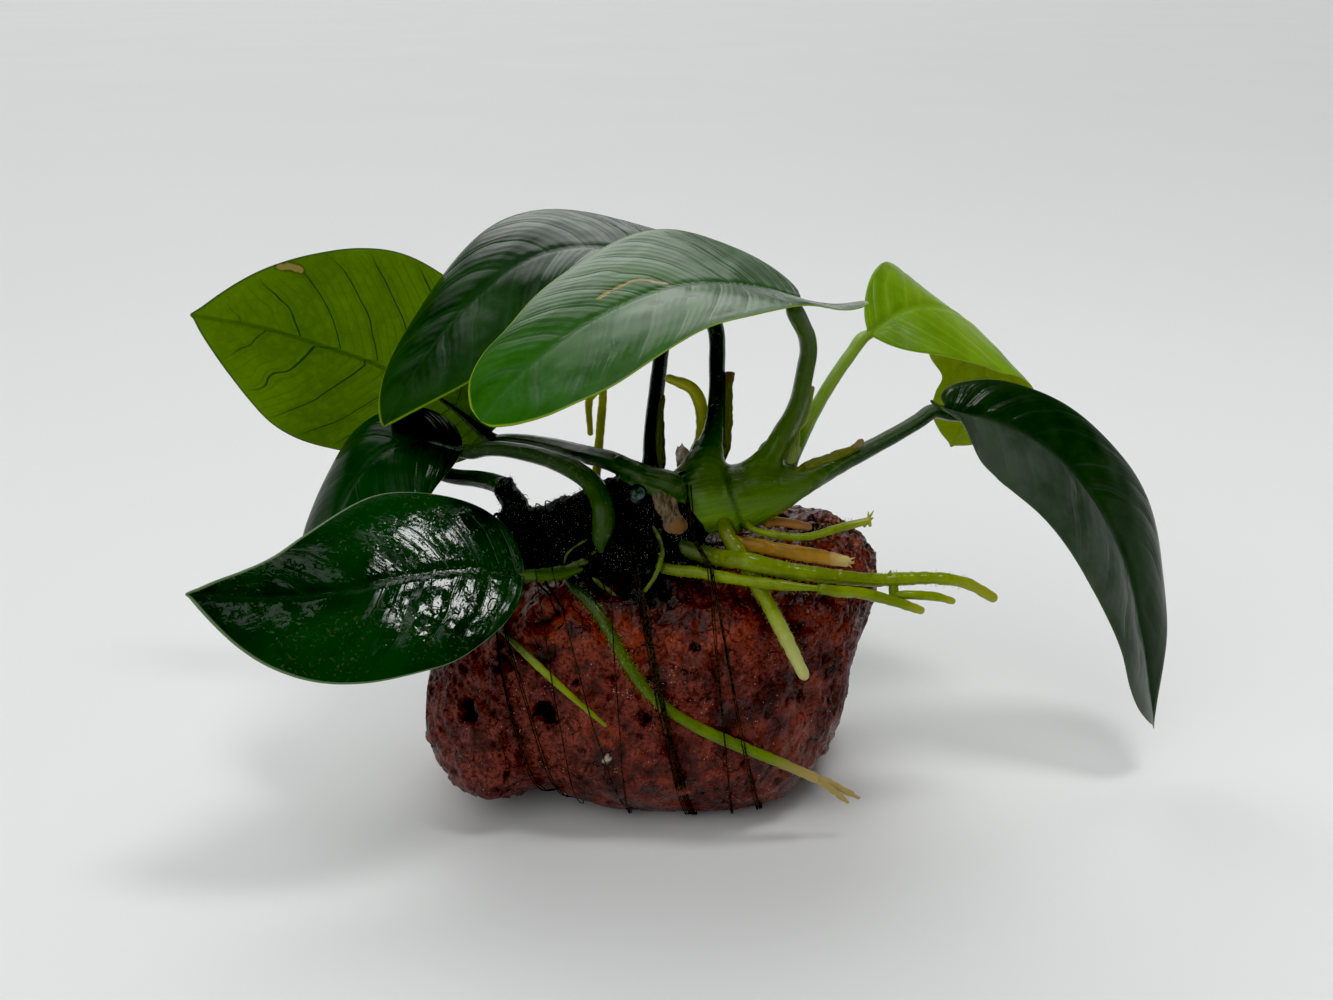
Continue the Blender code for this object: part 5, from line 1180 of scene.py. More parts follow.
def fine_blade(name, blade, look, slot_name, rows=136, cols=79, veins=9.0, lift=0.22, jitter=0.35, seed=1, groove=0.34, blunt=0.0, deeper=0.0):
    """Both faces of a blade: soft pillows between its side veins, a midrib groove above and a rib below."""
    t = np.linspace(0, 1, rows)
    s = np.linspace(-1, 1, cols)
    s = np.sign(s) * np.abs(s) ** 0.92
    tt, ss = np.meshgrid(t, s, indexing="ij")
    x, y = blade.flat(tt, ss)
    if blunt:
        start = blade.length - 2.2 * blunt
        x = np.where(x > start, start + 1.2 * blunt * np.tanh((x - start) / (1.2 * blunt)), x)
    mid, n = blade.bend(x, y), blade.normal(x, y)
    ex_l, ey_l = blade.flat(tt, np.ones_like(tt))
    ex_r, ey_r = blade.flat(tt, -np.ones_like(tt))
    half = np.where(ss >= 0, np.abs(ey_l), np.abs(ey_r))
    edge = np.minimum((1 - np.abs(ss)) * half * 0.9, (1 - tt) * blade.length * 0.7 + (1 - np.abs(ss)) * 3)
    rib = np.abs(y)
    side = np.where(ss >= 0, 0.0, 31.7)
    # side veins: uneven spacing, each half offset from the other, with a slight waver on the way out
    wander = value_noise(np.stack([tt * veins * 0.8 + side, np.abs(ss) * 0.6, side + 0 * tt], -1), seed)
    waver = value_noise(np.stack([tt * veins * 1.3 + side, np.abs(ss) * 5.0, side + 0 * tt], -1), seed + 5)
    vein = tt * veins + np.where(ss > 0, 0.37, 0.0) + jitter * wander + 0.10 * waver * np.clip(np.abs(ss) * 2, 0, 1)
    d = np.abs(vein % 1.0 - 0.5)                      # 0 on a vein, 0.5 between two
    pillow = np.sin(np.pi * d) ** 0.75
    bold = 0.65 + 0.5 * value_noise(np.stack([np.floor(vein + 0.5) * 1.7, side, 0 * tt], -1), seed + 9)
    fade = np.clip(edge / 3.5, 0, 1) * np.clip((0.985 - tt) / 0.12, 0, 1) * np.clip(tt * 14, 0, 1)
    env = np.clip(edge / 5.0, 0, 1) * np.clip(rib / 2.5, 0, 1) * np.clip((0.97 - tt) / 0.15, 0, 1)
    env = env * env * (3 - 2 * env)
    soft = fractal(np.stack([x, y, 0 * x + seed * 7.1], -1) / 9.0, 3, seed + 3)
    rise = lift * bold * (pillow - 0.62) * env + 0.20 * soft * np.clip(edge / 6.0, 0, 1) * np.clip(rib / 3, 0, 1)
    # the half that hangs lower may be folded more deeply
    rise = rise * (1 + deeper * smoothstep(blade.bend(x, 0 * y)[..., 2] - mid[..., 2], 0.0, 1.5))
    mid = mid + n * rise[..., None]
    body = np.clip(1 - tt * 0.92, 0.06, 1)
    thin = 0.09 + 0.16 * np.clip(edge / 1.6, 0, 1)
    up = mid + n * (thin - groove * (0.35 + 0.65 * body) * np.exp(-(rib / 0.75) ** 2) * np.clip(tt * 12, 0, 1)
                    + 0.10 * np.exp(-((rib - 1.6) / 0.8) ** 2) * body)[..., None]
    low = mid - n * (thin + (0.62 * body * np.exp(-(rib / 0.8) ** 2))
                     + 0.12 * np.exp(-(d / 0.035) ** 2) * env)[..., None]
    mark = np.zeros_like(tt)
    for points, wide, strength in MARKS.get(name, []):
        gap = line_gap(x, y, points) * (1 + 0.35 * value_noise(np.stack([x, y, 0 * x], -1) / 0.9, 4))
        mark = np.maximum(mark, strength * np.clip(1.25 - gap / wide, 0, 1))
    up = up - n * (0.10 * np.clip(mark, 0, 1) * (1 + value_noise(np.stack([x, y, 0 * x], -1) / 0.5, 6)))[..., None]
    r, c = tt.shape
    verts = np.concatenate([up.reshape(-1, 3), low.reshape(-1, 3)])
    i, j = np.meshgrid(np.arange(r - 1), np.arange(c - 1), indexing="ij")
    i, j = i.ravel(), j.ravel()
    q = lambda i, j: i * c + j
    m = r * c
    top = np.stack([q(i, j), q(i, j + 1), q(i + 1, j + 1), q(i + 1, j)], 1)
    bot = np.stack([q(i, j), q(i + 1, j), q(i + 1, j + 1), q(i, j + 1)], 1) + m
    k = np.arange(r - 1)
    e0 = np.stack([q(k, 0), q(k + 1, 0), q(k + 1, 0) + m, q(k, 0) + m], 1)
    e1 = np.stack([q(k + 1, c - 1), q(k, c - 1), q(k, c - 1) + m, q(k + 1, c - 1) + m], 1)
    k = np.arange(c - 1)
    e2 = np.stack([q(0, k + 1), q(0, k), q(0, k) + m, q(0, k + 1) + m], 1)
    e3 = np.stack([q(r - 1, k), q(r - 1, k + 1), q(r - 1, k + 1) + m, q(r - 1, k) + m], 1)
    faces = np.concatenate([top, bot, e0, e1, e2, e3])
    two = lambda a: np.concatenate([a.ravel(), a.ravel()])
    attrs = {"t": two(tt), "s": two(ss), "edge": two(edge), "rib": two(rib), "vein": two(vein), "fade": two(fade),
             "mark": two(mark), "body": two(0.35 + 0.65 * body), "up": np.concatenate([np.ones(m), np.zeros(m)])}
    # faces should look outwards: test one in the middle of the upper side
    v = verts[top[len(top) // 2]]
    face_n = np.cross(v[1] - v[0], v[2] - v[0])
    if face_n @ n.reshape(-1, 3)[top[len(top) // 2][0]] < 0:
        faces = faces[:, ::-1]
    obj = to_object(name + "_fine", verts, faces, [name], attrs=attrs)
    obj.data.materials.append(look)
    return obj


# ================================================================ the creeping stem and the feet of its stalks
def chain_gap(p, path, radii):
    """Distance from points to a chain of rounded cones, and how far along the chain the nearest place is (mm)."""
    best, at, run = np.full(len(p), 1e9), np.zeros(len(p)), 0.0
    for a, b, ra, rb in zip(path[:-1], path[1:], radii[:-1], radii[1:]):
        ab = b - a
        size = math.sqrt(ab @ ab)
        h = np.clip(((p - a) @ ab) / max(size * size, 1e-9), 0, 1)
        d = np.linalg.norm(p - (a + h[:, None] * ab), axis=1) - (ra + (rb - ra) * h)
        near = d < best
        best, at = np.where(near, d, best), np.where(near, run + h * size, at)
        run += size
    return best, at


def remeshed(solids, voxel):
    """One closed skin round several closed solids that overlap, worked out in millimetres."""
    v, f, _ = join_solids(solids)
    mesh = bpy.data.meshes.new("rough_skin")
    mesh.from_pydata(v.tolist(), [], f)
    obj = bpy.data.objects.new("rough_skin", mesh)
    bpy.context.scene.collection.objects.link(obj)
    mod = obj.modifiers.new("skin", "REMESH")
    mod.mode = "VOXEL"
    mod.voxel_size = voxel
    mod.adaptivity = 0.0
    out = bpy.data.meshes.new_from_object(obj.evaluated_get(bpy.context.evaluated_depsgraph_get()))
    co = np.zeros(len(out.vertices) * 3)
    out.vertices.foreach_get("co", co)
    faces = [list(q.vertices) for q in out.polygons]
    bpy.data.objects.remove(obj, do_unlink=True)
    bpy.data.meshes.remove(mesh)
    bpy.data.meshes.remove(out)
    return co.reshape(-1, 3), faces


# how each stalk's colour runs from its foot to its blade (tone), how much its foot widens, and over how many mm
STALK_SKIN = {
    "stalk_back_left": ((0.30, 0.16, 0.08), 0.0, 3.4), "stalk_top_left": ((0.26, 0.08, 0.05), 0.0, 3.6),
    "stalk_top": ((0.50, 0.44, 0.36), 0.0, 4.4), "stalk_front_left": ((0.34, 0.46, 0.42), 0.10, 2.5),
    "stalk_left": ((0.30, 0.26, 0.16), 0.0, 3.0), "stalk_young": ((0.72, 0.90, 0.92), 0.15, 4.0),
    "stalk_right": ((0.42, 0.20, 0.14), 0.0, 5.5), "stalk_rear": ((0.10, 0.02, 0.02), 0.25, 5.0),
    "stalk_low_left": ((0.12, 0.14, 0.12), 0.0, 3.0)}
# the flared feet of the stalks (x, y, z, radius) and the tone at their start and end
FEET = {
    "stalk_top_left": ([(9.9, -6.4, 62.5, 5.5), (10.1, -6.0, 65.6, 5.1), (10.6, -5.2, 68.4, 4.2), (11.6, -3.8, 71.4, 2.95),
                        (12.5, -1.7, 74.4, 2.15), (13.2, 1.6, 78.4, 1.72)], 0.66, 0.20),
    "stalk_top": ([(17.0, -5.9, 62.2, 5.1), (20.2, -5.1, 65.8, 4.0), (22.2, -3.9, 68.5, 3.05), (24.1, -2.8, 71.0, 2.4),
                   (26.5, -1.5, 75.2, 1.95)], 0.64, 0.48),
    "stalk_right": ([(18.4, -5.9, 61.5, 4.9), (23.0, -5.6, 63.0, 4.1), (27.2, -4.8, 64.6, 3.3), (31.3, -3.6, 66.1, 2.65),
                     (36.0, -1.3, 67.6, 2.2)], 0.70, 0.32),
    "stalk_back_left": ([(5.4, -10.6, 64.4, 2.3), (3.4, -11.3, 66.6, 2.4), (-1.5, -10.2, 69.0, 2.15), (-5.5, -7.5, 70.4, 2.0)], 0.30, 0.24),
    "stalk_left": ([(-9.4, -12.0, 61.5, 2.4), (-9.0, -14.4, 63.5, 2.2), (-8.6, -16.2, 63.6, 1.7)], 0.05, 0.10),
    "stalk_front_left": ([(-7.5, -14.0, 56.5, 1.3), (-10.0, -16.6, 54.5, 1.45), (-12.0, -18.1, 53.7, 1.5)], 0.20, 0.34),
    "stalk_low_left": ([(-22.0, -13.0, 51.5, 2.6), (-23.8, -12.8, 55.5, 3.3), (-25.2, -11.6, 60.0, 2.9), (-26.0, -10.0, 63.3, 2.35),
                        (-28.2, -6.4, 65.2, 2.0)], 0.22, 0.14)}
# rings left by shed leaves on the green end: (X where it crosses the top, lean, depth)
RINGS = [(16.2, 0.30, 0.60)]


def stalk_tone(name, share):
    return np.interp(share, [0, 0.35, 1.0], STALK_SKIN[name][0])


def make_crown(lie):
    """The rhizome with the feet of its stalks melted into it, rings, a cork scar and the old end's crust."""
    body_path, body_radii = lie["rhizome"]
    fine, _ = curve_through(np.column_stack([body_path, body_radii]), 34)
    chains = [("rhizome", fine[:, :3], fine[:, 3])]
    for name, (tones, widen, reach) in STALK_SKIN.items():
        full, rad = lie[name]
        q, length = curve_through(np.column_stack([full, rad]), 60)
        run = np.concatenate([[0], np.cumsum(np.linalg.norm(np.diff(q[:, :3], axis=0), axis=1))])
        if name in FEET:
            foot, _ = curve_through(FEET[name][0], 40)
            chains.append((name, foot[:, :3], foot[:, 3] * np.interp(np.arange(40), [30, 39], [1.0, 0.93])))
            continue
        inner, _ = chain_gap(q[:, :3], fine[:, :3], fine[:, 3])
        out_at = run[np.argmax(inner > 0)]                      # where the stalk leaves the body
        keep = run < out_at + reach * 1.9
        away = np.maximum(run - out_at, 0)
        grow = 1 + widen * np.exp(-(away / reach) ** 1.5) - 0.10 * smoothstep(away, reach * 0.8, reach * 1.7)
        chains.append((name, q[keep, :3], (q[:, 3] * grow)[keep]))
    chains.append(("cork", np.array([(2.5, -12.0, 65.2), (3.2, -12.3, 64.0), (3.7, -12.4, 62.9)]), np.array([1.6, 1.95, 1.55])))
    chains.append(("cork_low", np.array([(5.0, -12.3, 60.3), (5.0, -12.5, 59.6), (4.7, -12.2, 58.7)]), np.array([1.75, 2.1, 1.8])))
    # matted growth that thickens the old end
    chains.append(("mat", np.array([(-12.0, -9.5, 59.5), (-7.5, -8.8, 61.6), (-2.5, -8.2, 63.0), (2.0, -6.5, 63.2), (5.0, -4.0, 63.0)]),
                   np.array([4.6, 5.2, 5.2, 4.6, 3.6])))
    chains.append(("mat", np.array([(-19.0, -14.5, 54.0), (-12.0, -16.0, 54.0), (-4.0, -16.2, 54.6), (3.0, -15.2, 55.4), (8.0, -12.6, 56.4)]),
                   np.array([2.6, 3.0, 3.1, 3.0, 2.2])))
    solids = []
    for name, path, radii in chains:
        v, f, a = tube(path, radii + 0.25, 20)
        solids.append((v, f, {}))
    verts, faces = remeshed(solids, 0.42)

    def level(p, parts=False):
        gaps, runs = [], []
        for name, path, radii in chains:
            g, r = chain_gap(p, path, radii)
            gaps.append(g)
            runs.append(r)
        g = np.array(gaps)
        k = 0.85
        low = g.min(0)
        f = low - k * np.log(np.exp(-(g - low) / k).sum(0))
        return (f, g, np.array(runs)) if parts else f

    p = verts
    for _ in range(4):
        f = level(p)
        e = 0.15
        grad = np.stack([(level(p + np.eye(3)[i] * e) - f) / e for i in range(3)], -1)
        p = p - unit(grad) * np.clip(f, -0.8, 0.8)[:, None]
    f, g, runs = level(p, True)
    grad = unit(np.stack([(level(p + np.eye(3)[i] * 0.15) - f) for i in range(3)], -1))
    weight = np.exp(-(g - g.min(0)) / 0.9)
    weight /= weight.sum(0)
    # the old end is black and crusted, the growing end green
    x = p[:, 0]
    front = smoothstep(-p[:, 1], 6.0, 12.0)
    old = smoothstep(11.4 - 4.8 * smoothstep(p[:, 2], 58.0, 65) + 1.0 * value_noise(p / 2.5, 4), x - 1.2, x + 1.2)
    kinds = np.array([c[0] for c in chains])
    body, corky, lump, matted = (weight[kinds == k].sum(0) for k in ("rhizome", "cork", "cork_low", "mat"))
    corky = corky + lump
    dark_feet = weight[(kinds == "stalk_left") | (kinds == "stalk_low_left") | (kinds == "stalk_front_left")].sum(0)
    stalky = 1 - body - corky - matted - 0.8 * dark_feet
    old = old * (1 - np.clip(stalky * 1.5 - 0.2, 0, 1))
    old = np.maximum(old, smoothstep(matted, 0.35, 0.6) * smoothstep(9.5 - x, -1.0, 1.5))
    cork = np.clip(corky * 1.5, 0, 1)
    old = old * (1 - smoothstep(corky, 0.28, 0.5))
    tone = body * (0.56 + 0.30 * smoothstep(63.5 - p[:, 2], -1.0, 3.0) - 0.32 * smoothstep(p[:, 2], 64.5, 68.5)) + (corky + matted) * 0.3
    for i, (name, path, radii) in enumerate(chains):
        if name in FEET:
            length = np.linalg.norm(np.diff(path, axis=0), axis=1).sum()
            share = np.clip(runs[i] / length, 0, 1)
            here = FEET[name][1] + (FEET[name][2] - FEET[name][1]) * share
            if name == "stalk_top_left":
                lean_x = p[:, 0] - np.interp(p[:, 2], path[:, 2], path[:, 0])
                here = here + 0.16 * np.clip(lean_x / 3.0, -1, 1) - 0.10 * smoothstep(p[:, 2], 66.0, 72.0)
            if name == "stalk_right":
                rise = p[:, 2] - np.interp(p[:, 0], path[:, 0], path[:, 2])
                here = here + 0.12 * smoothstep(-rise, -1.0, 2.5)
            tone = tone + weight[i] * here
        elif name in STALK_SKIN:
            total = np.linalg.norm(np.diff(lie[name][0], axis=0), axis=1).sum()
            tone = tone + weight[i] * stalk_tone(name, np.clip(runs[i] / total, 0, 1))
    # crust on the old end, faint lengthwise folds and rings on the green end
    crust = old * (0.55 * fractal(p / 2.1, 3, 12) + 0.35 * np.abs(value_noise(p / 0.9, 15)))
    fold = 0.10 * value_noise(np.stack([p[:, 0] / 6.0, p[:, 1] / 1.3, p[:, 2] / 1.3], -1), 21) * (1 - old)
    ring = np.zeros(len(p))
    on_body = np.clip(body + stalky, 0, 1) * (1 - old) * smoothstep(69.5 - p[:, 2], 0.0, 2.0)
    for at, lean, depth in RINGS:
        off = x - (at + lean * (65.0 - p[:, 2]) + 0.35 * value_noise(p / 2.0, 33))
        ring = ring - depth * np.exp(-(off / 0.42) ** 2) + 0.5 * depth * np.exp(-((off + 0.95) / 0.55) ** 2)
    lift = crust + fold + ring * on_body + 0.13 * cork * np.abs(value_noise(p / 0.8, 19))
    # a collar swells under the foot of the upper stalks, with a crease above it
    faced = front * np.clip(1 - old - cork, 0, 1) * smoothstep(x, 8.0, 11.0) * smoothstep(-x, -21.0, -17.0)
    high = p[:, 2] - 0.5 * value_noise(p / 3.0, 41)
    lift = lift + faced * (0.62 * np.exp(-((high - 65.6) / 1.7) ** 2) - 0.34 * np.exp(-((high - 68.9) / 0.8) ** 2))
    p = p + grad * lift[:, None]
    # painted shade: the green skin is darker along each ring's crease
    tone = tone - 0.16 * on_body * np.exp(-(np.min([np.abs(x - (a + l * (65.0 - p[:, 2]))) for a, l, _ in RINGS], 0) / 0.5) ** 2)
    axis_mid = np.stack([np.interp(x, fine[:, 0], fine[:, i]) for i in range(3)], -1)
    turn = np.arctan2(p[:, 2] - axis_mid[:, 2], p[:, 1] - axis_mid[:, 1])
    p[:, 2] = np.maximum(p[:, 2], 0.5)
    obj = to_object("rhizome_fine", p, faces, ["rhizome"],
                    attrs={"tone": tone, "old": old, "scar": cork, "lump": lump, "run": x, "ca": np.cos(turn), "sa": np.sin(turn),
                           "membrane": 0 * x})
    turn_outward(obj)
    return obj, p, grad, old


# ================================================================ build
BIG_PORES = [((-35.1, -21.4, 25.1), 1.75, 3.0), ((-19.5, -25.9, 26.6), 2.0, 3.2), ((-0.2, -28.6, 26.6), 0.95, 1.8),
             ((29.9, -20.4, 32.1), 0.95, 1.8), ((28.6, -21.5, 36.0), 0.7, 1.2), ((3.8, -16.9, 48.1), 0.85, 1.4), ((9.0, -24, 39.0), 0.8, 1.2),
             ((11.5, -29, 30.5), 0.6, 1.0), ((-13.5, -28, 33.0), 0.8, 1.3), ((17.0, -29.5, 22.0), 0.6, 1.0), ((-27.5, -25, 14.0), 0.9, 1.2)]
WHITE_CHIP = ((-7.8, -30.2, 18.4), 0.80)
# fine strands of each loop: (X at the floor, lean), as on the model's own loops
STRANDS = {
    "thread_1": [(-18.6, 0.290), (-19.3, 0.275)], "thread_2": [(-15.3, 0.265), (-15.9, 0.26)],
    "thread_3": [(-13.2, 0.136)], "thread_4": [(-3.3, 0.262), (-3.9, 0.060)],
    "thread_5": [(9.3, 0.205), (8.9, 0.200), (8.5, 0.196), (8.1, 0.205), (9.7, 0.212), (7.6, 0.190), (9.0, 0.215)],
    "thread_6": [(16.6, 0.090), (16.9, 0.105)], "thread_7": [(22.5, 0.190), (22.0, 0.186), (22.9, 0.205)]}


def stone_detail(P):
    """How far the fine skin stands from the plain stone at each point, the pores and hollows where shade is painted,
    its worn faces and so on.
    """
    warp = P + 2.4 * np.stack([fractal(P / 9.0, 2, 5), fractal(P / 9.0, 2, 6), fractal(P / 9.0, 2, 7)], -1)
    d1, _ = cells(warp / 7.5, 3)
    d2, _ = cells(warp / 3.2, 8)
    crag, knobs = 0.52 - d1, 0.52 - d2
    rough = fractal(P / 5.2, 4, 11)
    small = fractal(P / 1.3, 3, 23)
    ridge = 1 - 2 * np.abs(value_noise(P / 3.4 + 3.0, 37))
    patch = fractal(P / 12.0, 2, 31)
    # worn, dull skin low at the front and on the left lobe
    worn = np.clip((patch + 0.20) * 1.7, 0, 1) * np.clip((44 - P[..., 2]) / 12, 0, 1) * np.clip((-P[..., 1] + 8) / 14, 0, 1)
    left = smoothstep(-P[..., 0], 20, 30) * smoothstep(-P[..., 1], -6, 8)
    right = smoothstep(P[..., 0], 24, 33)
    worn = np.maximum(worn * 0.85, left * np.clip(0.75 + 0.5 * patch, 0, 1))
    # fine flow lines: slanting on the left lobe, steep on the right flank
    a = np.stack([P[..., 0] * 0.45 + P[..., 2] * 0.90, P[..., 1] * 0.4, (P[..., 2] * 0.45 - P[..., 0] * 0.90) * 0.14], -1)
    b = np.stack([P[..., 0] * 1.0 - P[..., 2] * 0.25, P[..., 1] * 1.0, P[..., 2] * 0.16], -1)
    bend = 0.8 * fractal(P / 7.0, 2, 44)[..., None]
    lines_l = 1 - 2 * np.abs(value_noise(a / 1.15 + bend, 51))
    lines_r = 1 - 2 * np.abs(value_noise(b / 1.05 + bend, 52))
    creek = np.clip(1 - np.abs(fractal(warp / 6.5, 3, 63)) / 0.055, 0, 1)
    h = (1.15 * crag * (1 - 0.50 * worn) + 0.50 * knobs * (1 - 0.6 * worn) + 0.60 * rough * (1 - 0.3 * worn)
         + 0.22 * small * (1 - 0.35 * worn) + 0.30 * ridge * (1 - 0.4 * worn) + 0.42 * lines_l * left + 0.34 * lines_r * right
         - 0.50 * creek * (1 - 0.4 * worn))
    # pores: dented in here, and painted near black in the material as shade in them
    dp, tagp = cells(P / 3.9, 41)
    pit = np.clip(1 - dp / (0.10 + 0.17 * tagp), 0, 1) ** 0.7 * (tagp > 0.60)
    dq, tagq = cells(P / 1.7, 43)
    pit2 = np.clip(1 - dq / (0.12 + 0.15 * tagq), 0, 1) ** 0.7 * (tagq > 0.55)
    h = h - 1.2 * pit - 0.45 * pit2
    pore_shade = np.clip(pit * 1.2 + 0.7 * pit2, 0, 1)
    for (x, y, z), rad, deep in BIG_PORES:
        dd = np.linalg.norm((P - np.array([x, y, z])) * np.array([1, 0.35, 1]), axis=-1) / rad
        dd = dd * (1 + 0.42 * value_noise(P / 1.3, 3) + 0.20 * value_noise(P / 0.55, 13))
        hole = np.clip((1.15 - dd) * 2.6, 0, 1)
        hole = hole * hole * (3 - 2 * hole)
        h = h - deep * hole
        pore_shade = np.maximum(pore_shade, np.clip(hole * 1.25, 0, 1))
    (x, y, z), rad = WHITE_CHIP
    dd = np.linalg.norm((P - np.array([x, y, z])) * np.array([1, 0.35, 1.15]), axis=-1) / rad * (1 + 0.35 * value_noise(P / 0.8, 9))
    chip = np.clip((1.12 - dd) * 6, 0, 1)
    h = h + 0.40 * chip
    # black growth on the stone under the creeping stem and along the thick bundle of thread
    near = np.exp(-((P[..., 0] - 0.0) / 17.0) ** 4) * smoothstep(P[..., 2], 40.5, 49.0) * smoothstep(20 - np.abs(P[..., 1] + 8), 0, 10)
    strip = np.exp(-((P[..., 0] - (8.6 - 0.2 * P[..., 2])) / 1.4) ** 2) * 0.55 * smoothstep(P[..., 2], 4, 40)
    grime = np.clip(np.maximum(near * (0.9 + 0.5 * patch), strip * (0.8 + 0.8 * rough)), 0, 1)
    warm = smoothstep(P[..., 2] + 9 * patch - 3 * np.abs(P[..., 0] + 2) / 12, 27, 42) * smoothstep(26 - P[..., 0], 0, 12)
    warm = np.maximum(warm, 0.55 * smoothstep(value_noise(P / 6.0, 71), 0.15, 0.6))
    # the hollows and creeks where shade is painted darker in the material
    deep = np.clip(smoothstep(-h, 0.05, 0.95) * 0.75 + 0.6 * creek * (1 - 0.3 * worn), 0, 1)
    return h, pore_shade, worn, chip, grime, warm, deep


def make_stone(west, east):
    turns, stations = 352, 244
    share = np.linspace(0, 1, stations)
    xs = west[0] + (east[0] - west[0]) * (0.72 * (0.5 - 0.5 * np.cos(np.pi * (0.012 + 0.976 * share))) + 0.28 * (0.0008 + 0.9984 * share))
    turn = np.linspace(0, 2 * np.pi, turns, endpoint=False)
    turn = turn + 0.22 * np.sin(turn)                       # closer together at the front and top than below
    ring = stone_rings(xs, turn)
    n0, m0 = ring.shape[:2]
    out = unit(np.stack([(stone_level(ring + e) - stone_level(ring - e)) / 0.6 for e in np.eye(3) * 0.3], -1))
    soft = np.clip((ring[..., 2] - 1.8) / 3.0, 0, 1)
    h, pore_shade, worn, chip, grime, warm, deep = stone_detail(ring)
    ends = np.clip(np.minimum(np.arange(n0), np.arange(n0)[::-1]) / 5.0, 0, 1)[:, None]
    ring = ring + out * (np.clip(h, -3.2, 1.0) * soft * ends)[..., None]
    ring[..., 2] = np.maximum(ring[..., 2], 0.0)
    verts = np.concatenate([ring.reshape(-1, 3), [west, east]])
    i, j = np.meshgrid(np.arange(n0 - 1), np.arange(m0), indexing="ij")
    i, j = i.ravel(), j.ravel()
    k = (j + 1) % m0
    faces = np.stack([i * m0 + j, (i + 1) * m0 + j, (i + 1) * m0 + k, i * m0 + k], 1).tolist()
    for j in range(m0):
        k = (j + 1) % m0
        faces.append([n0 * m0, j, k])
        faces.append([n0 * m0 + 1, (n0 - 1) * m0 + k, (n0 - 1) * m0 + j])
    pad = lambda a: np.concatenate([a.ravel(), [0, 0]])
    stone = to_object("lava_stone_fine", verts, faces, ["lava_stone"],
                      attrs={"pore_shade": pad(pore_shade), "dull": pad(worn), "chip": pad(chip), "grime": pad(grime), "warm": pad(warm), "deep": pad(deep)})
    turn_outward(stone)
    stone.data.materials.append(stone_material())
    return ring, out, grime


def lead_in(path, radii, parent, air=0.0):
    """The same rod, started inside the one it grows from."""
    axis, size = parent
    i = np.linalg.norm(axis - path[0], axis=1).argmin()
    start = axis[i] + (path[0] - axis[i]) * 0.15
    middle = axis[i] + (path[0] - axis[i]) * 0.60
    return np.concatenate([[start, middle], path]), np.concatenate([[radii[0] * 0.9, radii[0] * 1.0], radii])


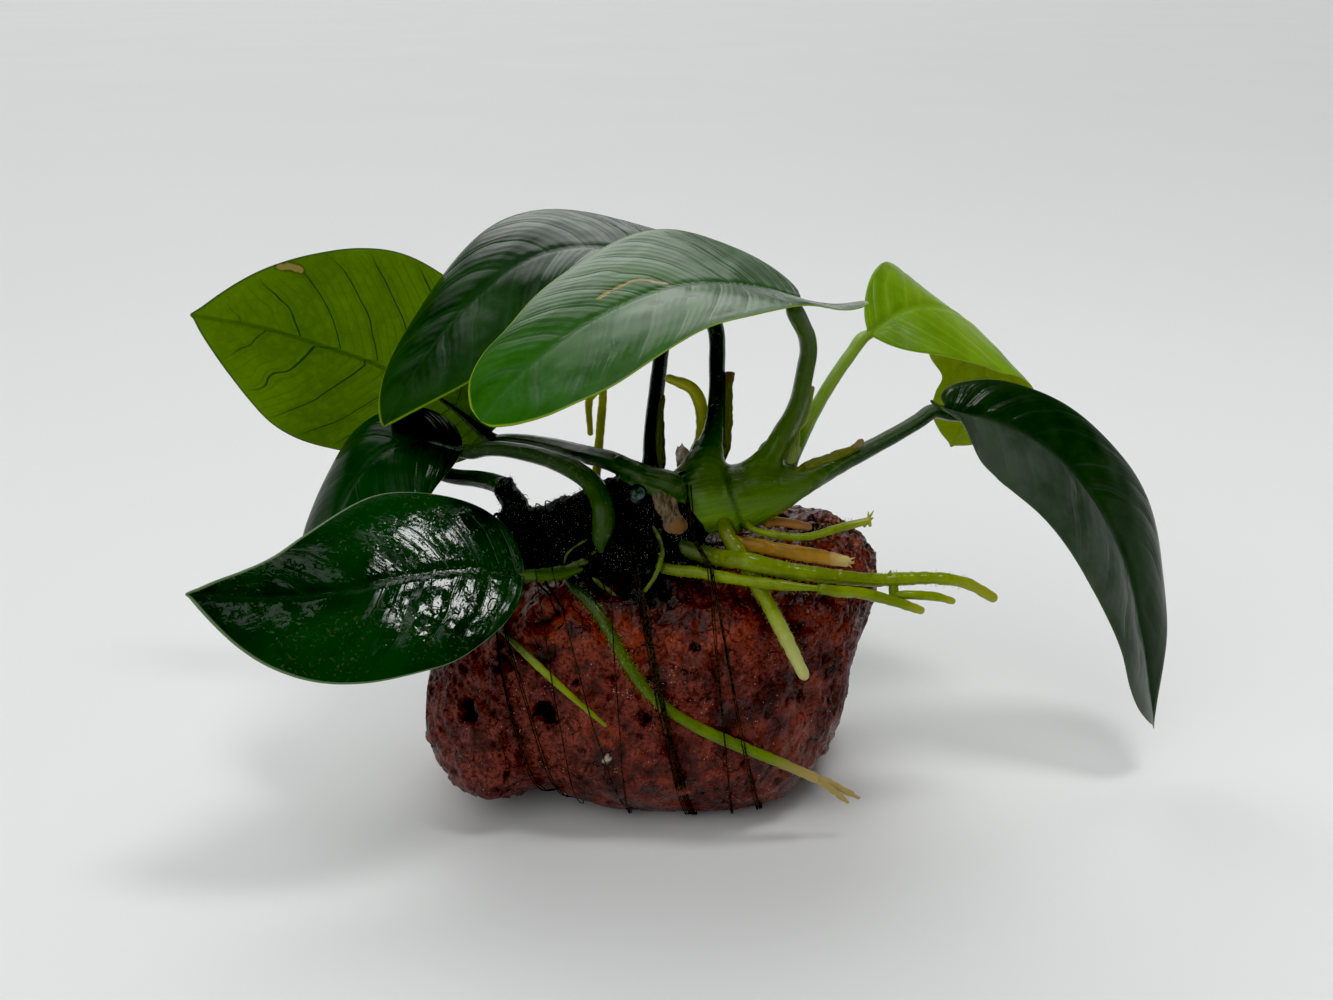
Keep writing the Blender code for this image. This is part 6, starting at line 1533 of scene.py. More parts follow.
def build():
    west, east = stone_ends()
    ring, out, grime = make_stone(west, east)

    # ---- blades
    looks = {
        "leaf_back_left": dict(dark=(0.004, 0.022, 0.003), light=(0.010, 0.040, 0.006), low_dark=(0.068, 0.138, 0.0015),
                               low_light=(0.108, 0.205, 0.0030), vein_up=(0.03, 0.075, 0.03), vein_low=(0.008, 0.032, 0.002),
                               rim=(0.035, 0.060, 0.012), rough=0.42, coat=0.12, low_net=0.10, net=0.06, specular=0.05, low_width=0.030),
        "leaf_top_left": dict(dark=(0.0025, 0.016, 0.0020), light=(0.008, 0.034, 0.0035), low_dark=(0.05, 0.10, 0.006),
                              low_light=(0.08, 0.14, 0.010), vein_up=(0.020, 0.050, 0.016), vein_low=(0.02, 0.05, 0.006),
                              rim=(0.14, 0.23, 0.012), rough=0.42, coat=1.0, coat_rough=0.22, width=0.09, relief=1.5, specular=0.05, thin_film=(0.52, 0.80, 0.12)),
        "leaf_top": dict(dark=(0.014, 0.056, 0.008), light=(0.026, 0.090, 0.010), low_dark=(0.05, 0.10, 0.008),
                         low_light=(0.09, 0.15, 0.012), vein_up=(0.050, 0.105, 0.040), vein_low=(0.03, 0.06, 0.008),
                         rim=(0.24, 0.36, 0.020), tip=(0.018, 0.100, 0.0020), rough=0.42, coat=1.0, coat_rough=0.22, width=0.09, relief=1.5, specular=0.05, thin_film=(0.66, 0.92, 0.15)),
        "leaf_front_left": dict(dark=(0.0014, 0.012, 0.0020), light=(0.0045, 0.032, 0.0045), low_dark=(0.04, 0.09, 0.008),
                                low_light=(0.07, 0.13, 0.010), vein_up=(0.008, 0.030, 0.006), vein_low=(0.02, 0.05, 0.006),
                                rim=(0.17, 0.25, 0.13), rough=0.38, coat=1.0, coat_rough=0.05, speckle=0.50, wet=0.16,
                                width=0.05, relief=0.8, dapple=0.20, specular=0.02, dry=(0.60, 0.68), ripple=0.75, coat_ior=1.5),
        "leaf_left": dict(dark=(0.0012, 0.010, 0.0015), light=(0.0045, 0.026, 0.0035), low_dark=(0.04, 0.09, 0.008),
                          low_light=(0.07, 0.13, 0.010), vein_up=(0.009, 0.030, 0.007), vein_low=(0.02, 0.05, 0.006),
                          rim=(0.13, 0.20, 0.07), rough=0.42, coat=0.30, coat_rough=0.09, wet=0.06, width=0.05, specular=0.03, stripe=0.25),
        "leaf_young": dict(dark=(0.118, 0.240, 0.006), light=(0.230, 0.380, 0.010), low_dark=(0.30, 0.40, 0.010),
                           low_light=(0.38, 0.48, 0.020), vein_up=(0.24, 0.385, 0.02), vein_low=(0.20, 0.30, 0.010), specular=0.10,
                           rim=(0.30, 0.46, 0.06), rough=0.42, coat=0.45, coat_rough=0.3, width=0.08, stripe=0.12, dapple=0.14,
                           rim_width=0.22),
        # leaf_right gets a painted reflection: a pale grey-green painted over one half
        "leaf_right": dict(dark=(0.0045, 0.015, 0.0040), light=(0.012, 0.030, 0.008), low_dark=(0.03, 0.06, 0.010),
                           low_light=(0.05, 0.09, 0.014), vein_up=(0.016, 0.034, 0.014), vein_low=(0.02, 0.04, 0.008),
                           rim=(0.06, 0.09, 0.035), rough=0.42, coat=0.45, coat_rough=0.16, width=0.08, stripe=0.25, specular=0.05, painted_sheen=(-1.0, 0.85)),
        "leaf_rear": dict(dark=(0.006, 0.028, 0.004), light=(0.014, 0.052, 0.007), low_dark=(0.06, 0.12, 0.006),
                          low_light=(0.09, 0.16, 0.010), vein_up=(0.030, 0.070, 0.024), vein_low=(0.012, 0.04, 0.004),
                          rim=(0.14, 0.22, 0.02)),
        "leaf_low_left": dict(dark=(0.004, 0.022, 0.004), light=(0.010, 0.040, 0.006), low_dark=(0.04, 0.09, 0.006),
                              low_light=(0.07, 0.12, 0.010), vein_up=(0.022, 0.055, 0.018), vein_low=(0.012, 0.04, 0.004),
                              rim=(0.12, 0.19, 0.03)),
    }
    relief = {"leaf_back_left": dict(veins=11.0, lift=0.14, seed=12, jitter=0.25), "leaf_top_left": dict(veins=13.0, lift=0.34, seed=3, jitter=0.22, blunt=0.8),
              "leaf_top": dict(veins=14.0, lift=0.32, seed=14, jitter=0.22, blunt=1.2), "leaf_front_left": dict(veins=9.0, lift=0.30, seed=5, jitter=0.25, deeper=0.7),
              "leaf_left": dict(veins=9.0, lift=0.24, seed=6, rows=120, cols=71), "leaf_young": dict(veins=10.0, lift=0.16, seed=7, groove=0.45),
              "leaf_right": dict(veins=11.0, lift=0.36, seed=8), "leaf_rear": dict(veins=10.0, lift=0.24, seed=9, rows=96, cols=57),
              "leaf_low_left": dict(veins=8.0, lift=0.20, seed=10, rows=96, cols=57)}
    slots = {"leaf_back_left": "leaf_underside", "leaf_young": "young_leaf"}
    blades = {}
    for name, spec in LEAVES.items():
        blades[name] = Blade(spec)
        fine_blade(name, blades[name], leaf_material(name + "_skin", **looks[name]), slots.get(name, "leaf"), **relief[name])

    # ---- the same layout as the model: stalks, sheaths, roots, one after the other
    clouds = {"lava_stone": stone_rings(np.linspace(west[0] + 0.3, east[0] - 0.3, 260),
                                        np.linspace(0, 2 * np.pi, 240, endpoint=False)).reshape(-1, 3)}
    axis = dense(RHIZOME, 200)
    path, radii = laid(RHIZOME, 13)
    clouds["rhizome"] = surface_cloud(path, radii)
    rods = {"rhizome": axis}
    lie = {"rhizome": (path, radii)}
    skin = skin_material("plant_skin", coat=0.85)
    for name, (points, leaf, back, under) in STALKS.items():
        b = blades[leaf]
        foot = b.bend(np.array([0.0]), np.array([0.0]))[0]
        end = foot - b.ahead[60] * back - b.up[60] * under
        path, radii = laid(points + [(*end, points[-1][3])], 2 * len(points) + 1, list(rods.values()))
        rods[name] = dense(np.column_stack([path, radii]), 120)
        clouds[name] = surface_cloud(path, radii)
        # the stalk grows out of the rhizome and runs on under the midrib
        xs = np.array([1.5, 4.5, 8.5, 13.0])
        run = b.bend(xs, 0 * xs)
        upn = b.normal(xs, 0 * xs)
        tail = run - upn * np.array([1.0, 0.85, 0.62, 0.45])[:, None]
        r0 = radii[-1]
        root_dir = unit(path[0] - path[1])
        inward = axis[0][np.linalg.norm(axis[0] - path[0], axis=1).argmin()]
        base = path[0] + root_dir * 1.2 + (inward - path[0]) * 0.30
        full = np.concatenate([[base], path, tail])
        rad = np.concatenate([[radii[0] * 0.9], radii, r0 * np.array([0.74, 0.56, 0.40, 0.25])])
        if name == "stalk_left":
            # its foot is pressed flat against the old stem and runs out in a point
            full[0] = (-8.8, -18.7, 57.0)
            run0 = np.concatenate([[0], np.cumsum(np.linalg.norm(np.diff(full, axis=0), axis=1))])
            rad = rad * np.interp(run0, [0, 1.6, 4.5, 8.0], [0.30, 0.62, 0.92, 1.0])
        if name == "stalk_front_left":
            run0 = np.concatenate([[0], np.cumsum(np.linalg.norm(np.diff(full, axis=0), axis=1))])
            rad = rad * np.interp(run0, [0, 4.0, 9.0, 13.0], [0.45, 0.55, 0.80, 1.0])
        lie[name] = (full, rad)
        flat = 0.30 if name == "stalk_front_left" else 0.0

        def ribs(sh, an, p, way, k=hash_name(name), flat=flat):
            top = way[..., 2] - 0.3 * way[..., 1]
            return (-0.16 * np.exp(-((top - 1.0) / 0.28) ** 2) * (sh > 0.02) + 0.035 * np.cos(3 * an + k) + 0.022 * np.cos(8 * an + 2 * k)
                    - flat * np.abs(way[..., 2]) + 0.03 * value_noise(p / 2.2, 3))
        v, f, a = fine_tube(full, rad, 0.5, 32, bumps=ribs)
        tone = stalk_tone(name, a["along"])
        if name == "stalk_right":
            up_side = v[:, 2] - np.interp(v[:, 0], full[:, 0], full[:, 2])
            tone = tone + 0.10 * smoothstep(up_side, 0.2, 1.6) + 0.16 * smoothstep(-up_side, 0.6, 1.9)
        a.update(tone=tone, old=0 * tone + (0.42 if name == "stalk_low_left" else 0.0) * (a["along"] < 0.35), scar=0 * tone,
                 membrane=0 * tone)
        obj = to_object(name + "_fine", v, clean_faces(f), [name], attrs=a)
        obj.data.materials.append(skin)

    crown, crown_p, crown_n, crown_old = make_crown(lie)
    crown.data.materials.append(skin)

    # ---- dry sheaths, each pressed against its stalk
    owner = {"sheath_top_left": "stalk_top_left", "sheath_right": "stalk_right", "sheath_young": "stalk_top", "sheath_rear": "stalk_rear"}
    wide = {"sheath_top_left": 0.75, "sheath_right": 0.60, "sheath_young": 0.55, "sheath_rear": 0.8}
    thick = {"sheath_top_left": 1.25, "sheath_right": 1.15, "sheath_young": 1.75, "sheath_rear": 1.3}
    apart = {"sheath_top_left": 0.55, "sheath_right": 0.25, "sheath_rear": 0.50, "sheath_young": 0.0}
    brown = ((0.155, 0.165, 0.016), (0.060, 0.080, 0.008), (0.050, 0.030, 0.008), (0.120, 0.080, 0.026))
    sheath_look = {"sheath_top_left": sheath_material("sheath_brown", *brown), "sheath_rear": sheath_material("sheath_dull", *brown),
                   "sheath_right": sheath_material("sheath_olive", (0.175, 0.185, 0.014), (0.070, 0.095, 0.006), (0.115, 0.085, 0.018), (0.22, 0.155, 0.060)),
                   "sheath_young": sheath_material("sheath_pale", (0.30, 0.38, 0.10), (0.13, 0.20, 0.03), (0.34, 0.40, 0.14), (0.24, 0.28, 0.07))}
    for name, points in SHEATHS.items():
        path, radii = laid(points, 5, list(rods.values()))
        rods[name] = dense(np.column_stack([path, radii]), 60)
        q, length = curve_through(np.column_stack([path, radii]), 46)
        p, r = q[:, :3], q[:, 3]
        own, own_r = rods[owner[name]]
        i = np.linalg.norm(own[None] - p[:, None], axis=2).argmin(1)
        outward = unit(p - own[i])
        t = unit(np.gradient(p, axis=0))
        outward = unit(outward - (outward * t).sum(1, keepdims=True) * t)
        if name == "sheath_young":
            outward = unit(np.array([0.75, -0.65, 0.0]) + 0 * outward)
            outward = unit(outward - (outward * t).sum(1, keepdims=True) * t)
        hug = own[i] + outward * (own_r[i] + apart[name])[:, None] if name != "sheath_young" else p
        share = np.linspace(0, 1, len(p))
        free = smoothstep(share, 0.80, 1.0)[:, None]
        p = hug * (1 - free) + (0.6 * hug + 0.4 * p) * free
        p = p + outward * (0.15 * value_noise(np.stack([share * 9, 0 * share, 0 * share + hash_name(name)], -1), 3))[:, None]
        down = 3.6 if name == "sheath_top_left" else 2.0
        p = np.concatenate([[p[0] - t[0] * down - outward[0] * 0.7], p])
        r = np.concatenate([[r[0] * 0.8], r])
        outward = np.concatenate([outward[:1], outward])
        t2 = unit(np.gradient(p, axis=0))
        outward = unit(outward - (outward * t2).sum(1, keepdims=True) * t2)
        side = np.cross(t2, outward)

        def edges(sh, an, pp, way, k=hash_name(name)):
            side_on = np.clip(np.sin(an), 0, 1)
            torn = value_noise(np.stack([pp[..., 0], pp[..., 1], pp[..., 2]], -1) * 1.3, k)
            return 0.13 * side_on ** 3 * torn + (0.30 + 0.35 * torn) * smoothstep(sh, 0.80, 0.97)
        v, f, a = tube(p, r, 26, squash=(wide[name], thick[name]), bumps=edges, frame=(side, outward), tip=0.6)
        obj = to_object(name + "_fine", v, clean_faces(f), [name], attrs=a)
        obj.data.materials.append(sheath_look[name])

    # ---- the papery bud: overlapping pointed scales
    path, radii = laid(PAPER_BUD, 4, list(rods.values()))
    rods["paper_bud"] = dense(np.column_stack([path, radii]), 30)
    scales = []
    for k, (lean_x, lean_z, size) in enumerate([(0.0, 0.0, 1.0), (-0.75, -0.3, 0.8), (0.8, -0.5, 0.75), (0.1, 0.5, 0.55)]):
        q, _ = curve_through(np.column_stack([path, radii]), 16)
        p = q[:, :3] + np.stack([lean_x * np.linspace(0.3, 1, 16), -0.25 * k + 0 * q[:, 0], lean_z * np.linspace(0, 1, 16)], -1)
        r = 1.15 * size * radii.max() * np.sin(np.pi * np.linspace(0.16, 0.985, 16)) ** 0.8
        v, f, a = tube(p, r, 22, squash=(1.0, 0.62), bumps=lambda sh, an, pp, way, k=k: 0.16 * value_noise(pp * 1.5, 8 + k) + 0.07 * np.cos(7 * an + 4 * sh + k))
        scales.append((v, f, a))
    v, f, a = join_solids(scales)
    bud = to_object("paper_bud_fine", v, f, ["paper_bud"], attrs=a)
    bud.data.materials.append(plain_material("bud_skin", (0.46, 0.30, 0.25), (0.88, 0.78, 0.70), 900.0, 0.5, coat=0.2,
                                             tint=("along", (0.20, 0.17, 0.05), 0.25, 0.0)))

    # ---- the cut stub: a dark rim round a pale teal face, which is a painted highlight
    stub = np.array(CUT_STUB, float)
    v, f, a = fine_tube(stub[:, :3], stub[:, 3], 0.15, 30, tip=0.22, tail=0.8,
                        bumps=lambda sh, an, p, way: 0.16 * np.cos(2 * an + 0.4) + 0.14 * value_noise(p * 1.2, 12))
    face_way = unit(stub[1, :3] - stub[0, :3])
    off = v - stub[1, :3]
    flat_off = np.linalg.norm(off - (off @ face_way)[:, None] * face_way, axis=1)
    a["rimmed"] = np.clip(np.maximum(flat_off / 1.75, 1.3 - smoothstep(off @ face_way, -0.6, 0.0)), 0, 1.3)
    cut = to_object("cut_stub_fine", v, clean_faces(f), ["cut_stub"], attrs=a)
    cut.data.materials.append(plain_material("stub_skin_painted_highlight", (0.010, 0.020, 0.015), (0.150, 0.215, 0.185), 650.0, 0.24, coat=0.8,
                                             tint=("rimmed", (0.004, 0.006, 0.004), 0.70, 0.96), coat_rough=0.10))

    # ---- roots
    lime = dict(middle=(0.155, 0.205, 0.002), tip=(0.30, 0.31, 0.020))
    root_looks = {
        "root_stout": root_material("root_stout_skin", (0.070, 0.085, 0.004), (0.190, 0.235, 0.006), (0.46, 0.47, 0.15), tip_from=0.62, base_to=0.45),
        "root_long": root_material("root_long_skin", (0.008, 0.024, 0.003), (0.100, 0.148, 0.003), (0.40, 0.29, 0.09), tip_from=0.84, base_to=0.78),
        "root_lime": root_material("root_lime_skin", (0.006, 0.018, 0.002), **lime, base_to=0.40),
        "root_near": root_material("root_near_skin", (0.010, 0.020, 0.002), middle=lime["middle"], tip=(0.165, 0.220, 0.003), base_to=0.62),
        "root_fork": root_material("root_fork_skin", (0.120, 0.165, 0.002), **lime, base_to=0.20),
        "root_thin": root_material("root_thin_skin", (0.035, 0.060, 0.004), (0.165, 0.215, 0.006), (0.17, 0.20, 0.01), base_to=0.40),
        "root_curl": root_material("root_curl_skin", (0.020, 0.035, 0.004), (0.070, 0.105, 0.005), (0.10, 0.13, 0.008)),
        "root_air": root_material("root_air_skin", (0.130, 0.150, 0.008), (0.420, 0.430, 0.014), (0.50, 0.50, 0.05)),
        "root_brown": root_material("root_brown_skin", (0.230, 0.140, 0.014), (0.420, 0.215, 0.026), (0.66, 0.50, 0.18),
                                    fuzz=(0.50, 0.36, 0.12), tip_from=0.86),
        "root_tan": root_material("root_tan_skin", (0.22, 0.12, 0.03), (0.40, 0.190, 0.055), (0.32, 0.15, 0.06), fuzz=(0.45, 0.32, 0.14)),
    }
    kind = {"root_stout": "root_stout", "root_long": "root_long", "root_thin": "root_thin", "root_curl": "root_curl",
            "root_hook": "root_air", "root_near": "root_near", "root_fork_low": "root_fork", "root_fork_mid": "root_fork", "root_air": "root_air", "root_brown": "root_brown", "root_tan": "root_tan"}
    grows_from = {"root_fork_low": "root_near", "root_fork_mid": "root_far"}
    widen_at = {"root_near": ([0, 0.62, 0.90, 1.0], [1.0, 1.0, 0.82, 0.50]), "root_thin": ([0, 0.25, 0.5, 1.0], [0.55, 1.05, 1.0, 0.8]), "root_long": ([0, 0.3, 1.0], [0.80, 0.95, 1.05]), "root_hook": ([0, 0.5, 1.0], [1.40, 1.45, 1.20]),
                "root_upper": ([0, 0.25, 1.0], [0.50, 0.66, 0.80]), "root_curl": ([0, 1.0], [0.72, 0.72]), "root_brown": ([0, 1.0], [1.15, 1.12])}
    rng = np.random.default_rng(11)
    for name, (points, on_stone) in ROOTS.items():
        count = max(5, int(round(curve_through(points, 20)[1] / 6.0)))
        path, radii = laid(points, count, list(rods.values()), on_stone)
        rods[name] = dense(np.column_stack([path, radii]), 160)
        clouds[name] = surface_cloud(path, radii)
        lie[name] = (path, radii)
        full, rad = path, radii.copy()
        if name in widen_at:
            rad = rad * np.interp(np.linspace(0, 1, len(rad)), *widen_at[name])
        if name != "root_thin":
            full, rad = lead_in(path, rad, rods[grows_from.get(name, "rhizome")])
        if name == "root_long":
            full, rad = full[:-1], rad[:-1]
        k = hash_name(name)
        end_r = rad[-1]
        v, f, a = fine_tube(full, rad, 0.38, 22, tip=1.5 if name == "root_stout" else 0.9,
                            bumps=lambda sh, an, p, way: 0.09 * value_noise(p / 1.3, k) + 0.05 * value_noise(p * 1.4, k + 1)
                            + 0.03 * np.cos(2 * an + k))
        solids = [(v, f, a)]
        ahead = unit(path[-1] - path[-2])
        if name == "root_long":
            # its end has split into papery strips
            end = full[-1]
            ahead = unit(full[-1] - full[-2])
            for j, (reach, dx, dy, dz, wide_r) in enumerate([(9.6, 0.5, -0.4, -0.2, 0.66), (8.0, -0.3, -0.7, -1.7, 0.60)]):
                tip_at = end + ahead * reach + np.array([dx, dy, dz])
                strip = np.array([full[-2] * 0.4 + end * 0.6, end + 0.25 * (tip_at - end) + [0, 0, 0.15],
                                  end + 0.65 * (tip_at - end) + [0, 0.1, 0.15], tip_at])
                line, _ = curve_through(np.column_stack([strip, np.array([0.9, 1.15, 1.0, 0.45]) * wide_r]), 40)
                way = unit(np.gradient(line[:, :3], axis=0))
                flat_way = unit(np.cross(way, np.array([0.15, 1.0, 0.1])))
                sv, sf, sa = tube(line[:, :3], line[:, 3], 16, squash=(1.25, 0.26), frame=(flat_way, np.cross(way, flat_way)),
                                       bumps=lambda sh, an, p, way, j=j: 0.25 * value_noise(p * 1.1, 60 + j))
                sa["along"] = 0.97 + 0.03 * sa["along"]
                solids.append((sv, sf, sa))
        if name in ("root_brown", "root_upper"):
            number, reach = (9, 1.6) if name == "root_brown" else (3, 2.4)
            for j in range(number):
                fan = unit(ahead + 0.55 * rng.normal(size=3) + (np.array([0, 0, 0.5]) if name == "root_upper" else 0))
                start = path[-1] + 0.5 * end_r * unit(rng.normal(size=3))
                spike = np.array([start - fan * 0.8, start + fan * reach * 0.5, start + fan * reach + rng.normal(size=3) * 0.25])
                size = 0.16 if name == "root_brown" else 0.30
                sv, sf, sa = fine_tube(spike, np.array([1.2, 0.9, 0.35]) * size, 0.25, 10)
                sa["along"] = 0.96 + 0.04 * sa["along"]
                solids.append((sv, sf, sa))
        if name == "root_far":
            # two stubs of side roots on its upper side
            for share, tall in ((0.60, 0.8), (0.66, 0.6), (0.33, 0.7)):
                at = rods[name][0][int(share * 159)]
                sv, sf, sa = fine_tube(np.array([at, at + [0.1, -0.2, 1.3], at + [0.25, -0.3, 1.3 + tall]]), np.array([0.5, 0.34, 0.18]), 0.25, 10)
                sa["along"] = 0.5 + 0.2 * sa["along"]
                solids.append((sv, sf, sa))
        v, f, a = join_solids(solids)
        brown = name in ("root_brown", "root_tan")
        obj = to_object(name + "_fine", v, f, [name], attrs=a)
        obj.data.materials.append(root_looks[kind.get(name, "root_lime")])

    # ---- root hairs
    hairs = []
    for name, number, lo, hi in (("root_stout", 420, 0.15, 0.95), ("root_long", 520, 0.0, 0.45), ("root_far", 420, 0.05, 0.9),
                                 ("root_near", 260, 0.0, 1.0), ("root_upper", 140, 0.1, 0.9), ("root_brown", 140, 0.1, 1.0)):
        q, r = rods[name]
        i = (rng.uniform(lo, hi, number) * 159).astype(int)
        t = unit(np.gradient(q, axis=0))[i]
        away = unit(np.cross(t, rng.normal(size=(number, 3))))
        hairs.append((q[i] + away * (r[i] * 0.92)[:, None], away + 0.5 * t, rng.uniform(0.35, 1.0, number)))
    v, f, a = fibres(np.concatenate([h[0] for h in hairs]), np.concatenate([h[1] for h in hairs]),
                     np.concatenate([h[2] for h in hairs]), np.full(sum(len(h[0]) for h in hairs), 0.028), 0.35, rng, rows=4)
    obj = to_object("root_hairs", v, f, attrs=a)
    obj.data.materials.append(plain_material("root_hair_skin", (0.20, 0.26, 0.05), (0.42, 0.46, 0.18), 900.0, 0.5))

    make_growth(ring, out, grime, crown_p, crown_n, crown_old, rods, rng)

    # ---- thread
    cloud = np.concatenate([clouds["lava_stone"]] + [clouds[n] for n in THREAD_OVER])
    thread_look = plain_material("thread_fibre", (0.0050, 0.0045, 0.003), (0.036, 0.031, 0.018), 2200.0, 0.55, specular=0.05)
    for name, strands in STRANDS.items():
        solids = []
        for j, (start, lean) in enumerate(strands):
            loop = loop_path(start, lean, 0.05 + 0.05 * (j % 2), cloud, 300)
            if name in ("thread_6", "thread_7"):
                # caught in the growth where it crosses the stem
                loop = loop - np.stack([2.4 * smoothstep(loop[:, 2], 54.0, 60.0), 0 * loop[:, 0], 0 * loop[:, 0]], -1)
            loop = loop + 0.05 * np.stack([value_noise(loop * 1.7, 80 + j), 0 * loop[:, 0], 0 * loop[:, 0]], -1)
            v, f, a = tube(loop, np.full(len(loop), 0.118), 6, closed=True,
                           bumps=lambda sh, an, p, way: 0.25 * value_noise(p * 3.0, 5))
            solids.append((v, f, a))
        v, f, at = join_solids(solids)
        obj = to_object(name + "_fine", v, f, [name], attrs=at)
        obj.data.materials.append(thread_look)
    return blades, lie, clouds


def make_growth(ring, out, grime, crown_p, crown_n, crown_old, rods, rng):
    """The black matted growth on the old stem and under it: fibres, dead rootlets and pale grit."""
    old = np.nonzero(crown_old > 0.62)[0]
    pick = old[rng.integers(0, len(old), 2300)]
    dark_zone = np.argwhere(grime > 0.45)
    dark_zone = dark_zone[(ring[dark_zone[:, 0], dark_zone[:, 1], 2] > 41)]
    low = dark_zone[rng.integers(0, len(dark_zone), 1500)]
    roots = np.concatenate([crown_p[pick], ring[low[:, 0], low[:, 1]]])
    norms = np.concatenate([crown_n[pick], out[low[:, 0], low[:, 1]]])
    n = len(roots)
    ways = 0.55 * norms + rng.normal(size=(n, 3)) * 0.75
    v, f, a = fibres(roots - norms * 0.1, ways, rng.uniform(0.5, 1.5, n), rng.uniform(0.035, 0.085, n), 0.85, rng, rows=6,
                     pull=np.array([0, 0, -0.12]), keep=lambda p: np.maximum(p, [-200, -200, 1.0]))
    fuzz = to_object("stem_fuzz", v, f, attrs=a)
    look = Nodes("fuzz_fibre")
    tag = look.attr("tag")
    col = look.mix(look.span(tag, 0.72, 0.95), (0.0018, 0.002, 0.0013), (0.020, 0.023, 0.008))
    col = look.mix(look.math("MULTIPLY", look.span(look.attr("along"), 0.82, 1.0), look.span(tag, 0.55, 0.7)), col, (0.08, 0.09, 0.06))
    fuzz.data.materials.append(look.finish(col, 0.4, coat=0.12, coat_rough=0.15, specular=0.04))

    # thin green strands that lie over the growth beside the front stalk
    solids = []
    for points, size in (([(-24, -19.0, 51.3), (-19.5, -19.9, 51.9), (-15.5, -19.9, 52.2), (-12.5, -19.0, 53.4)], 0.42),
                         ([(-21, -19.6, 53.0), (-16.2, -19.9, 53.7), (-11.5, -19.3, 55.4), (-10.0, -18.4, 56.6)], 0.55),
                         ([(-15.8, -19.4, 54.6), (-15.4, -19.2, 56.2), (-14.2, -18.7, 57.4), (-11.4, -17.8, 58.9)], 0.38),
                         ([(-10.4, -19.4, 51.6), (-8.6, -19.8, 50.2), (-6.2, -20.6, 48.6)], 0.40),
                         ([(1.0, -16.4, 60.9), (2.3, -17.6, 58.6), (2.8, -18.6, 56.4), (2.6, -19.2, 54.6)], 0.42)):
        line, length = curve_through(np.column_stack([points, np.full(len(points), size)]), 30)
        v, f, a = fine_tube(line[:, :3], line[:, 3] * np.interp(np.arange(30), [0, 4, 22, 29], [0.6, 1, 1, 0.4]), 0.25, 12,
                            squash=(1.3, 0.7), bumps=lambda sh, an, pp, way: 0.25 * value_noise(pp * 1.1, 71))
        a["tag"] = np.full(len(v), size)
        solids.append((v, f, a))
    v, f, a = join_solids(solids)
    strands = to_object("green_strands", v, f, attrs=a)
    strands.data.materials.append(plain_material("strand_skin", (0.010, 0.024, 0.004), (0.085, 0.115, 0.020), 500.0, 0.3, coat=0.5, specular=0.1))

    # dead rootlets that wander over the stem and down on to the stone
    solids = []
    for k in range(26):
        i = old[rng.integers(0, len(old))]
        p = crown_p[i] + crown_n[i] * 0.05
        d = unit(np.array([rng.normal() * 0.9, -0.4 + rng.normal() * 0.3, -0.8 + rng.normal() * 0.4]))
        path = [p]
        for _ in range(int(rng.integers(7, 15))):
            d = unit(d + 0.35 * rng.normal(size=3) + np.array([0, -0.03, -0.10]))
            q = path[-1] + d * 0.9
            j = np.linalg.norm(crown_p - q, axis=1).argmin()
            gap = (q - crown_p[j]) @ crown_n[j]
            if gap < 0.15:
                q = q + crown_n[j] * (0.15 - gap)
            q = off_stone(np.array([q, q, q]), np.full(3, 0.2), 0.45)[1]
            path.append(q)
        v, f, a = fine_tube(np.array(path), np.linspace(0.30, 0.14, len(path)) * rng.uniform(0.7, 1.2), 0.35, 8,
                            bumps=lambda sh, an, pp, way: 0.2 * value_noise(pp * 1.6, 90))
        a["tag"] = np.full(len(v), rng.random())
        solids.append((v, f, a))
    v, f, a = join_solids(solids)
    web = to_object("dead_rootlets", v, f, attrs=a)
    look = Nodes("dead_rootlet")
    col = look.mix(look.span(look.attr("tag"), 0.70, 0.92), (0.003, 0.004, 0.002), (0.045, 0.062, 0.008))
    col = look.mix(look.span(look.noise(look.coords(1.0), 700.0, 3.0), 0.45, 0.65), col, (0.004, 0.004, 0.002))
    web.data.materials.append(look.finish(col, 0.35, coat=0.25, coat_rough=0.12, specular=0.05))

    pick = old[rng.integers(0, len(old), 2600)]
    low = dark_zone[rng.integers(0, len(dark_zone), 900)]
    at = np.concatenate([crown_p[pick] + crown_n[pick] * rng.uniform(0.1, 0.6, (2600, 1)),
                         ring[low[:, 0], low[:, 1]] + out[low[:, 0], low[:, 1]] * rng.uniform(0.0, 0.35, (900, 1))])
    v, f, a = grains(at, rng.uniform(0.035, 0.095, len(at)), rng)
    grit = to_object("stem_grit", v, f, smooth=False, attrs=a)
    look = Nodes("grit_grain")
    col = look.mix(look.attr("tag"), (0.10, 0.105, 0.09), (0.42, 0.43, 0.40))
    grit.data.materials.append(look.finish(col, 0.3, coat=0.6, coat_rough=0.1))


blades, lie, clouds = build()

# ================================================================ floor, camera, light
floor_mesh = bpy.data.meshes.new("floor")
floor_mesh.from_pydata([(-30, -30, 0), (30, -30, 0), (30, 30, 0), (-30, 30, 0)], [], [(0, 1, 2, 3)])
floor = bpy.data.objects.new("floor", floor_mesh)
bpy.context.scene.collection.objects.link(floor)
fm = Nodes("floor_paint")
fc = fm.coords(1.0)
shade = fm.mix(fm.noise(fc, 3.0, 2.0), (0.84, 0.845, 0.84), (0.88, 0.885, 0.88))
floor.data.materials.append(fm.finish(shade, 0.7, fm.bump(fm.noise(fc, 300.0, 2.0), 0.05, 0.0005)))

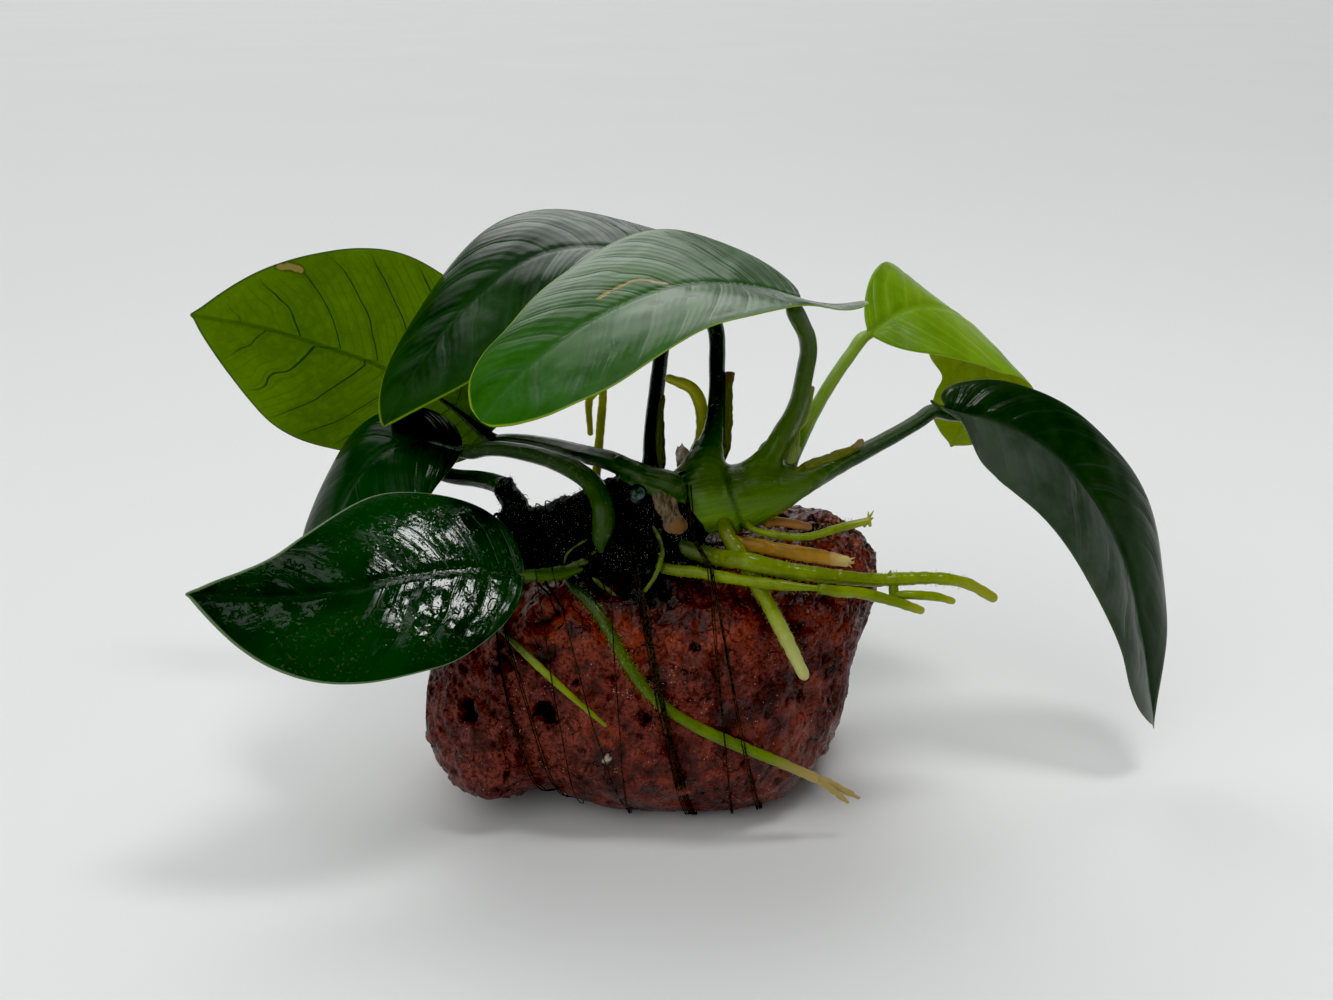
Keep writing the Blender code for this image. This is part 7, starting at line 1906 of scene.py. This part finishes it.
cam_data = bpy.data.cameras.new("camera")
cam_data.lens = 40.0
cam_data.sensor_width = 36.0
cam_data.sensor_fit = "HORIZONTAL"
cam_data.clip_start = 0.01
cam_data.clip_end = 100
cam = bpy.data.objects.new("camera", cam_data)
bpy.context.scene.collection.objects.link(cam)
look_at = Vector((0.0035, 0.0, 0.0603))
tilt = math.radians(20.0)
cam.location = look_at - 0.296 * Vector((0, math.cos(tilt), -math.sin(tilt)))
cam.rotation_euler = (math.radians(90) - tilt, 0, 0)
bpy.context.scene.camera = cam
bpy.context.scene.view_settings.view_transform = "Standard"
# deep shadows go to black, as in a contrasty exposure
bpy.context.scene.view_settings.use_curve_mapping = True
bpy.context.scene.view_settings.curve_mapping.black_level = (0.007, 0.007, 0.007)
bpy.context.scene.view_settings.curve_mapping.update()


def area(name, way, target, distance, size, size_y, radiance, colour=(1, 1, 1)):
    """A soft panel seen from target in the given direction; its power follows from how bright its face is."""
    light = bpy.data.lights.new(name, "AREA")
    light.energy = math.pi * size * size_y * radiance
    light.color = colour
    light.shape = "RECTANGLE"
    light.size = size
    light.size_y = size_y
    obj = bpy.data.objects.new(name, light)
    obj.location = Vector(target) + Vector(way).normalized() * distance
    obj.rotation_euler = (Vector(target) - obj.location).to_track_quat("-Z", "Y").to_euler()
    bpy.context.scene.collection.objects.link(obj)
    return obj


area("overhead", (0.33, -0.10, 0.94), (-0.034, -0.026, 0.057), 0.80, 0.155, 0.22, 14.0)

# the room: a bright window behind, a softer one at the front left, pale walls low down, dark overhead and in front
world = bpy.data.worlds.new("studio")
bpy.context.scene.world = world
world.use_nodes = True
wt = world.node_tree
bg = wt.nodes["Background"]
tc = wt.nodes.new("ShaderNodeTexCoord")


def step_map(value, lo, hi, amount):
    """Rises from 0 at lo to amount at hi, smoothly."""
    n = wt.nodes.new("ShaderNodeMapRange")
    n.interpolation_type = "SMOOTHSTEP"
    wt.links.new(value, n.inputs["Value"])
    n.inputs["From Min"].default_value = lo
    n.inputs["From Max"].default_value = hi
    n.inputs["To Max"].default_value = amount
    return n.outputs["Result"]


def facing(way):
    n = wt.nodes.new("ShaderNodeVectorMath")
    n.operation = "DOT_PRODUCT"
    wt.links.new(tc.outputs["Generated"], n.inputs[0])
    n.inputs[1].default_value = Vector(way).normalized()
    return n.outputs["Value"]


def both(kind, a, b):
    n = wt.nodes.new("ShaderNodeMath")
    n.operation = kind
    for k, q in enumerate((a, b)):
        if isinstance(q, (int, float)):
            n.inputs[k].default_value = q
        else:
            wt.links.new(q, n.inputs[k])
    return n.outputs[0]


sep = wt.nodes.new("ShaderNodeSeparateXYZ")
wt.links.new(tc.outputs["Generated"], sep.inputs[0])
window = step_map(facing((-0.20, 0.62, 0.72)), math.cos(math.radians(36)), math.cos(math.radians(17)), 2.35)
fill = step_map(facing((-0.45, -0.62, 0.65)), math.cos(math.radians(46)), math.cos(math.radians(18)), 1.30)
walls = both("MULTIPLY", step_map(sep.outputs["Z"], 0.34, 0.12, 0.55), step_map(sep.outputs["Y"], -0.85, -0.30, 1.0))
total = both("ADD", both("ADD", window, fill), both("ADD", walls, 0.045))
tint = wt.nodes.new("ShaderNodeCombineColor")
wt.links.new(both("MULTIPLY", total, 0.985), tint.inputs[0])
wt.links.new(total, tint.inputs[1])
wt.links.new(both("MULTIPLY", total, 1.005), tint.inputs[2])
wt.links.new(tint.outputs[0], bg.inputs["Color"])
bg.inputs["Strength"].default_value = 1.0

bpy.context.view_layer.update()
